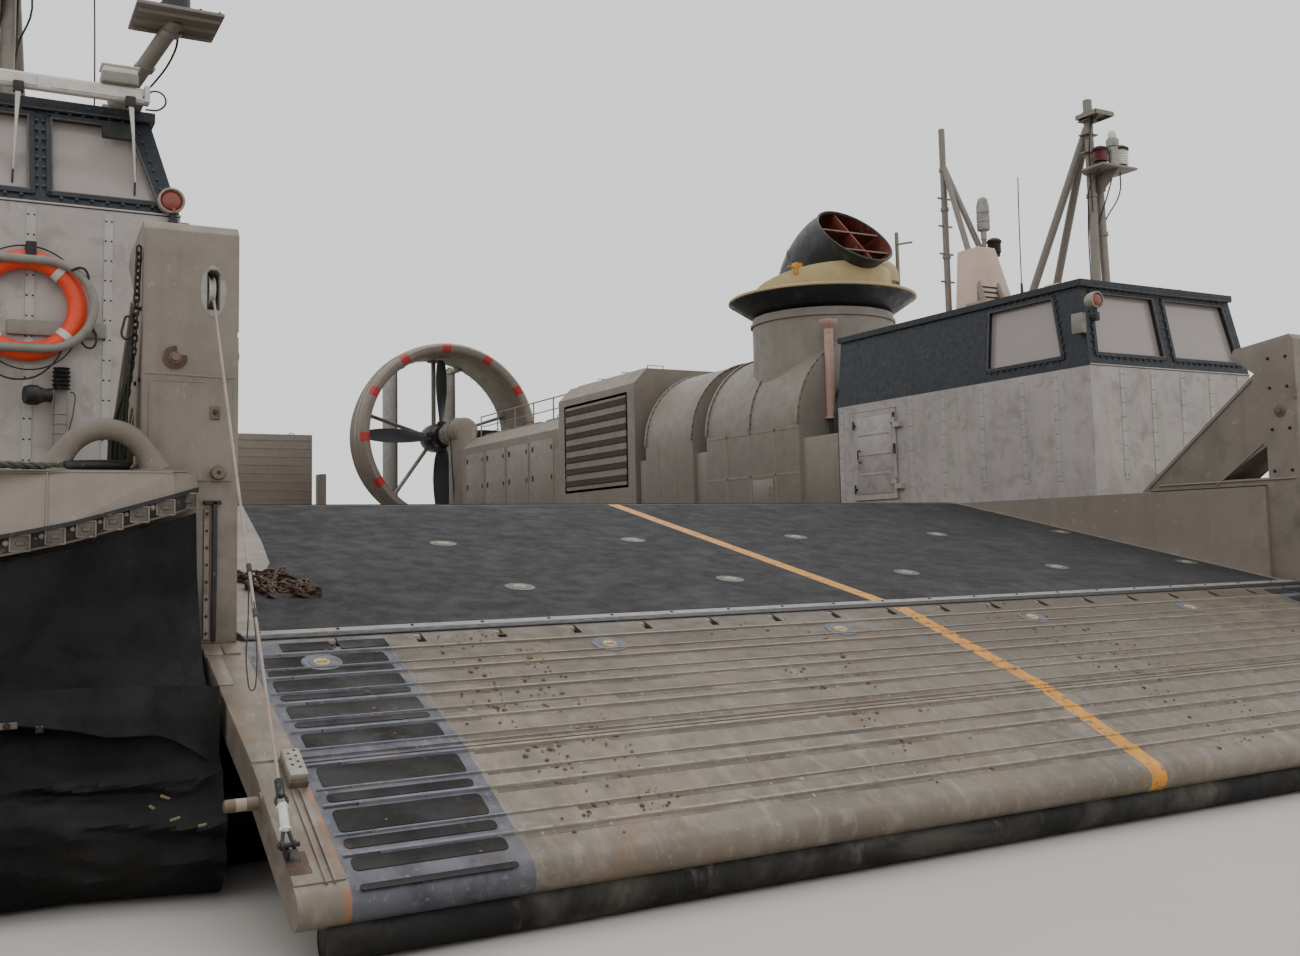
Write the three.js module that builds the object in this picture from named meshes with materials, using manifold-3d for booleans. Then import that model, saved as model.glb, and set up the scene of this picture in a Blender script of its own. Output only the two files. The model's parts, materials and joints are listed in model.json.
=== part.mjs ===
// An air-cushion landing craft, parked off its cushion with the bow ramp down on the ground.
// Millimetres, +Z up, bow towards -Y, port side towards +X, the ground at z = 0.
// Inside the craft group, y is the distance aft of the bow ramp's hinge line, which is also the hull's front
// face.
// Pieces that come in pairs are modelled on the port side and mirrored to starboard.
import * as THREE from "three";
import { mergeVertices } from "three/addons/utils/BufferGeometryUtils.js";
import Module from "manifold-3d";

const wasm = await Module();
wasm.setup();

// Driving dimensions
const HINGE_Y = -11417.5; // bow hinge line in the finished part, which puts the origin at mid-length
const HULL_LENGTH = 24400;
const HULL_HALF_BEAM = 6650;
const HULL_BOTTOM_Z = 350;
const DECK_Z = 1830;
const LANE_HALF_WIDTH = 4200; // the cargo lane between the side structures
const PLATING = { halfWidth: 4100, front: 4100, back: 20500, height: 6 }; // deck plating that cargo stands on
const GAP = 0.3; // between pieces that touch

const HINGE_Z = 1010;
const FOREDECK_LENGTH = 4000; // the sloping deck between the ramp and the cargo deck
const BOW_RAKE_LENGTH = 2500;
const BOW_RAKE_Z = 620;
const CORNER_RADIUS = 1650;
const CORNER_STEPS = 6; // facets round each corner of the hull, which the skirt follows
const STERN_CORNER_RADIUS = 900;

const RAMP_HALF_WIDTH = 4410;
const RAMP_SLOPE = 18.5; // degrees, from the hinge to the crease
const RAMP_BEND = 6.1; // degrees more from the crease to the toe
const RAMP_CREASE = 1253; // from the hinge pin to the crease across the ramp
const RAMP_LENGTH = 2123; // from the hinge pin to the toe
const RAMP_THICKNESS = 150;
const RAMP_NOSE_RADIUS = 75;
const RAMP_PIN_OUT = 40; // the hinge pin's place ahead of the hull's front face
const RAMP_PIN_RADIUS = 30;
const RAMP_LUG_PITCH = 444.4;
const RAMP_LUG_WIDTH = 44;
const RAMP_NOTCH = 110; // depth of the notches for the lugs, from the pin
const RAMP_RIBS = [181, 451, 726, 1005, 1185, 1300, 1587, 1875]; // where each rib across the ramp starts
const RAMP_RIB = { width: 34, height: 7 };

const POST_INNER = 4230;
const POST_OUTER = 4680;
const RING_X = 4845; // mooring ring, ahead of the post on the deck edge's shelf
const RING_Y = -90;
const RING_RADIUS = 195;
const SHELF = 185;
const SKIRT_INNER = 4430;
const STRIP_HEIGHT = 92; // clamp strip along the skirt's top edge
const SIDE_STRIP_Z = 1250;
const FINGER_TOP = 420;
const FINGER_PITCH = 700;

const CABIN_FRONT = 2100;
const CABIN_BACK = 6100;
const CABIN_INNER = 4200;
const CABIN_OUTER = 6600;
const CABIN_WALL = 60;
const BAND_WALL = 45; // thickness of the leaning window band round each cabin's top
const CABIN_FLOOR_Z = 2600;

// Each cabin's window band, from its sill to its head. Leans are how far its head stands back at the front and
// in at the sides. Panes are [low edge, high edge], by x at the front and back and by y on the sides.
const CABINS = {
  starboard: {
    sill: 3640,
    head: 4370,
    leanFront: 370,
    leanSide: 150,
    paneMargin: 95,
    front: [[4330, 4960], [5090, 5720], [5850, 6470]],
    sides: [[2560, 3620], [3740, 4800], [4920, 5960]],
    back: [[4420, 5320], [5480, 6380]],
  },
  port: {
    sill: 3100,
    head: 3920,
    leanFront: 150,
    leanSide: 80,
    paneMargin: 130,
    front: [[4330, 5300], [5460, 6470]],
    sides: [[2460, 3500]],
    back: [],
  },
};
const ROOF_THICKNESS = 60;

const THRUSTER_X = 5400;
const THRUSTER_Y = 7950;
const THRUSTER_BASE_Z = 4650;
const THRUSTER_DISC_RADIUS = 1340;
const THRUSTER_DISC_HEIGHT = 250;

const SHROUD_X = 4450;
const SHROUD_Z = 4050;
const SHROUD_FRONT = 20600;
const SHROUD_BACK = 22200;
const SHROUD_BORE = 1820;
const PROPELLER_Y = 21300;
const PROPELLER_RADIUS = 1790;
const RUDDER_OFFSET = 720;
const RUDDER_PIVOT_Y = 22720;
const RUDDER_HALF_HEIGHT = 1640;
const RUDDER_ARM_GAP = 12;

const STERN_PIN_Z = 1760;
const STERN_PIN_OUT = 45;
const STERN_PIN_RADIUS = 30;
const STERN_RAMP_HALF_WIDTH = 2250;
const STERN_RAMP_LENGTH = 2550;
const STERN_RAMP_THICKNESS = 60;
const STERN_LUG_X = [-1800, -600, 600, 1800];

const MAST_X = 5270;

// A colour with its roughness and metalness for each finish.
const FINISHES = {
  hull: ["#7d7266", 0.65, 0.3],
  cabin: ["#8f8984", 0.6, 0.3],
  frame: ["#3a424a", 0.5, 0.2],
  glass: ["#8d8784", 0.15, 0.0],
  ramp: ["#948877", 0.55, 0.4],
  rubber: ["#202020", 0.8, 0.0],
  tan: ["#bda87a", 0.6, 0.1],
  slate: ["#454a50", 0.5, 0.3],
  dark_metal: ["#33312f", 0.6, 0.5],
  mast: ["#7a736b", 0.55, 0.3],
  orange: ["#e8411c", 0.55, 0.0],
  white: ["#c4c0b6", 0.5, 0.1],
  blade: ["#2b2d30", 0.5, 0.2],
  seat: ["#2c2c2e", 0.8, 0.0],
};

// Turns a closed geometry into a solid that can be joined and cut.
function solid(geometry) {
  const loose = geometry.index ? geometry.toNonIndexed() : geometry.clone();
  loose.deleteAttribute("normal");
  loose.deleteAttribute("uv");
  const merged = mergeVertices(loose, 1e-3);
  return new wasm.Manifold(
    new wasm.Mesh({
      numProp: 3,
      vertProperties: merged.attributes.position.array,
      triVerts: new Uint32Array(merged.index.array),
    }),
  );
}

function geometryOf(shape) {
  const mesh = shape.getMesh();
  const geometry = new THREE.BufferGeometry();
  geometry.setAttribute("position", new THREE.BufferAttribute(mesh.vertProperties, 3));
  geometry.setIndex(new THREE.BufferAttribute(mesh.triVerts, 1));
  return geometry;
}

const joined = (...shapes) => shapes.flat().reduce((whole, shape) => whole.add(shape));
const cut = (whole, ...tools) => tools.flat().reduce((rest, tool) => rest.subtract(tool), whole);

function boxGeometry(x0, x1, y0, y1, z0, z1) {
  const geometry = new THREE.BoxGeometry(x1 - x0, y1 - y0, z1 - z0);
  return geometry.translate((x0 + x1) / 2, (y0 + y1) / 2, (z0 + z1) / 2);
}

const box = (...limits) => solid(boxGeometry(...limits));

const outlineShape = (points) => new THREE.Shape(points.map(([a, b]) => new THREE.Vector2(a, b)));

function prism(points, depth) {
  return new THREE.ExtrudeGeometry(outlineShape(points), { depth, bevelEnabled: false });
}

// Prisms whose outline lies in the plane named first and which run along the last axis.
const alongZ = (points, z0, z1) => solid(prism(points, z1 - z0).translate(0, 0, z0));
const alongY = (points, y0, y1) => solid(prism(points, y1 - y0).rotateX(Math.PI / 2).translate(0, y1, 0));

function alongX(points, x0, x1) {
  const turn = new THREE.Matrix4().makeBasis(
    new THREE.Vector3(0, 1, 0),
    new THREE.Vector3(0, 0, 1),
    new THREE.Vector3(1, 0, 0),
  );
  return solid(prism(points, x1 - x0).applyMatrix4(turn).translate(x0, 0, 0));
}

// A round bar from one point to another.
function bar(from, to, radius, sides = 10, endRadius = radius) {
  const a = new THREE.Vector3(...from);
  const b = new THREE.Vector3(...to);
  const axis = b.clone().sub(a);
  const geometry = new THREE.CylinderGeometry(endRadius, radius, axis.length(), sides);
  const upright = new THREE.Vector3(0, 1, 0);
  geometry.applyQuaternion(new THREE.Quaternion().setFromUnitVectors(upright, axis.normalize()));
  const middle = a.add(b).multiplyScalar(0.5);
  return solid(geometry.translate(middle.x, middle.y, middle.z));
}

// Skins a closed solid over rings of points that all have the same count.
function loft(rings, capOutline) {
  const count = rings[0].length;
  const positions = rings.flat(2);
  const faces = [];
  for (let ring = 0; ring + 1 < rings.length; ring += 1) {
    for (let i = 0; i < count; i += 1) {
      const a = ring * count + i;
      const b = ring * count + ((i + 1) % count);
      faces.push(a, b, b + count, a, b + count, a + count);
    }
  }
  const cap = capOutline.map(([a, b]) => new THREE.Vector2(a, b));
  const flipped = THREE.ShapeUtils.isClockWise(cap);
  const last = (rings.length - 1) * count;
  for (const triangle of THREE.ShapeUtils.triangulateShape(cap, [])) {
    const [a, b, c] = flipped ? triangle.reverse() : triangle;
    faces.push(a, c, b, last + a, last + b, last + c);
  }
  if (signedVolume(positions, faces) < 0) faces.reverse();
  const geometry = new THREE.BufferGeometry();
  geometry.setAttribute("position", new THREE.Float32BufferAttribute(positions, 3));
  geometry.setIndex(faces);
  return solid(geometry);
}

function signedVolume(positions, faces) {
  const point = (i) => new THREE.Vector3().fromArray(positions, 3 * i);
  let total = 0;
  for (let i = 0; i < faces.length; i += 3) {
    total += point(faces[i]).dot(point(faces[i + 1]).cross(point(faces[i + 2])));
  }
  return total;
}

// Sweeps outlines of [out, height] along stations that each hold a place and an outward heading.
function sweep(stations, outlineAt) {
  const rings = stations.map((station, i) =>
    outlineAt(station, i).map(([out, height]) => [
      station.x + out * Math.cos(station.heading),
      station.y + out * Math.sin(station.heading),
      height,
    ]),
  );
  return loft(rings, outlineAt(stations[0], 0));
}

function circle(radius, sides, x = 0, y = 0) {
  return Array.from({ length: sides }, (_, i) => {
    const angle = (2 * Math.PI * i) / sides;
    return [x + radius * Math.cos(angle), y + radius * Math.sin(angle)];
  });
}

// Points on an arc, with both ends.
function arc(x, y, radius, from, to, steps) {
  return Array.from({ length: steps + 1 }, (_, i) => {
    const angle = THREE.MathUtils.degToRad(from + ((to - from) * i) / steps);
    return [x + radius * Math.cos(angle), y + radius * Math.sin(angle)];
  });
}

const craft = new THREE.Group();
craft.position.y = HINGE_Y;

function meshOf(name, shape, finish) {
  const [color, roughness, metalness] = FINISHES[finish];
  const material = new THREE.MeshStandardMaterial({ color, roughness, metalness });
  const mesh = new THREE.Mesh(geometryOf(shape), material);
  mesh.name = name;
  return mesh;
}

function place(name, shape, finish) {
  craft.add(meshOf(name, shape, finish));
}

function placeMirrored(name, shape, finish) {
  const mesh = meshOf(name, shape, finish);
  mesh.scale.x = -1;
  craft.add(mesh);
}

function placePair(name, shape, finish) {
  place("port_" + name, shape, finish);
  placeMirrored("starboard_" + name, shape, finish);
}

// Hull raft

const HULL_OUTLINE = [
  ...arc(HULL_HALF_BEAM - CORNER_RADIUS, CORNER_RADIUS, CORNER_RADIUS, -90, 0, CORNER_STEPS),
  ...arc(
    HULL_HALF_BEAM - STERN_CORNER_RADIUS,
    HULL_LENGTH - STERN_CORNER_RADIUS,
    STERN_CORNER_RADIUS,
    0,
    90,
    CORNER_STEPS,
  ),
];

function hullRaft() {
  const mirrored = HULL_OUTLINE.map(([x, y]) => [-x, y]).reverse();
  const raft = alongZ([...HULL_OUTLINE, ...mirrored], HULL_BOTTOM_Z, DECK_Z);
  const foredeck = alongX(
    [
      [-50, HINGE_Z - 10],
      [0, HINGE_Z],
      [FOREDECK_LENGTH, DECK_Z],
      [FOREDECK_LENGTH, DECK_Z + 100],
      [-50, DECK_Z + 100],
    ],
    -LANE_HALF_WIDTH,
    LANE_HALF_WIDTH,
  );
  const bowRake = alongX(
    [
      [-50, BOW_RAKE_Z],
      [0, BOW_RAKE_Z],
      [BOW_RAKE_LENGTH, HULL_BOTTOM_Z],
      [BOW_RAKE_LENGTH, HULL_BOTTOM_Z - 50],
      [-50, HULL_BOTTOM_Z - 50],
    ],
    -HULL_HALF_BEAM - 50,
    HULL_HALF_BEAM + 50,
  );
  const postSlots = [-1, 1].map((side) => {
    const limits = [side * (LANE_HALF_WIDTH - 10), side * (POST_OUTER + GAP)].sort((a, b) => a - b);
    return box(...limits, -10, 320 + GAP, HINGE_Z - GAP, DECK_Z + 10);
  });
  const pads = [];
  for (const y of [4200, 12000, 20200]) {
    for (const x of [-3200, 3200]) {
      pads.push(box(x - 220, x + 220, y - 800, y + 800, 0, HULL_BOTTOM_Z + 20));
    }
  }
  const gatePosts = [-1, 1].map((side) => {
    const limits = [side * 2330, side * 2480].sort((a, b) => a - b);
    return box(...limits, HULL_LENGTH - 420, HULL_LENGTH, DECK_Z - 20, DECK_Z + 1500);
  });
  const { halfWidth, front, back, height } = PLATING;
  const plating = box(-halfWidth, halfWidth, front, back, DECK_Z - 20, DECK_Z + height);
  return joined(cut(raft, foredeck, bowRake, postSlots), plating, pads, gatePosts, rampLugs());
}

const rampLugPlaces = () => Array.from({ length: 18 }, (_, i) => (i - 8.5) * RAMP_LUG_PITCH);

// The lugs that the two ramps hinge on
function rampLugs() {
  const lug = (x, width, face, out, z, radius) => {
    const half = width / 2;
    const y = face + out;
    const [near, far] = [face - 10 * Math.sign(out), y].sort((a, b) => a - b);
    const block = box(x - half, x + half, near, far, z - radius, z + radius);
    return joined(block, bar([x - half, y, z], [x + half, y, z], radius, 8));
  };
  const pinZ = HINGE_Z - RAMP_PIN_RADIUS;
  const bow = rampLugPlaces().map((x) => lug(x, RAMP_LUG_WIDTH, 0, -RAMP_PIN_OUT, pinZ, 24));
  const stern = STERN_LUG_X.map((x) => lug(x, 100, HULL_LENGTH, STERN_PIN_OUT, STERN_PIN_Z, 24));
  return joined(bow, stern);
}

// The soft keel under the hull: one bag along it and one across
function keelSkirt() {
  const section = [
    [-200, HULL_BOTTOM_Z - GAP],
    [-240, 180],
    [-190, 40],
    [-90, 4],
    [90, 4],
    [190, 40],
    [240, 180],
    [200, HULL_BOTTOM_Z - GAP],
  ];
  const along = alongY(section, 5600, 21600);
  const across = alongX(
    section.map(([y, z]) => [y + 13800, z]),
    -6300,
    6300,
  );
  return joined(along, across);
}

// Skirt

// Stations round the port bow corner. Shelf is how far the flat top stands out from the deck edge, reach how far
// the sloped plating does, and strip the height of the clamp strip's top edge. Side turns the skirt's outline from
// bow to side.
function bowStations() {
  const rows = [
    { x: SKIRT_INNER, y: 0, turn: -90, shelf: 40, reach: 60, strip: 1765, side: 0 },
    { x: 4560, y: 0, turn: -90, shelf: SHELF, reach: 215, strip: 1725, side: 0 },
    { x: HULL_HALF_BEAM - CORNER_RADIUS, y: 0, turn: -90, shelf: SHELF, reach: 310, strip: 1600, side: 0 },
  ];
  const corner = arc(HULL_HALF_BEAM - CORNER_RADIUS, CORNER_RADIUS, CORNER_RADIUS, -90, 0, CORNER_STEPS);
  for (let i = 1; i <= CORNER_STEPS; i += 1) {
    const [x, y] = corner[i];
    const share = i / CORNER_STEPS;
    const turn = -90 + 90 * share;
    const reach = 310 + 230 * Math.sin(Math.PI * share) - 190 * share;
    const strip = 1600 - 330 * share * (2 - share);
    rows.push({ x, y, turn, shelf: SHELF - 115 * share, reach, strip, side: share });
  }
  rows.push({ x: HULL_HALF_BEAM, y: 2600, turn: 0, shelf: 20, reach: 40, strip: SIDE_STRIP_Z, side: 1 });
  return rows.map((row) => ({ ...row, heading: THREE.MathUtils.degToRad(row.turn) }));
}

function bowCornerPlating() {
  return sweep(bowStations(), ({ shelf, reach, strip }) => [
    [GAP, DECK_Z],
    [shelf, DECK_Z],
    [reach, strip],
    [reach, strip - STRIP_HEIGHT],
    [GAP, strip - STRIP_HEIGHT],
  ]);
}

function bowSkirt() {
  const skirt = sweep(bowStations(), ({ reach, strip, side }) => {
    const top = strip - STRIP_HEIGHT - GAP;
    const bow = [
      [GAP, top],
      [reach - 10, top],
      [reach + 50, top - 320],
      [reach + 110, 700],
      [reach + 330, 560],
      [reach + 440, 380],
      [reach + 420, 140],
      [reach + 310, 0],
      [GAP, 0],
    ];
    const flank = [
      [GAP, top],
      [reach + 90, top - 20],
      [300, 1020],
      [450, 880],
      [520, 690],
      [515, 480],
      [480, 220],
      [450, 0],
      [GAP, 0],
    ];
    return bow.map(([out, height], i) => [
      out + (flank[i][0] - out) * side,
      height + (flank[i][1] - height) * side,
    ]);
  });
  return cut(skirt, bowCornerPlating().translate([0, 0, -GAP]));
}

// The side and stern bags hang from the hull's edge.
const BAG_OUTLINE = [
  [GAP, SIDE_STRIP_Z],
  [40, SIDE_STRIP_Z],
  [40, SIDE_STRIP_Z - STRIP_HEIGHT],
  [130, SIDE_STRIP_Z - STRIP_HEIGHT - 15],
  [310, 1020],
  [450, 880],
  [520, 690],
  [515, 480],
  [480, FINGER_TOP],
  [GAP, FINGER_TOP],
];

function sternStations(step) {
  const corner = arc(
    HULL_HALF_BEAM - STERN_CORNER_RADIUS,
    HULL_LENGTH - STERN_CORNER_RADIUS,
    STERN_CORNER_RADIUS,
    0,
    90,
    CORNER_STEPS,
  ).map(([x, y], i) => ({ x, y, heading: (Math.PI / 2) * (i / CORNER_STEPS) }));
  const half = [{ x: HULL_HALF_BEAM, y: 22400, heading: 0 }, ...corner];
  const across = Math.round((2 * (HULL_HALF_BEAM - STERN_CORNER_RADIUS)) / step);
  const back = Array.from({ length: across - 1 }, (_, i) => ({
    x: (HULL_HALF_BEAM - STERN_CORNER_RADIUS) * (1 - (2 * (i + 1)) / across),
    y: HULL_LENGTH,
    heading: Math.PI / 2,
  }));
  const mirrored = half.map(({ x, y, heading }) => ({ x: -x, y, heading: Math.PI - heading })).reverse();
  return [...half, ...back, ...mirrored];
}

// Fingers: a wall whose outside swells and pinches once each pitch, fused a little way into the bag above.
function fingerOutline(swell) {
  return [
    [GAP, FINGER_TOP + 2],
    [380 + 70 * swell, FINGER_TOP + 2],
    [370 + 90 * swell, 0],
    [GAP, 0],
  ];
}

function sternSkirt() {
  const narrowed = (outline) => outline.map(([out, height]) => [out * 0.85 + 0.1, height]);
  const bag = sweep(sternStations(12000), () => narrowed(BAG_OUTLINE));
  const fingers = sweep(sternStations(FINGER_PITCH), (_, i) => narrowed(fingerOutline(i % 2)));
  return joined(bag, fingers);
}

const SIDE_SKIRT = [2600 + GAP, 22400 - GAP];

function sideSkirt() {
  const [front, back] = SIDE_SKIRT;
  const along = (y) => ({ x: HULL_HALF_BEAM, y, heading: 0 });
  const bag = sweep(SIDE_SKIRT.map(along), () => BAG_OUTLINE);
  const steps = 2 * Math.round((back - front) / FINGER_PITCH);
  const stations = Array.from({ length: steps + 1 }, (_, i) => along(front + ((back - front) * i) / steps));
  return joined(bag, sweep(stations, (_, i) => fingerOutline(i % 2)));
}

// The skirt across the bow, below the ramp
function bowSkirtMiddle() {
  const profile = [
    [-GAP, 0],
    [-GAP, 600],
    [-120, 600],
    [-330, 480],
    [-420, 300],
    [-400, 120],
    [-300, 0],
  ];
  return alongX(profile, -SKIRT_INNER + GAP, SKIRT_INNER - GAP);
}

// Ramp post with its brace aft and the slot that the hoist cable runs through
function rampPost() {
  const profile = [
    [0, HINGE_Z],
    [0, 3040],
    [40, 3085],
    [560, 3020],
    [600, 2950],
    [380, 2790],
    [1600, DECK_Z + GAP],
    [320, DECK_Z + GAP],
    [320, HINGE_Z],
  ];
  const window = alongX(
    [
      [300, DECK_Z + 60],
      [760, DECK_Z + 60],
      [300, 2160],
    ],
    POST_INNER - 10,
    POST_OUTER + 10,
  );
  const slot = box(4296, 4376, -10, 700, 2650, 2830);
  return cut(alongX(profile, POST_INNER, POST_OUTER), window, slot);
}

// Half-round mooring ring with swollen feet, on the deck edge ahead of the cabin
function mooringRing() {
  class RingPath extends THREE.Curve {
    getPoint(t, target = new THREE.Vector3()) {
      const angle = Math.PI * t;
      const [x, z] = [RING_X + RING_RADIUS * Math.cos(angle), DECK_Z + RING_RADIUS * Math.sin(angle)];
      return target.set(x, RING_Y, z);
    }
  }
  const ring = new THREE.ExtrudeGeometry(outlineShape(circle(50, 8)), {
    steps: 10,
    extrudePath: new RingPath(),
    bevelEnabled: false,
  });
  const base = DECK_Z + GAP;
  const feet = [RING_X - RING_RADIUS, RING_X + RING_RADIUS].map((x) =>
    bar([x, RING_Y, base], [x, RING_Y, base + 90], 76, 8, 54),
  );
  const plate = box(RING_X - 275, RING_X + 275, RING_Y - 86, RING_Y + 85, base, base + 14);
  const above = box(RING_X - 600, RING_X + 600, RING_Y - 300, RING_Y + 300, base, base + 600);
  return joined(solid(ring), feet, plate).intersect(above);
}

// Bow ramp, in its own frame: the hinge pin's axis at the origin, length towards -Y as far as the crease, and
// turned down from there to the toe

const RAMP_TREAD = RAMP_PIN_RADIUS;
const RAMP_UNDERSIDE = RAMP_TREAD - RAMP_THICKNESS;

// The point at a distance along the ramp from its pin, and at a height off the pin's plane
function onRamp(at, height) {
  if (at <= RAMP_CREASE) return [-at, height];
  const bend = THREE.MathUtils.degToRad(RAMP_BEND);
  const [past, above] = [at - RAMP_CREASE, height - RAMP_TREAD];
  return [
    -RAMP_CREASE - past * Math.cos(bend) - above * Math.sin(bend),
    RAMP_TREAD - past * Math.sin(bend) + above * Math.cos(bend),
  ];
}

const RAMP_NOSE = onRamp(RAMP_LENGTH - RAMP_NOSE_RADIUS, RAMP_TREAD - RAMP_NOSE_RADIUS);

function bowRamp() {
  const { width, height } = RAMP_RIB;
  const ribs = RAMP_RIBS.flatMap((at) => [
    onRamp(at, RAMP_TREAD),
    onRamp(at + 8, RAMP_TREAD + height),
    onRamp(at + width - 8, RAMP_TREAD + height),
    onRamp(at + width, RAMP_TREAD),
  ]);
  const profile = [
    ...arc(0, 0, RAMP_PIN_RADIUS, -90, 90, 6),
    ...ribs.slice(0, 20),
    onRamp(RAMP_CREASE, RAMP_TREAD),
    ...ribs.slice(20),
    ...arc(...RAMP_NOSE, RAMP_NOSE_RADIUS, 90 + RAMP_BEND, 270 + RAMP_BEND, 6),
    [-RAMP_CREASE + RAMP_THICKNESS * Math.tan(THREE.MathUtils.degToRad(RAMP_BEND / 2)), RAMP_UNDERSIDE],
    [-120, RAMP_UNDERSIDE],
  ];
  const panel = alongX(profile, -RAMP_HALF_WIDTH, RAMP_HALF_WIDTH);
  const fittings = [];
  for (const side of [-1, 1]) {
    const slab = (inner, outer, from, to, top) => {
      const creased = from < RAMP_CREASE && to > RAMP_CREASE ? [onRamp(RAMP_CREASE, top)] : [];
      const outline = [onRamp(to, 0), onRamp(from, 0), onRamp(from, top), ...creased, onRamp(to, top)];
      return alongX(outline, ...[side * inner, side * outer].sort((m, n) => m - n));
    };
    const [pinY, pinZ] = onRamp(1482, RAMP_TREAD - 40);
    fittings.push(slab(4170, RAMP_HALF_WIDTH, 200, RAMP_LENGTH - 150, RAMP_TREAD + 24)); // edge strip
    fittings.push(slab(4190, 4280, 1256, 1446, RAMP_TREAD + 75)); // lock block
    fittings.push(slab(4340, 4400, 1785, 1825, RAMP_TREAD + 70)); // lug for the hoist cable's shackle
    fittings.push(bar([side * 4350, pinY, pinZ], [side * 4520, pinY, pinZ], 24)); // latch pin
  }
  const half = RAMP_LUG_WIDTH / 2 + GAP;
  const notches = rampLugPlaces().map((x) => box(x - half, x + half, -RAMP_NOTCH, 40, -RAMP_THICKNESS, 60));
  return cut(joined(panel, fittings), notches);
}

// Rubber tube below the ramp's nose, which meets the ground, with the flat rail that holds it
function rampBumper() {
  const slope = THREE.MathUtils.degToRad(RAMP_SLOPE);
  const [down, back] = [Math.cos(slope), Math.sin(slope)];
  const noseHeight = HINGE_Z - RAMP_PIN_RADIUS + RAMP_NOSE[0] * back + RAMP_NOSE[1] * down;
  const radius = (noseHeight - RAMP_NOSE_RADIUS - GAP - 3) / 2;
  const reach = RAMP_NOSE_RADIUS + GAP + radius;
  const centre = [RAMP_NOSE[0] - back * reach, RAMP_NOSE[1] - down * reach];
  const tube = bar([-4300, ...centre], [4300, ...centre], radius, 16);
  const flat = RAMP_LENGTH - RAMP_NOSE_RADIUS;
  const [near, far] = [54, 4].map((short) => onRamp(flat - short, RAMP_UNDERSIDE - GAP));
  const rail = alongX([near, far, [far[0], centre[1] - 10], [near[0], centre[1] - 10]], -4300, 4300);
  const link = box(-4300, 4300, centre[0], near[0], centre[1] - 20, centre[1] + 10);
  return joined(tube, rail, link);
}

function placeBowRamp() {
  const frame = new THREE.Group();
  frame.position.set(0, -RAMP_PIN_OUT, HINGE_Z - RAMP_PIN_RADIUS);
  frame.rotation.x = THREE.MathUtils.degToRad(RAMP_SLOPE);
  frame.add(meshOf("bow_ramp_panel", bowRamp(), "ramp"), meshOf("bow_ramp_bumper", rampBumper(), "rubber"));
  craft.add(frame);
}

// Side cabins

const DOOR = { front: 5000, back: 5800, low: DECK_Z + 90, high: 3000 };
const DOOR_PIN = { x: CABIN_INNER - 40, y: DOOR.front + 14, radius: 14 };
const DOOR_LEAF_OUT = 20; // how far the leaf stands out from the wall
const DOOR_CLEARANCE = 8;
const HINGE_BARREL = 60;
const DOOR_HINGES = [DOOR.low + 120, DOOR.high - 240];

function cabinWalls({ sill }) {
  const wall = CABIN_WALL;
  const [x0, x1, y0, y1] = [CABIN_INNER, CABIN_OUTER, CABIN_FRONT, CABIN_BACK];
  const shell = cut(
    box(x0, x1, y0, y1, DECK_Z + GAP, sill),
    box(x0 + wall, x1 - wall, y0 + wall, y1 - wall, DECK_Z - 10, sill + 10),
  );
  const floor = box(
    CABIN_INNER + 20,
    CABIN_OUTER - 20,
    CABIN_FRONT + 20,
    4700,
    CABIN_FLOOR_Z,
    CABIN_FLOOR_Z + 50,
  );
  const { front, back, low, high } = DOOR;
  const doorway = box(CABIN_INNER - 20, CABIN_INNER + wall + 20, front, back, low, high);
  const lugs = DOOR_HINGES.map((z) =>
    joined(
      box(DOOR_PIN.x - 14, DOOR_PIN.x + 14, front - 100, DOOR_PIN.y, z, z + HINGE_BARREL),
      box(DOOR_PIN.x, CABIN_INNER + 5, front - 100, front - 10, z, z + HINGE_BARREL),
      bar([DOOR_PIN.x, DOOR_PIN.y, z], [DOOR_PIN.x, DOOR_PIN.y, z + HINGE_BARREL], DOOR_PIN.radius, 12),
    ),
  );
  return joined(cut(joined(shell, floor), doorway), lugs);
}

// The door fills its doorway and hinges at its front edge
function cabinDoor() {
  const { front, back, low, high } = DOOR;
  const c = DOOR_CLEARANCE;
  const face = CABIN_INNER - DOOR_LEAF_OUT;
  const leaf = box(face, CABIN_INNER + 20, front + c, back - c, low + c, high - c);
  const barrels = DOOR_HINGES.map((z) => {
    const base = z + HINGE_BARREL + GAP;
    const top = base + HINGE_BARREL;
    return joined(
      bar([DOOR_PIN.x, DOOR_PIN.y, base], [DOOR_PIN.x, DOOR_PIN.y, top], DOOR_PIN.radius, 12),
      box(DOOR_PIN.x, face + 5, DOOR_PIN.y, DOOR_PIN.y + 90, base, top),
    );
  });
  const handle = joined(
    box(face - 50, face + 5, back - 150, back - 130, 2400, 2420),
    box(face - 64, face - 44, back - 150, back - 130, 2270, 2420),
  );
  return joined(leaf, barrels, handle);
}

// Corners of a cabin's leaning window band at a height, drawn in by a margin
function bandCorners({ sill, head, leanFront, leanSide }, z, margin) {
  const share = (z - sill) / (head - sill);
  const inner = CABIN_INNER + leanSide * share + margin;
  const outer = CABIN_OUTER - leanSide * share - margin;
  const front = CABIN_FRONT + leanFront * share + margin;
  const back = CABIN_BACK - margin;
  return [
    [inner, front, z],
    [outer, front, z],
    [outer, back, z],
    [inner, back, z],
  ];
}

function bandBlock(cabin, low, high, margin) {
  const rings = [bandCorners(cabin, low, margin), bandCorners(cabin, high, margin)];
  return loft(rings, rings[0]);
}

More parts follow.
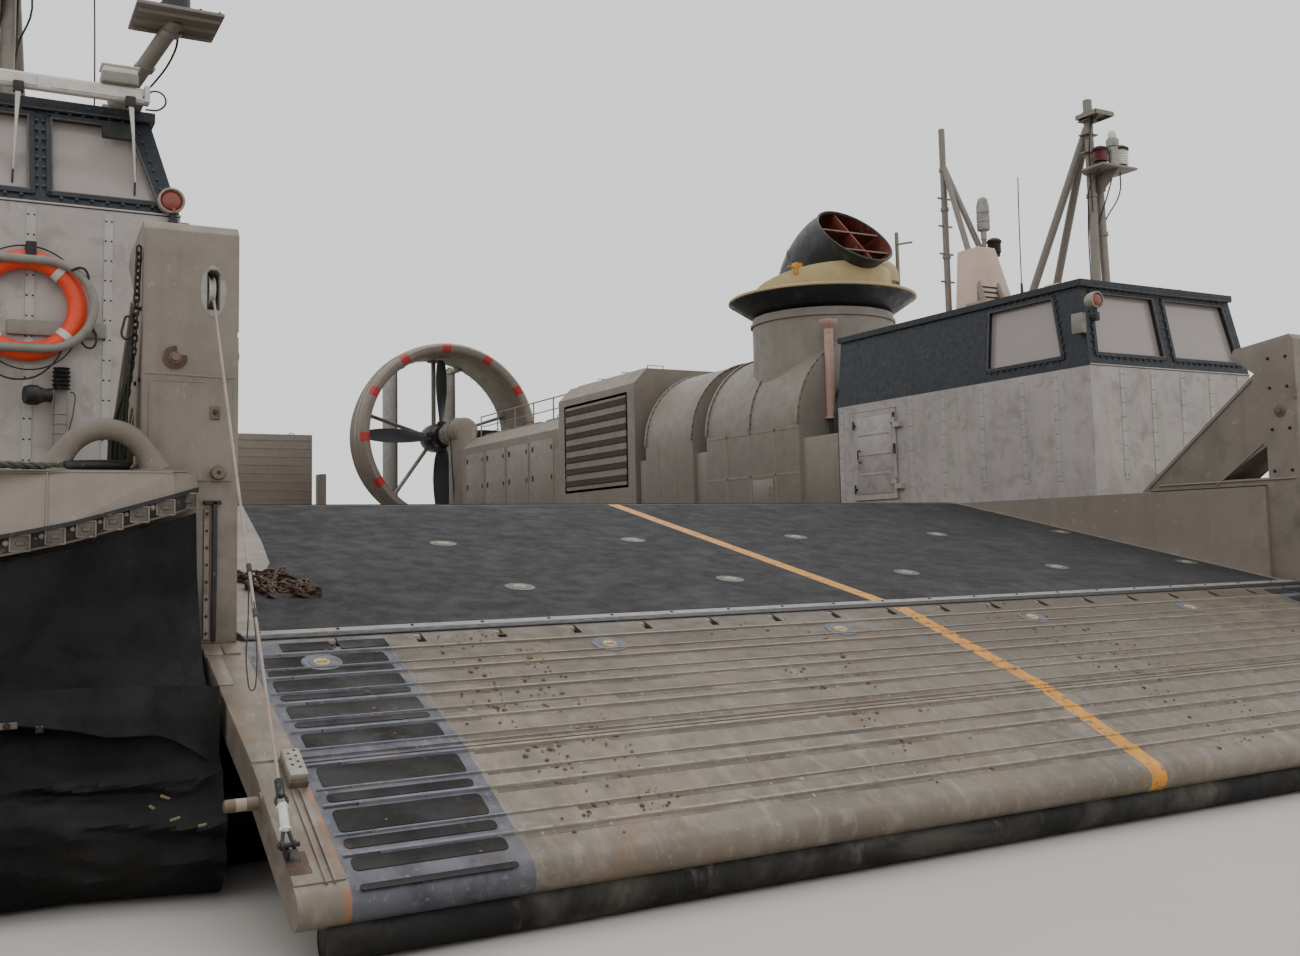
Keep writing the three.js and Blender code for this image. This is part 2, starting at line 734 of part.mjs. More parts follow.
function windowBand(cabin) {
  const { sill, head, leanFront, leanSide, paneMargin, front, sides, back } = cabin;
  const low = sill + paneMargin;
  const high = head - 65;
  const pane = ([a, b], leanLow, leanHigh) => [
    [a, low],
    [b, low],
    [b - leanHigh, high],
    [a + leanLow, high],
  ];
  const openings = [];
  for (const edges of front) {
    const leanLow = edges[0] < CABIN_INNER + 200 ? leanSide : 0;
    const leanHigh = edges[1] > CABIN_OUTER - 200 ? leanSide : 0;
    openings.push(alongY(pane(edges, leanLow, leanHigh), CABIN_FRONT - 50, CABIN_FRONT + leanFront + 100));
  }
  for (const edges of back) openings.push(alongY(pane(edges, 0, 0), CABIN_BACK - 100, CABIN_BACK + 50));
  for (const edges of sides) {
    const outline = pane(edges, edges[0] < CABIN_FRONT + 500 ? leanFront : 0, 0);
    openings.push(alongX(outline, CABIN_INNER - 50, CABIN_OUTER + 50));
  }
  const inside = bandBlock(cabin, sill - 10, head + 10, BAND_WALL);
  return cut(bandBlock(cabin, sill + GAP, head, 0), inside, openings);
}

function glazing(cabin) {
  const { sill, head } = cabin;
  return cut(
    bandBlock(cabin, sill + GAP, head, BAND_WALL + GAP),
    bandBlock(cabin, sill - 10, head + 10, BAND_WALL + 14),
  );
}

function cabinRoof(cabin) {
  const low = cabin.head + GAP;
  const edge = 25;
  const [[x0, y0], , [x1, y1]] = bandCorners(cabin, cabin.head, 0);
  return box(x0 - edge, x1 + edge, y0 - edge, y1 + edge, low, roofTop(cabin));
}

const roofTop = ({ head }) => head + ROOF_THICKNESS;

function controlConsole() {
  const floor = CABIN_FLOOR_Z + 50 + GAP;
  const profile = [
    [2330, floor],
    [2700, floor],
    [2700, 3250],
    [2960, 3330],
    [2960, 3380],
    [2330, 3560],
  ];
  return alongX(profile, 4400, 6400);
}

// The crew's three seats, on one base plate
function crewSeats() {
  const floor = CABIN_FLOOR_Z + 50 + GAP;
  const plate = box(4500, 6300, 3480, 3920, floor, floor + 20);
  const seats = [4780, 5400, 6020].map((x) => {
    const back = [
      [3860, 3100],
      [3960, 3090],
      [4060, 3800],
      [3980, 3820],
    ];
    return joined(
      box(x - 70, x + 70, 3630, 3770, floor + 10, 3000),
      box(x - 240, x + 240, 3450, 3950, 2990, 3110),
      alongX(back, x - 230, x + 230),
      box(x - 130, x + 130, 3985, 4065, 3790, 3980),
    );
  });
  return joined(plate, seats);
}

// Lift fan housing: two scrolls with rounded tops, intakes between them, and the thruster's neck on the first
function fanModule() {
  const middle = (CABIN_INNER + CABIN_OUTER) / 2;
  const radius = (CABIN_OUTER - CABIN_INNER) / 2;
  const floor = DECK_Z + GAP;
  const scroll = [[CABIN_INNER, floor], [CABIN_OUTER, floor], ...arc(middle, 3000, radius, 0, 180, 12)];
  const base = box(CABIN_INNER + 60, CABIN_OUTER - 60, 6200, 11400, floor, 2800);
  const neck = bar([THRUSTER_X, THRUSTER_Y, 3300], [THRUSTER_X, THRUSTER_Y, THRUSTER_BASE_Z - GAP], 1000, 24);
  const ducts = [[6500, 7000, 700], [9200, 9700, 850], [11050, 11400, 850]].map(([front, back, duct]) =>
    alongY(circle(duct, 16, middle, 3000), front, back),
  );
  return joined(base, alongY(scroll, 6950, 9250), alongY(scroll, 9650, 11100), neck, ducts);
}

// Bow thruster: a broad disc that turns on the fan module's neck, a wedge of fairing on it that rises towards
// the outlet, and an elbow whose slanting mouth faces ahead and up, with a vane down its middle
function thruster() {
  const floor = THRUSTER_DISC_HEIGHT;
  const outline = [
    [0, 0],
    [1050, 0],
    [THRUSTER_DISC_RADIUS, floor - 50],
    [THRUSTER_DISC_RADIUS, floor - 20],
    [1000, floor],
    [0, floor],
  ].map(([r, z]) => new THREE.Vector2(r, z));
  const disc = solid(new THREE.LatheGeometry(outline, 28).rotateX(Math.PI / 2));
  const slant = [
    [-1100, floor + 380],
    [900, floor - 20],
    [1100, 1400],
    [-1100, 1400],
  ];
  const fairing = cut(bar([0, 0, floor - 30], [0, 0, floor + 400], 1000, 24), alongX(slant, -1100, 1100));
  const mouth = [
    [-2200, -396],
    [600, 2404],
    [-2200, 2404],
  ];
  const above = alongX(mouth, -900, 900);
  const outer = cut(elbow(0, 0), above);
  const setBack = alongX(mouth.map(([y, z]) => [y + 40, z - 40]), -900, 900);
  const vane = cut(box(-14, 14, -1500, -240, 300, 1500).intersect(elbow(10, 0)), setBack);
  return joined(cut(joined(disc, fairing, outer), elbow(24, 40)), vane);
}

// The elbow's outline, drawn in by the wall's thickness and let run on past its mouth
function elbow(shrink, reach) {
  const bend = 620;
  const start = 320;
  const turns = [0, 19, 38, 57, 76];
  const stations = [{ y: 0, z: 120 + shrink, tilt: 0, radius: 660 }];
  turns.forEach((tilt, i) => {
    const angle = THREE.MathUtils.degToRad(tilt);
    const y = -bend + bend * Math.cos(angle);
    stations.push({ y, z: start + bend * Math.sin(angle), tilt, radius: 660 - 32 * i });
  });
  const last = stations[stations.length - 1];
  const angle = THREE.MathUtils.degToRad(last.tilt);
  const run = 520 + reach;
  stations.push({ ...last, y: last.y - run * Math.sin(angle), z: last.z + run * Math.cos(angle) });
  const rings = stations.map(({ y, z, tilt, radius }) => {
    const lean = THREE.MathUtils.degToRad(tilt);
    return circle(radius - shrink, 16).map(([a, b]) => [a, y + b * Math.cos(lean), z + b * Math.sin(lean)]);
  });
  return loft(rings, circle(500, 16));
}

// Engine intake filter house with louvred sides
function intakeHouse() {
  const floor = DECK_Z + GAP;
  const profile = [
    [CABIN_INNER, floor],
    [CABIN_OUTER, floor],
    [CABIN_OUTER, 4050],
    [6380, 4330],
    [4450, 4330],
    [CABIN_INNER, 4080],
  ];
  const louvres = [];
  for (let i = 0; i < 7; i += 1) {
    const z = 2500 + 210 * i;
    louvres.push(box(CABIN_INNER - 20, CABIN_INNER + 45, 11750, 14050, z, z + 110));
    louvres.push(box(CABIN_OUTER - 45, CABIN_OUTER + 20, 11750, 14050, z, z + 110));
  }
  return cut(alongY(profile, 11450, 14350), louvres);
}

// Engine bay with its sloping outboard shoulder
const SHOULDER = { top: [5900, 3850], foot: [6600, 3150] };

function engineBay() {
  const floor = DECK_Z + GAP;
  const profile = [
    [CABIN_INNER, floor],
    [CABIN_OUTER, floor],
    SHOULDER.foot,
    SHOULDER.top,
    [4500, 3850],
    [CABIN_INNER, 3600],
  ];
  const hatches = [15100, 16700, 18300].map((y) => box(4560, 5640, y - 620, y + 620, 3840, 3890));
  return joined(alongY(profile, 14350 + GAP, 19300), hatches);
}

// Two exhaust stacks on one plate along the engine bay's shoulder
function exhaustStacks() {
  const [x1, z1] = SHOULDER.foot;
  const [x0, z0] = SHOULDER.top;
  const out = [Math.SQRT1_2, Math.SQRT1_2];
  const lift = (x, z, by) => [x + out[0] * by, z + out[1] * by];
  const corner = (share, by) => lift(x0 + (x1 - x0) * share, z0 + (z1 - z0) * share, by);
  const section = [corner(0.08, GAP), corner(0.92, GAP), corner(0.92, 40), corner(0.08, 40)];
  const plate = alongY(section, 15000, 18500);
  const [mx, mz] = corner(0.5, 30);
  const stacks = [];
  const bores = [];
  for (const y of [15800, 17700]) {
    stacks.push(bar([mx, y, mz], [mx + 180, y, mz + 520], 330, 16));
    bores.push(bar([mx + 70, y, mz + 200], [mx + 210, y, mz + 605], 300, 16));
  }
  const under = alongY([corner(-0.5, GAP), corner(1.5, GAP), [4500, 2000]], 15000, 18500);
  return cut(joined(plate, stacks), bores, under);
}

// Propeller shroud: the duct, its stator struts and hub, the rudder arms aft and the pedestal below
function shroud() {
  const duct = new THREE.LatheGeometry(
    [
      [2020, 0],
      [2100, 200],
      [2090, 700],
      [1900, 1600],
      [1870, 1600],
      [SHROUD_BORE, 900],
      [SHROUD_BORE, 420],
      [1870, 100],
      [2020, 0],
    ].map(([r, y]) => new THREE.Vector2(r, y)),
    30,
  ).translate(0, SHROUD_FRONT, 0);
  const hub = bar([0, 21560, 0], [0, 22150, 0], 330, 20, 200);
  const struts = [0, 1, 2, 3, 4].map((i) => {
    const angle = Math.PI / 2 + (2 * Math.PI * i) / 5;
    return bar([0, 21850, 0], [1880 * Math.cos(angle), 21850, 1880 * Math.sin(angle)], 62, 8);
  });
  const arms = [];
  for (const side of [-1, 1]) {
    for (const x of [-RUDDER_OFFSET, RUDDER_OFFSET]) {
      const near = side * (RUDDER_HALF_HEIGHT + RUDDER_ARM_GAP);
      const far = side * (RUDDER_HALF_HEIGHT + RUDDER_ARM_GAP + 120);
      arms.push(box(x - 70, x + 70, 21960, RUDDER_PIVOT_Y + 90, Math.min(near, far), Math.max(near, far)));
    }
  }
  const pedestal = cut(
    box(-1050, 1050, SHROUD_FRONT + 120, SHROUD_BACK - 100, DECK_Z - SHROUD_Z + GAP, -1500),
    bar([0, SHROUD_FRONT, 0], [0, SHROUD_BACK, 0], 1960, 40),
  );
  return joined(solid(duct), hub, struts, arms, pedestal).translate([SHROUD_X, 0, SHROUD_Z]);
}

// Pylon ahead of the propeller, which carries the gearbox and the shaft
function propellerPylon() {
  const plan = [
    [-90, 19400],
    [90, 19400],
    [230, 19800],
    [200, 20350],
    [80, 20560],
    [-80, 20560],
    [-200, 20350],
    [-230, 19800],
  ].map(([x, y]) => [x + SHROUD_X, y]);
  const column = alongZ(plan, DECK_Z + GAP, SHROUD_Z + 60);
  const gearbox = bar([SHROUD_X, 19700, SHROUD_Z], [SHROUD_X, 20900, SHROUD_Z], 300, 16, 220);
  const shaft = bar([SHROUD_X, 20880, SHROUD_Z], [SHROUD_X, PROPELLER_Y - 205 - GAP, SHROUD_Z], 150, 16);
  return joined(column, gearbox, shaft);
}

// Four-bladed propeller
function propeller() {
  // One row per blade section: radius, chord, thickness and pitch in degrees.
  const sections = [
    { radius: 180, chord: 220, thick: 110, pitch: 62 },
    { radius: 520, chord: 400, thick: 60, pitch: 50 },
    { radius: 1000, chord: 430, thick: 38, pitch: 36 },
    { radius: 1450, chord: 360, thick: 24, pitch: 27 },
    { radius: PROPELLER_RADIUS, chord: 220, thick: 12, pitch: 22 },
  ];
  const foil = [
    [-0.5, 0],
    [-0.15, 0.5],
    [0.3, 0.3],
    [0.5, 0],
    [0.3, -0.3],
    [-0.15, -0.5],
  ];
  const rings = sections.map(({ radius, chord, thick, pitch }) => {
    const angle = THREE.MathUtils.degToRad(pitch);
    return foil.map(([c, t]) => {
      const along = c * chord;
      const across = t * thick;
      const x = along * Math.cos(angle) - across * Math.sin(angle);
      const y = along * Math.sin(angle) + across * Math.cos(angle);
      return [x, y, radius];
    });
  });
  const blade = loft(rings, foil);
  const quarter = (turns) => blade.rotate([0, 90 * turns, 0]);
  const hub = joined(bar([0, -205, 0], [0, 200, 0], 260, 20), bar([0, 195, 0], [0, 238, 0], 255, 20, 190));
  return joined(hub, [0, 1, 2, 3].map(quarter)).translate([SHROUD_X, PROPELLER_Y, SHROUD_Z]);
}

function rudder() {
  const section = [
    [0, -340],
    [48, -260],
    [66, -100],
    [58, 200],
    [10, 780],
    [-10, 780],
    [-58, 200],
    [-66, -100],
    [-48, -260],
  ];
  const reach = RUDDER_HALF_HEIGHT + RUDDER_ARM_GAP - GAP;
  const stock = bar([0, 0, -reach], [0, 0, reach], 45, 12);
  return joined(alongZ(section, -RUDDER_HALF_HEIGHT, RUDDER_HALF_HEIGHT), stock);
}

function placeRudders() {
  const shape = rudder();
  for (const [side, prefix] of [
    [1, "port"],
    [-1, "starboard"],
  ]) {
    for (const [offset, where] of [
      [-RUDDER_OFFSET, "inner"],
      [RUDDER_OFFSET, "outer"],
    ]) {
      const x = side * (SHROUD_X + offset);
      place(prefix + "_" + where + "_rudder", shape.translate([x, RUDDER_PIVOT_Y, SHROUD_Z]), "slate");
    }
  }
}

// Stern ramp, stowed upright on its hinge lugs, with stiffening ribs on its outside
function sternRamp() {
  const y = HULL_LENGTH + STERN_PIN_OUT;
  const half = STERN_RAMP_THICKNESS / 2;
  const top = STERN_PIN_Z + STERN_RAMP_LENGTH;
  const width = STERN_RAMP_HALF_WIDTH;
  const panel = box(-width, width, y - half, y + half, STERN_PIN_Z, top);
  const heel = bar([-width, y, STERN_PIN_Z], [width, y, STERN_PIN_Z], STERN_PIN_RADIUS, 16);
  const ribs = [-2050, -1025, 0, 1025, 2050].map((x) =>
    box(x - 60, x + 60, y + half - 10, y + half + 40, STERN_PIN_Z + 80, top - 60),
  );
  const notches = STERN_LUG_X.map((x) =>
    box(x - 50 - GAP, x + 50 + GAP, y - 100, y + 100, STERN_PIN_Z - 60, STERN_PIN_Z + 60),
  );
  return cut(joined(panel, heel, ribs), notches);
}

// Lamp mast: twin poles with two legs running aft, a lamp shelf and a small top shelf, over a roof at a given
// height
function foreMast(roof) {
  const foot = roof + GAP;
  const poles = [
    bar([MAST_X - 60, 2850, foot], [MAST_X - 60, 2850, 6150], 48, 8),
    bar([MAST_X + 90, 2850, foot + 12], [MAST_X + 60, 2850, 5330], 44, 8),
  ];
  const legs = [-190, 190].map((dx) => bar([MAST_X + dx, 3720, foot + 45], [MAST_X - 60, 2870, 5850], 44, 6));
  const feet = [
    box(MAST_X - 160, MAST_X + 190, 2760, 2960, foot, foot + 24),
    ...[-190, 190].map((dx) => box(MAST_X + dx - 90, MAST_X + dx + 90, 3620, 3820, foot, foot + 50)),
  ];
  const outline = [
    [MAST_X - 260, 2500],
    [MAST_X + 260, 2500],
    [MAST_X + 260, 2800],
    [MAST_X + 80, 2900],
    [MAST_X - 120, 2900],
    [MAST_X - 260, 2800],
  ];
  const shelf = alongZ(outline, 5320, 5345);
  const topShelf = box(MAST_X - 200, MAST_X + 80, 2620, 2900, 5950, 5970);
  // One row per lamp: place across and along, and radius.
  const lamps = [
    [-150, 2620, 70],
    [0, 2580, 55],
    [150, 2640, 85],
  ].map(([dx, y, r]) => bar([MAST_X + dx, y, 5340], [MAST_X + dx, y, 5340 + 2.6 * r], r, 8));
  return joined(poles, legs, feet, shelf, topShelf, lamps);
}

// Aerial mast: a pole with two legs running forward
function aftMast(roof) {
  const foot = roof + GAP;
  const pole = bar([MAST_X, 5200, foot], [MAST_X, 5200, 6550], 40, 8);
  const legs = [-190, 190].map((dx) => bar([MAST_X + dx, 4350, foot + 40], [MAST_X, 5180, 6050], 36, 6));
  const feet = [
    box(MAST_X - 100, MAST_X + 100, 5110, 5290, foot, foot + 24),
    ...[-190, 190].map((dx) => box(MAST_X + dx - 80, MAST_X + dx + 80, 4260, 4440, foot, foot + 50)),
  ];
  return joined(pole, legs, feet);
}

// Wiper beam across the control cabin's windows, on two brackets from the roof
function wiperBeam(roof) {
  const beam = box(4400, 6350, 2110, 2190, roof - 50, roof + 60);
  const motor = box(4470, 4690, 2070, 2230, roof + 55, roof + 170);
  const brackets = [4450, 6300].map((x) => box(x - 40, x + 40, 2180, 2560, roof + GAP, roof + 50));
  return joined(beam, motor, brackets);
}

// Leaning lamp pole with a square shelf, at the control cabin's front inboard corner
function lampPole(roof) {
  const foot = roof + GAP;
  const pole = bar([4560, 2640, foot + 50], [4420, 2120, 5080], 55, 10);
  const base = box(4490, 4640, 2570, 2720, foot, foot + 70);
  const shelf = box(4150, 4690, 1880, 2360, 5060, 5084);
  const lamp = bar([4420, 2120, 5075], [4420, 2120, 5320], 90, 14);
  return joined(pole, base, shelf, lamp);
}

function lifeRing() {
  const ring = new THREE.TorusGeometry(300, 62, 8, 20).rotateX(Math.PI / 2);
  return solid(ring.translate(5080, CABIN_FRONT - 62 - GAP, 2985));
}

place("hull_raft", hullRaft(), "hull");
place("keel_skirt", keelSkirt(), "rubber");
placePair("bow_corner_plating", bowCornerPlating(), "hull");
placePair("bow_skirt", bowSkirt(), "rubber");
place("bow_skirt_middle", bowSkirtMiddle(), "rubber");
placePair("side_skirt", sideSkirt(), "rubber");
place("stern_skirt", sternSkirt(), "rubber");
placePair("ramp_post", rampPost(), "hull");
placePair("mooring_ring", mooringRing(), "hull");
placeBowRamp();
placePair("cabin_door", cabinDoor(), "cabin");
for (const [name, shape, finish] of [
  ["cabin_walls", cabinWalls, "cabin"],
  ["window_band", windowBand, "frame"],
  ["glazing", glazing, "glass"],
  ["cabin_roof", cabinRoof, "cabin"],
]) {
  place("port_" + name, shape(CABINS.port), finish);
  placeMirrored("starboard_" + name, shape(CABINS.starboard), finish);
}
placeMirrored("control_console", controlConsole(), "dark_metal");
placeMirrored("crew_seats", crewSeats(), "seat");
for (const [name, shape] of [
  ["fore_mast", foreMast],
  ["aft_mast", aftMast],
]) {
  place("port_" + name, shape(roofTop(CABINS.port)), "mast");
  placeMirrored("starboard_" + name, shape(roofTop(CABINS.starboard)), "mast");
}
placeMirrored("wiper_beam", wiperBeam(roofTop(CABINS.starboard)), "white");
placeMirrored("lamp_pole", lampPole(roofTop(CABINS.starboard)), "mast");
placeMirrored("life_ring", lifeRing(), "orange");
placePair("lift_fan_module", fanModule(), "hull");
placePair("bow_thruster", thruster().translate([THRUSTER_X, THRUSTER_Y, THRUSTER_BASE_Z]), "slate");
placePair("intake_house", intakeHouse(), "hull");
placePair("engine_bay", engineBay(), "hull");
placePair("exhaust_stacks", exhaustStacks(), "dark_metal");
placePair("propeller_shroud", shroud(), "hull");
placePair("propeller_pylon", propellerPylon(), "hull");
placePair("propeller", propeller(), "blade");
placeRudders();
place("stern_ramp", sternRamp(), "ramp");

const landingCraft = new THREE.Group();
landingCraft.name = "landing_craft";
landingCraft.add(craft);

export default landingCraft;
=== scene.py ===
"""An air-cushion landing craft with its bow ramp down: its looks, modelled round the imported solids.

Lengths are metres. Pieces are modelled with y measured aft of the bow ramp's hinge line, and settle() moves
them to the craft's own origin, amidships. Port is towards +X and the bow towards -Y.
"""
import json
import math
import random

import bpy
from mathutils import Matrix, Vector, noise


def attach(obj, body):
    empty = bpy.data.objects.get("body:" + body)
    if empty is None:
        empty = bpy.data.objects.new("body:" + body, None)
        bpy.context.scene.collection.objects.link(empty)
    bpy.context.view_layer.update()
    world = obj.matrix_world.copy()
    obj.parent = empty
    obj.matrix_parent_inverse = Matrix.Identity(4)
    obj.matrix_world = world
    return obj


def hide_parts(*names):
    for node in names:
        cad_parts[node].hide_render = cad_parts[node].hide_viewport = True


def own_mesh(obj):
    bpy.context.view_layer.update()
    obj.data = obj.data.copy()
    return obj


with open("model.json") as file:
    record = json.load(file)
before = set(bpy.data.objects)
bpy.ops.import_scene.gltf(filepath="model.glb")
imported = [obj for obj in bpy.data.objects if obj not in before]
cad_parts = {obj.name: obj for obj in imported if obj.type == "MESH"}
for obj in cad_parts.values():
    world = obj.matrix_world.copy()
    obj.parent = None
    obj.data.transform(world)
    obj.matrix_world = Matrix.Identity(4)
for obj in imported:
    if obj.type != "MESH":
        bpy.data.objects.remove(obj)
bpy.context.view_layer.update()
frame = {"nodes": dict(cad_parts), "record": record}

BOW = -11.4175  # the hinge line's place along the craft
HALF_BEAM = 6.65
DECK = 1.83  # height of the cargo deck
LIP = 1.01  # height of the deck's edge at the hinge line
FOREDECK = 4.0  # length of the slope between the two
SEAT = 1.838  # height at which posts, modules and columns stand on the deck
CABIN_FRONT = 2.10  # the cabins' front wall
CABIN_IN, CABIN_OUT = 4.20, 6.60  # their side walls
MAST_X = 5.27
SLOT_X = 4.354  # middle of the slot and sheave in a ramp post
SIDES = (("port", 1), ("starboard", -1))


# Camera, floor and light

def linked(name, data):
    """A new object in the scene."""
    obj = bpy.data.objects.new(name, data)
    bpy.context.collection.objects.link(obj)
    return obj


def look_from_the_ramp():
    """The photograph's view, from ahead of the starboard end of the ramp, looking aft and to port."""
    right = Vector((0.8752, -0.4833, -0.0223))
    up = Vector((-0.0252, -0.0880, 0.9959))
    ahead = Vector((0.4831, 0.8710, 0.0883))
    camera = bpy.data.cameras.new("camera")
    camera.lens = 35.0
    camera.sensor_width = 36.0
    camera.shift_y = -0.0346
    camera.clip_start = 0.05
    camera.clip_end = 2000.0
    holder = linked("camera", camera)
    turn = Matrix((right, up, -ahead)).transposed().to_4x4()
    holder.matrix_world = Matrix.Translation((-5.483, -6.471 + BOW, 1.44)) @ turn
    bpy.context.scene.camera = holder


def lamp(name, kind, energy, turn, **settings):
    light = bpy.data.lights.new(name, kind)
    light.energy = energy
    for key, value in settings.items():
        setattr(light, key, value)
    linked(name, light).rotation_euler = [math.radians(angle) for angle in turn]


def light_the_stage():
    world = bpy.data.worlds.new("overcast")
    bpy.context.scene.world = world
    world.use_nodes = True
    sky = world.node_tree.nodes["Background"]
    sky.inputs["Color"].default_value = (0.84, 0.845, 0.86, 1)
    sky.inputs["Strength"].default_value = 1.38
    lamp("high_cloud", "SUN", 0.7, (-14, 16, 0), angle=math.radians(50), color=(1.0, 0.98, 0.95))


look_from_the_ramp()
light_the_stage()


# Shader graphs

def srgb(*levels):
    """A paint colour from its 0-255 levels."""
    shares = [level / 255 for level in levels]
    return tuple(s / 12.92 if s <= 0.04045 else ((s + 0.055) / 1.055) ** 2.4 for s in shares) + (1.0,)


def toned(colour, by):
    """A colour made lighter or darker."""
    return tuple(min(1.0, level * by) for level in colour[:3]) + (1.0,)


class Value:
    """A shader socket that takes arithmetic: each operator adds the node that works it out."""

    def __init__(self, graph, socket):
        self.graph, self.socket = graph, socket

    def maths(self, operation, a, b):
        return self.graph.node("ShaderNodeMath", {"operation": operation}, {0: a, 1: b})

    def __add__(self, other):
        return self.maths("ADD", self, other)

    def __sub__(self, other):
        return self.maths("SUBTRACT", self, other)

    def __lt__(self, other):
        return self.maths("LESS_THAN", self, other)

    def __mul__(self, other):
        return self.maths("MULTIPLY", self, other)

    def __gt__(self, other):
        return self.maths("GREATER_THAN", self, other)

    def __abs__(self):
        return self.maths("ABSOLUTE", self, 0.0)

    __radd__, __rmul__ = __add__, __mul__


class Finish:
    """A material under construction, with its object coordinates at hand."""

    def __init__(self, name, rough=0.6, metal=0.0, **uniform):
        self.material = bpy.data.materials.new(name)
        self.material.use_nodes = True
        self.tree = self.material.node_tree
        self.shader = self.tree.nodes["Principled BSDF"]
        self.give("Roughness", rough)
        self.give("Metallic", metal)
        for key, value in uniform.items():
            self.give(key.replace("_", " "), value)
        self.place = self.node("ShaderNodeTexCoord", output="Object")
        axes = self.node("ShaderNodeSeparateXYZ", inputs={0: self.place})
        nodes = axes.socket.node.outputs
        self.x, self.y, self.z = (Value(self, nodes[i]) for i in range(3))

    def give(self, socket, value):
        """Feeds one of the shader's sockets with a number, a colour or a worked-out value."""
        if isinstance(value, Value):
            self.tree.links.new(value.socket, self.shader.inputs[socket])
        else:
            self.shader.inputs[socket].default_value = value

    def node(self, kind, settings=None, inputs=None, output=0):
        made = self.tree.nodes.new(kind)
        for key, value in (settings or {}).items():
            setattr(made, key, value)
        for key, value in (inputs or {}).items():
            if isinstance(value, Value):
                self.tree.links.new(value.socket, made.inputs[key])
            else:
                made.inputs[key].default_value = value
        return Value(self, made.outputs[output])

    def noise(self, scale, detail=4.0, stretch=(1, 1, 1), twist=0.0, at=(0, 0, 0)):
        """Cloudy values about one half, finer with scale and drawn out where stretch is small."""
        where = self.node("ShaderNodeMapping", inputs={"Vector": self.place, "Scale": stretch,
                                                       "Location": at})
        return self.node(
            "ShaderNodeTexNoise",
            inputs={"Vector": where, "Scale": scale, "Detail": detail, "Roughness": 0.6, "Distortion": twist},
        )

    def ramp(self, value, low, high, to_low=0.0, to_high=1.0):
        """A value's run from low to high, turned into another run and held at its ends."""
        inputs = {"Value": value, "From Min": low, "From Max": high, "To Min": to_low, "To Max": to_high}
        return self.node("ShaderNodeMapRange", {"interpolation_type": "SMOOTHSTEP"}, inputs)

    def mix(self, share, under, over):
        """One colour laid over another where the share is 1."""
        return self.node("ShaderNodeMix", {"data_type": "RGBA"}, {0: share, 6: under, 7: over}, output=2)

    def bump(self, height, depth=0.002, strength=0.6, after=None):
        inputs = {"Height": height, "Distance": depth, "Strength": strength}
        if after:
            inputs["Normal"] = after
        made = self.node("ShaderNodeBump", inputs=inputs)
        self.give("Normal", made)
        return made


def weathered(name, paint, rough=0.55, metal=0.1, grime=(0.30, 0.25, 0.19), mottle=0.25, dirt=0.35,
              streaks=0.25, rust=0.0, low=0.3, fine=38.0):
    """Outdoor paint: clouded by sun, streaked by rain, dusty near the ground, where a dark grime paints shade
    as well, and scuffed all over.
    """
    made = Finish(name, metal=metal)
    grime = (*grime, 1.0)
    paint = srgb(*paint)
    colour = made.mix(made.ramp(made.noise(1.1, 6), 0.35, 0.7) * mottle, paint, toned(paint, 1.45))
    colour = made.mix(made.ramp(made.noise(5.5, 8, twist=0.8), 0.45, 0.72) * mottle, colour,
                      toned(paint, 0.62))
    runs = made.ramp(made.noise(6.0, 5, stretch=(1, 1, 0.09)), 0.52, 0.78)
    colour = made.mix(runs * streaks, colour, grime)
    # Grime patches near the ground: dust in most coats; with a dark grime, as on the ramp posts, they also
    # paint shade low down.
    near_ground = made.ramp(made.z, low, low + 1.4, 1.0, 0.25)
    patches = made.ramp(made.noise(2.3, 8, at=(3, 1, 7)), 0.42, 0.75)
    colour = made.mix(patches * near_ground * dirt, colour, grime)
    scuffs = made.ramp(made.noise(fine, 3, stretch=(1, 0.3, 0.5)), 0.62, 0.72)
    colour = made.mix(scuffs * (0.35 * mottle + 0.05), colour, srgb(205, 200, 192))
    if rust:
        spots = made.ramp(made.noise(9.0, 9, at=(5, 5, 5)), 0.66, 0.74)
        colour = made.mix(spots * rust, colour, srgb(112, 62, 34))
    made.give("Base Color", colour)
    made.give("Roughness", made.ramp(made.noise(7.0, 5), 0.3, 0.7, rough - 0.1, rough + 0.14))
    made.bump(made.noise(fine * 2.4, 4) + made.noise(1.7, 2) * 2.0, 0.0012, 0.35)
    return made.material


def painted(name, paint, rough=0.5, metal=0.0, wear=0.15, fine=60.0, **uniform):
    """A small fitting's coat: one colour, rubbed in places and slightly uneven."""
    made = Finish(name, metal=metal, **uniform)
    paint = srgb(*paint)
    colour = made.mix(made.ramp(made.noise(14, 6), 0.45, 0.7) * wear * 2.0, paint, toned(paint, 0.55))
    colour = made.mix(made.ramp(made.noise(31, 4, at=(2, 2, 2)), 0.6, 0.7) * wear, colour,
                      srgb(150, 140, 125))
    made.give("Base Color", colour)
    made.give("Roughness", made.ramp(made.noise(22, 4), 0.3, 0.7, rough - 0.08, rough + 0.12))
    made.bump(made.noise(fine, 3), 0.0006, 0.3)
    return made.material


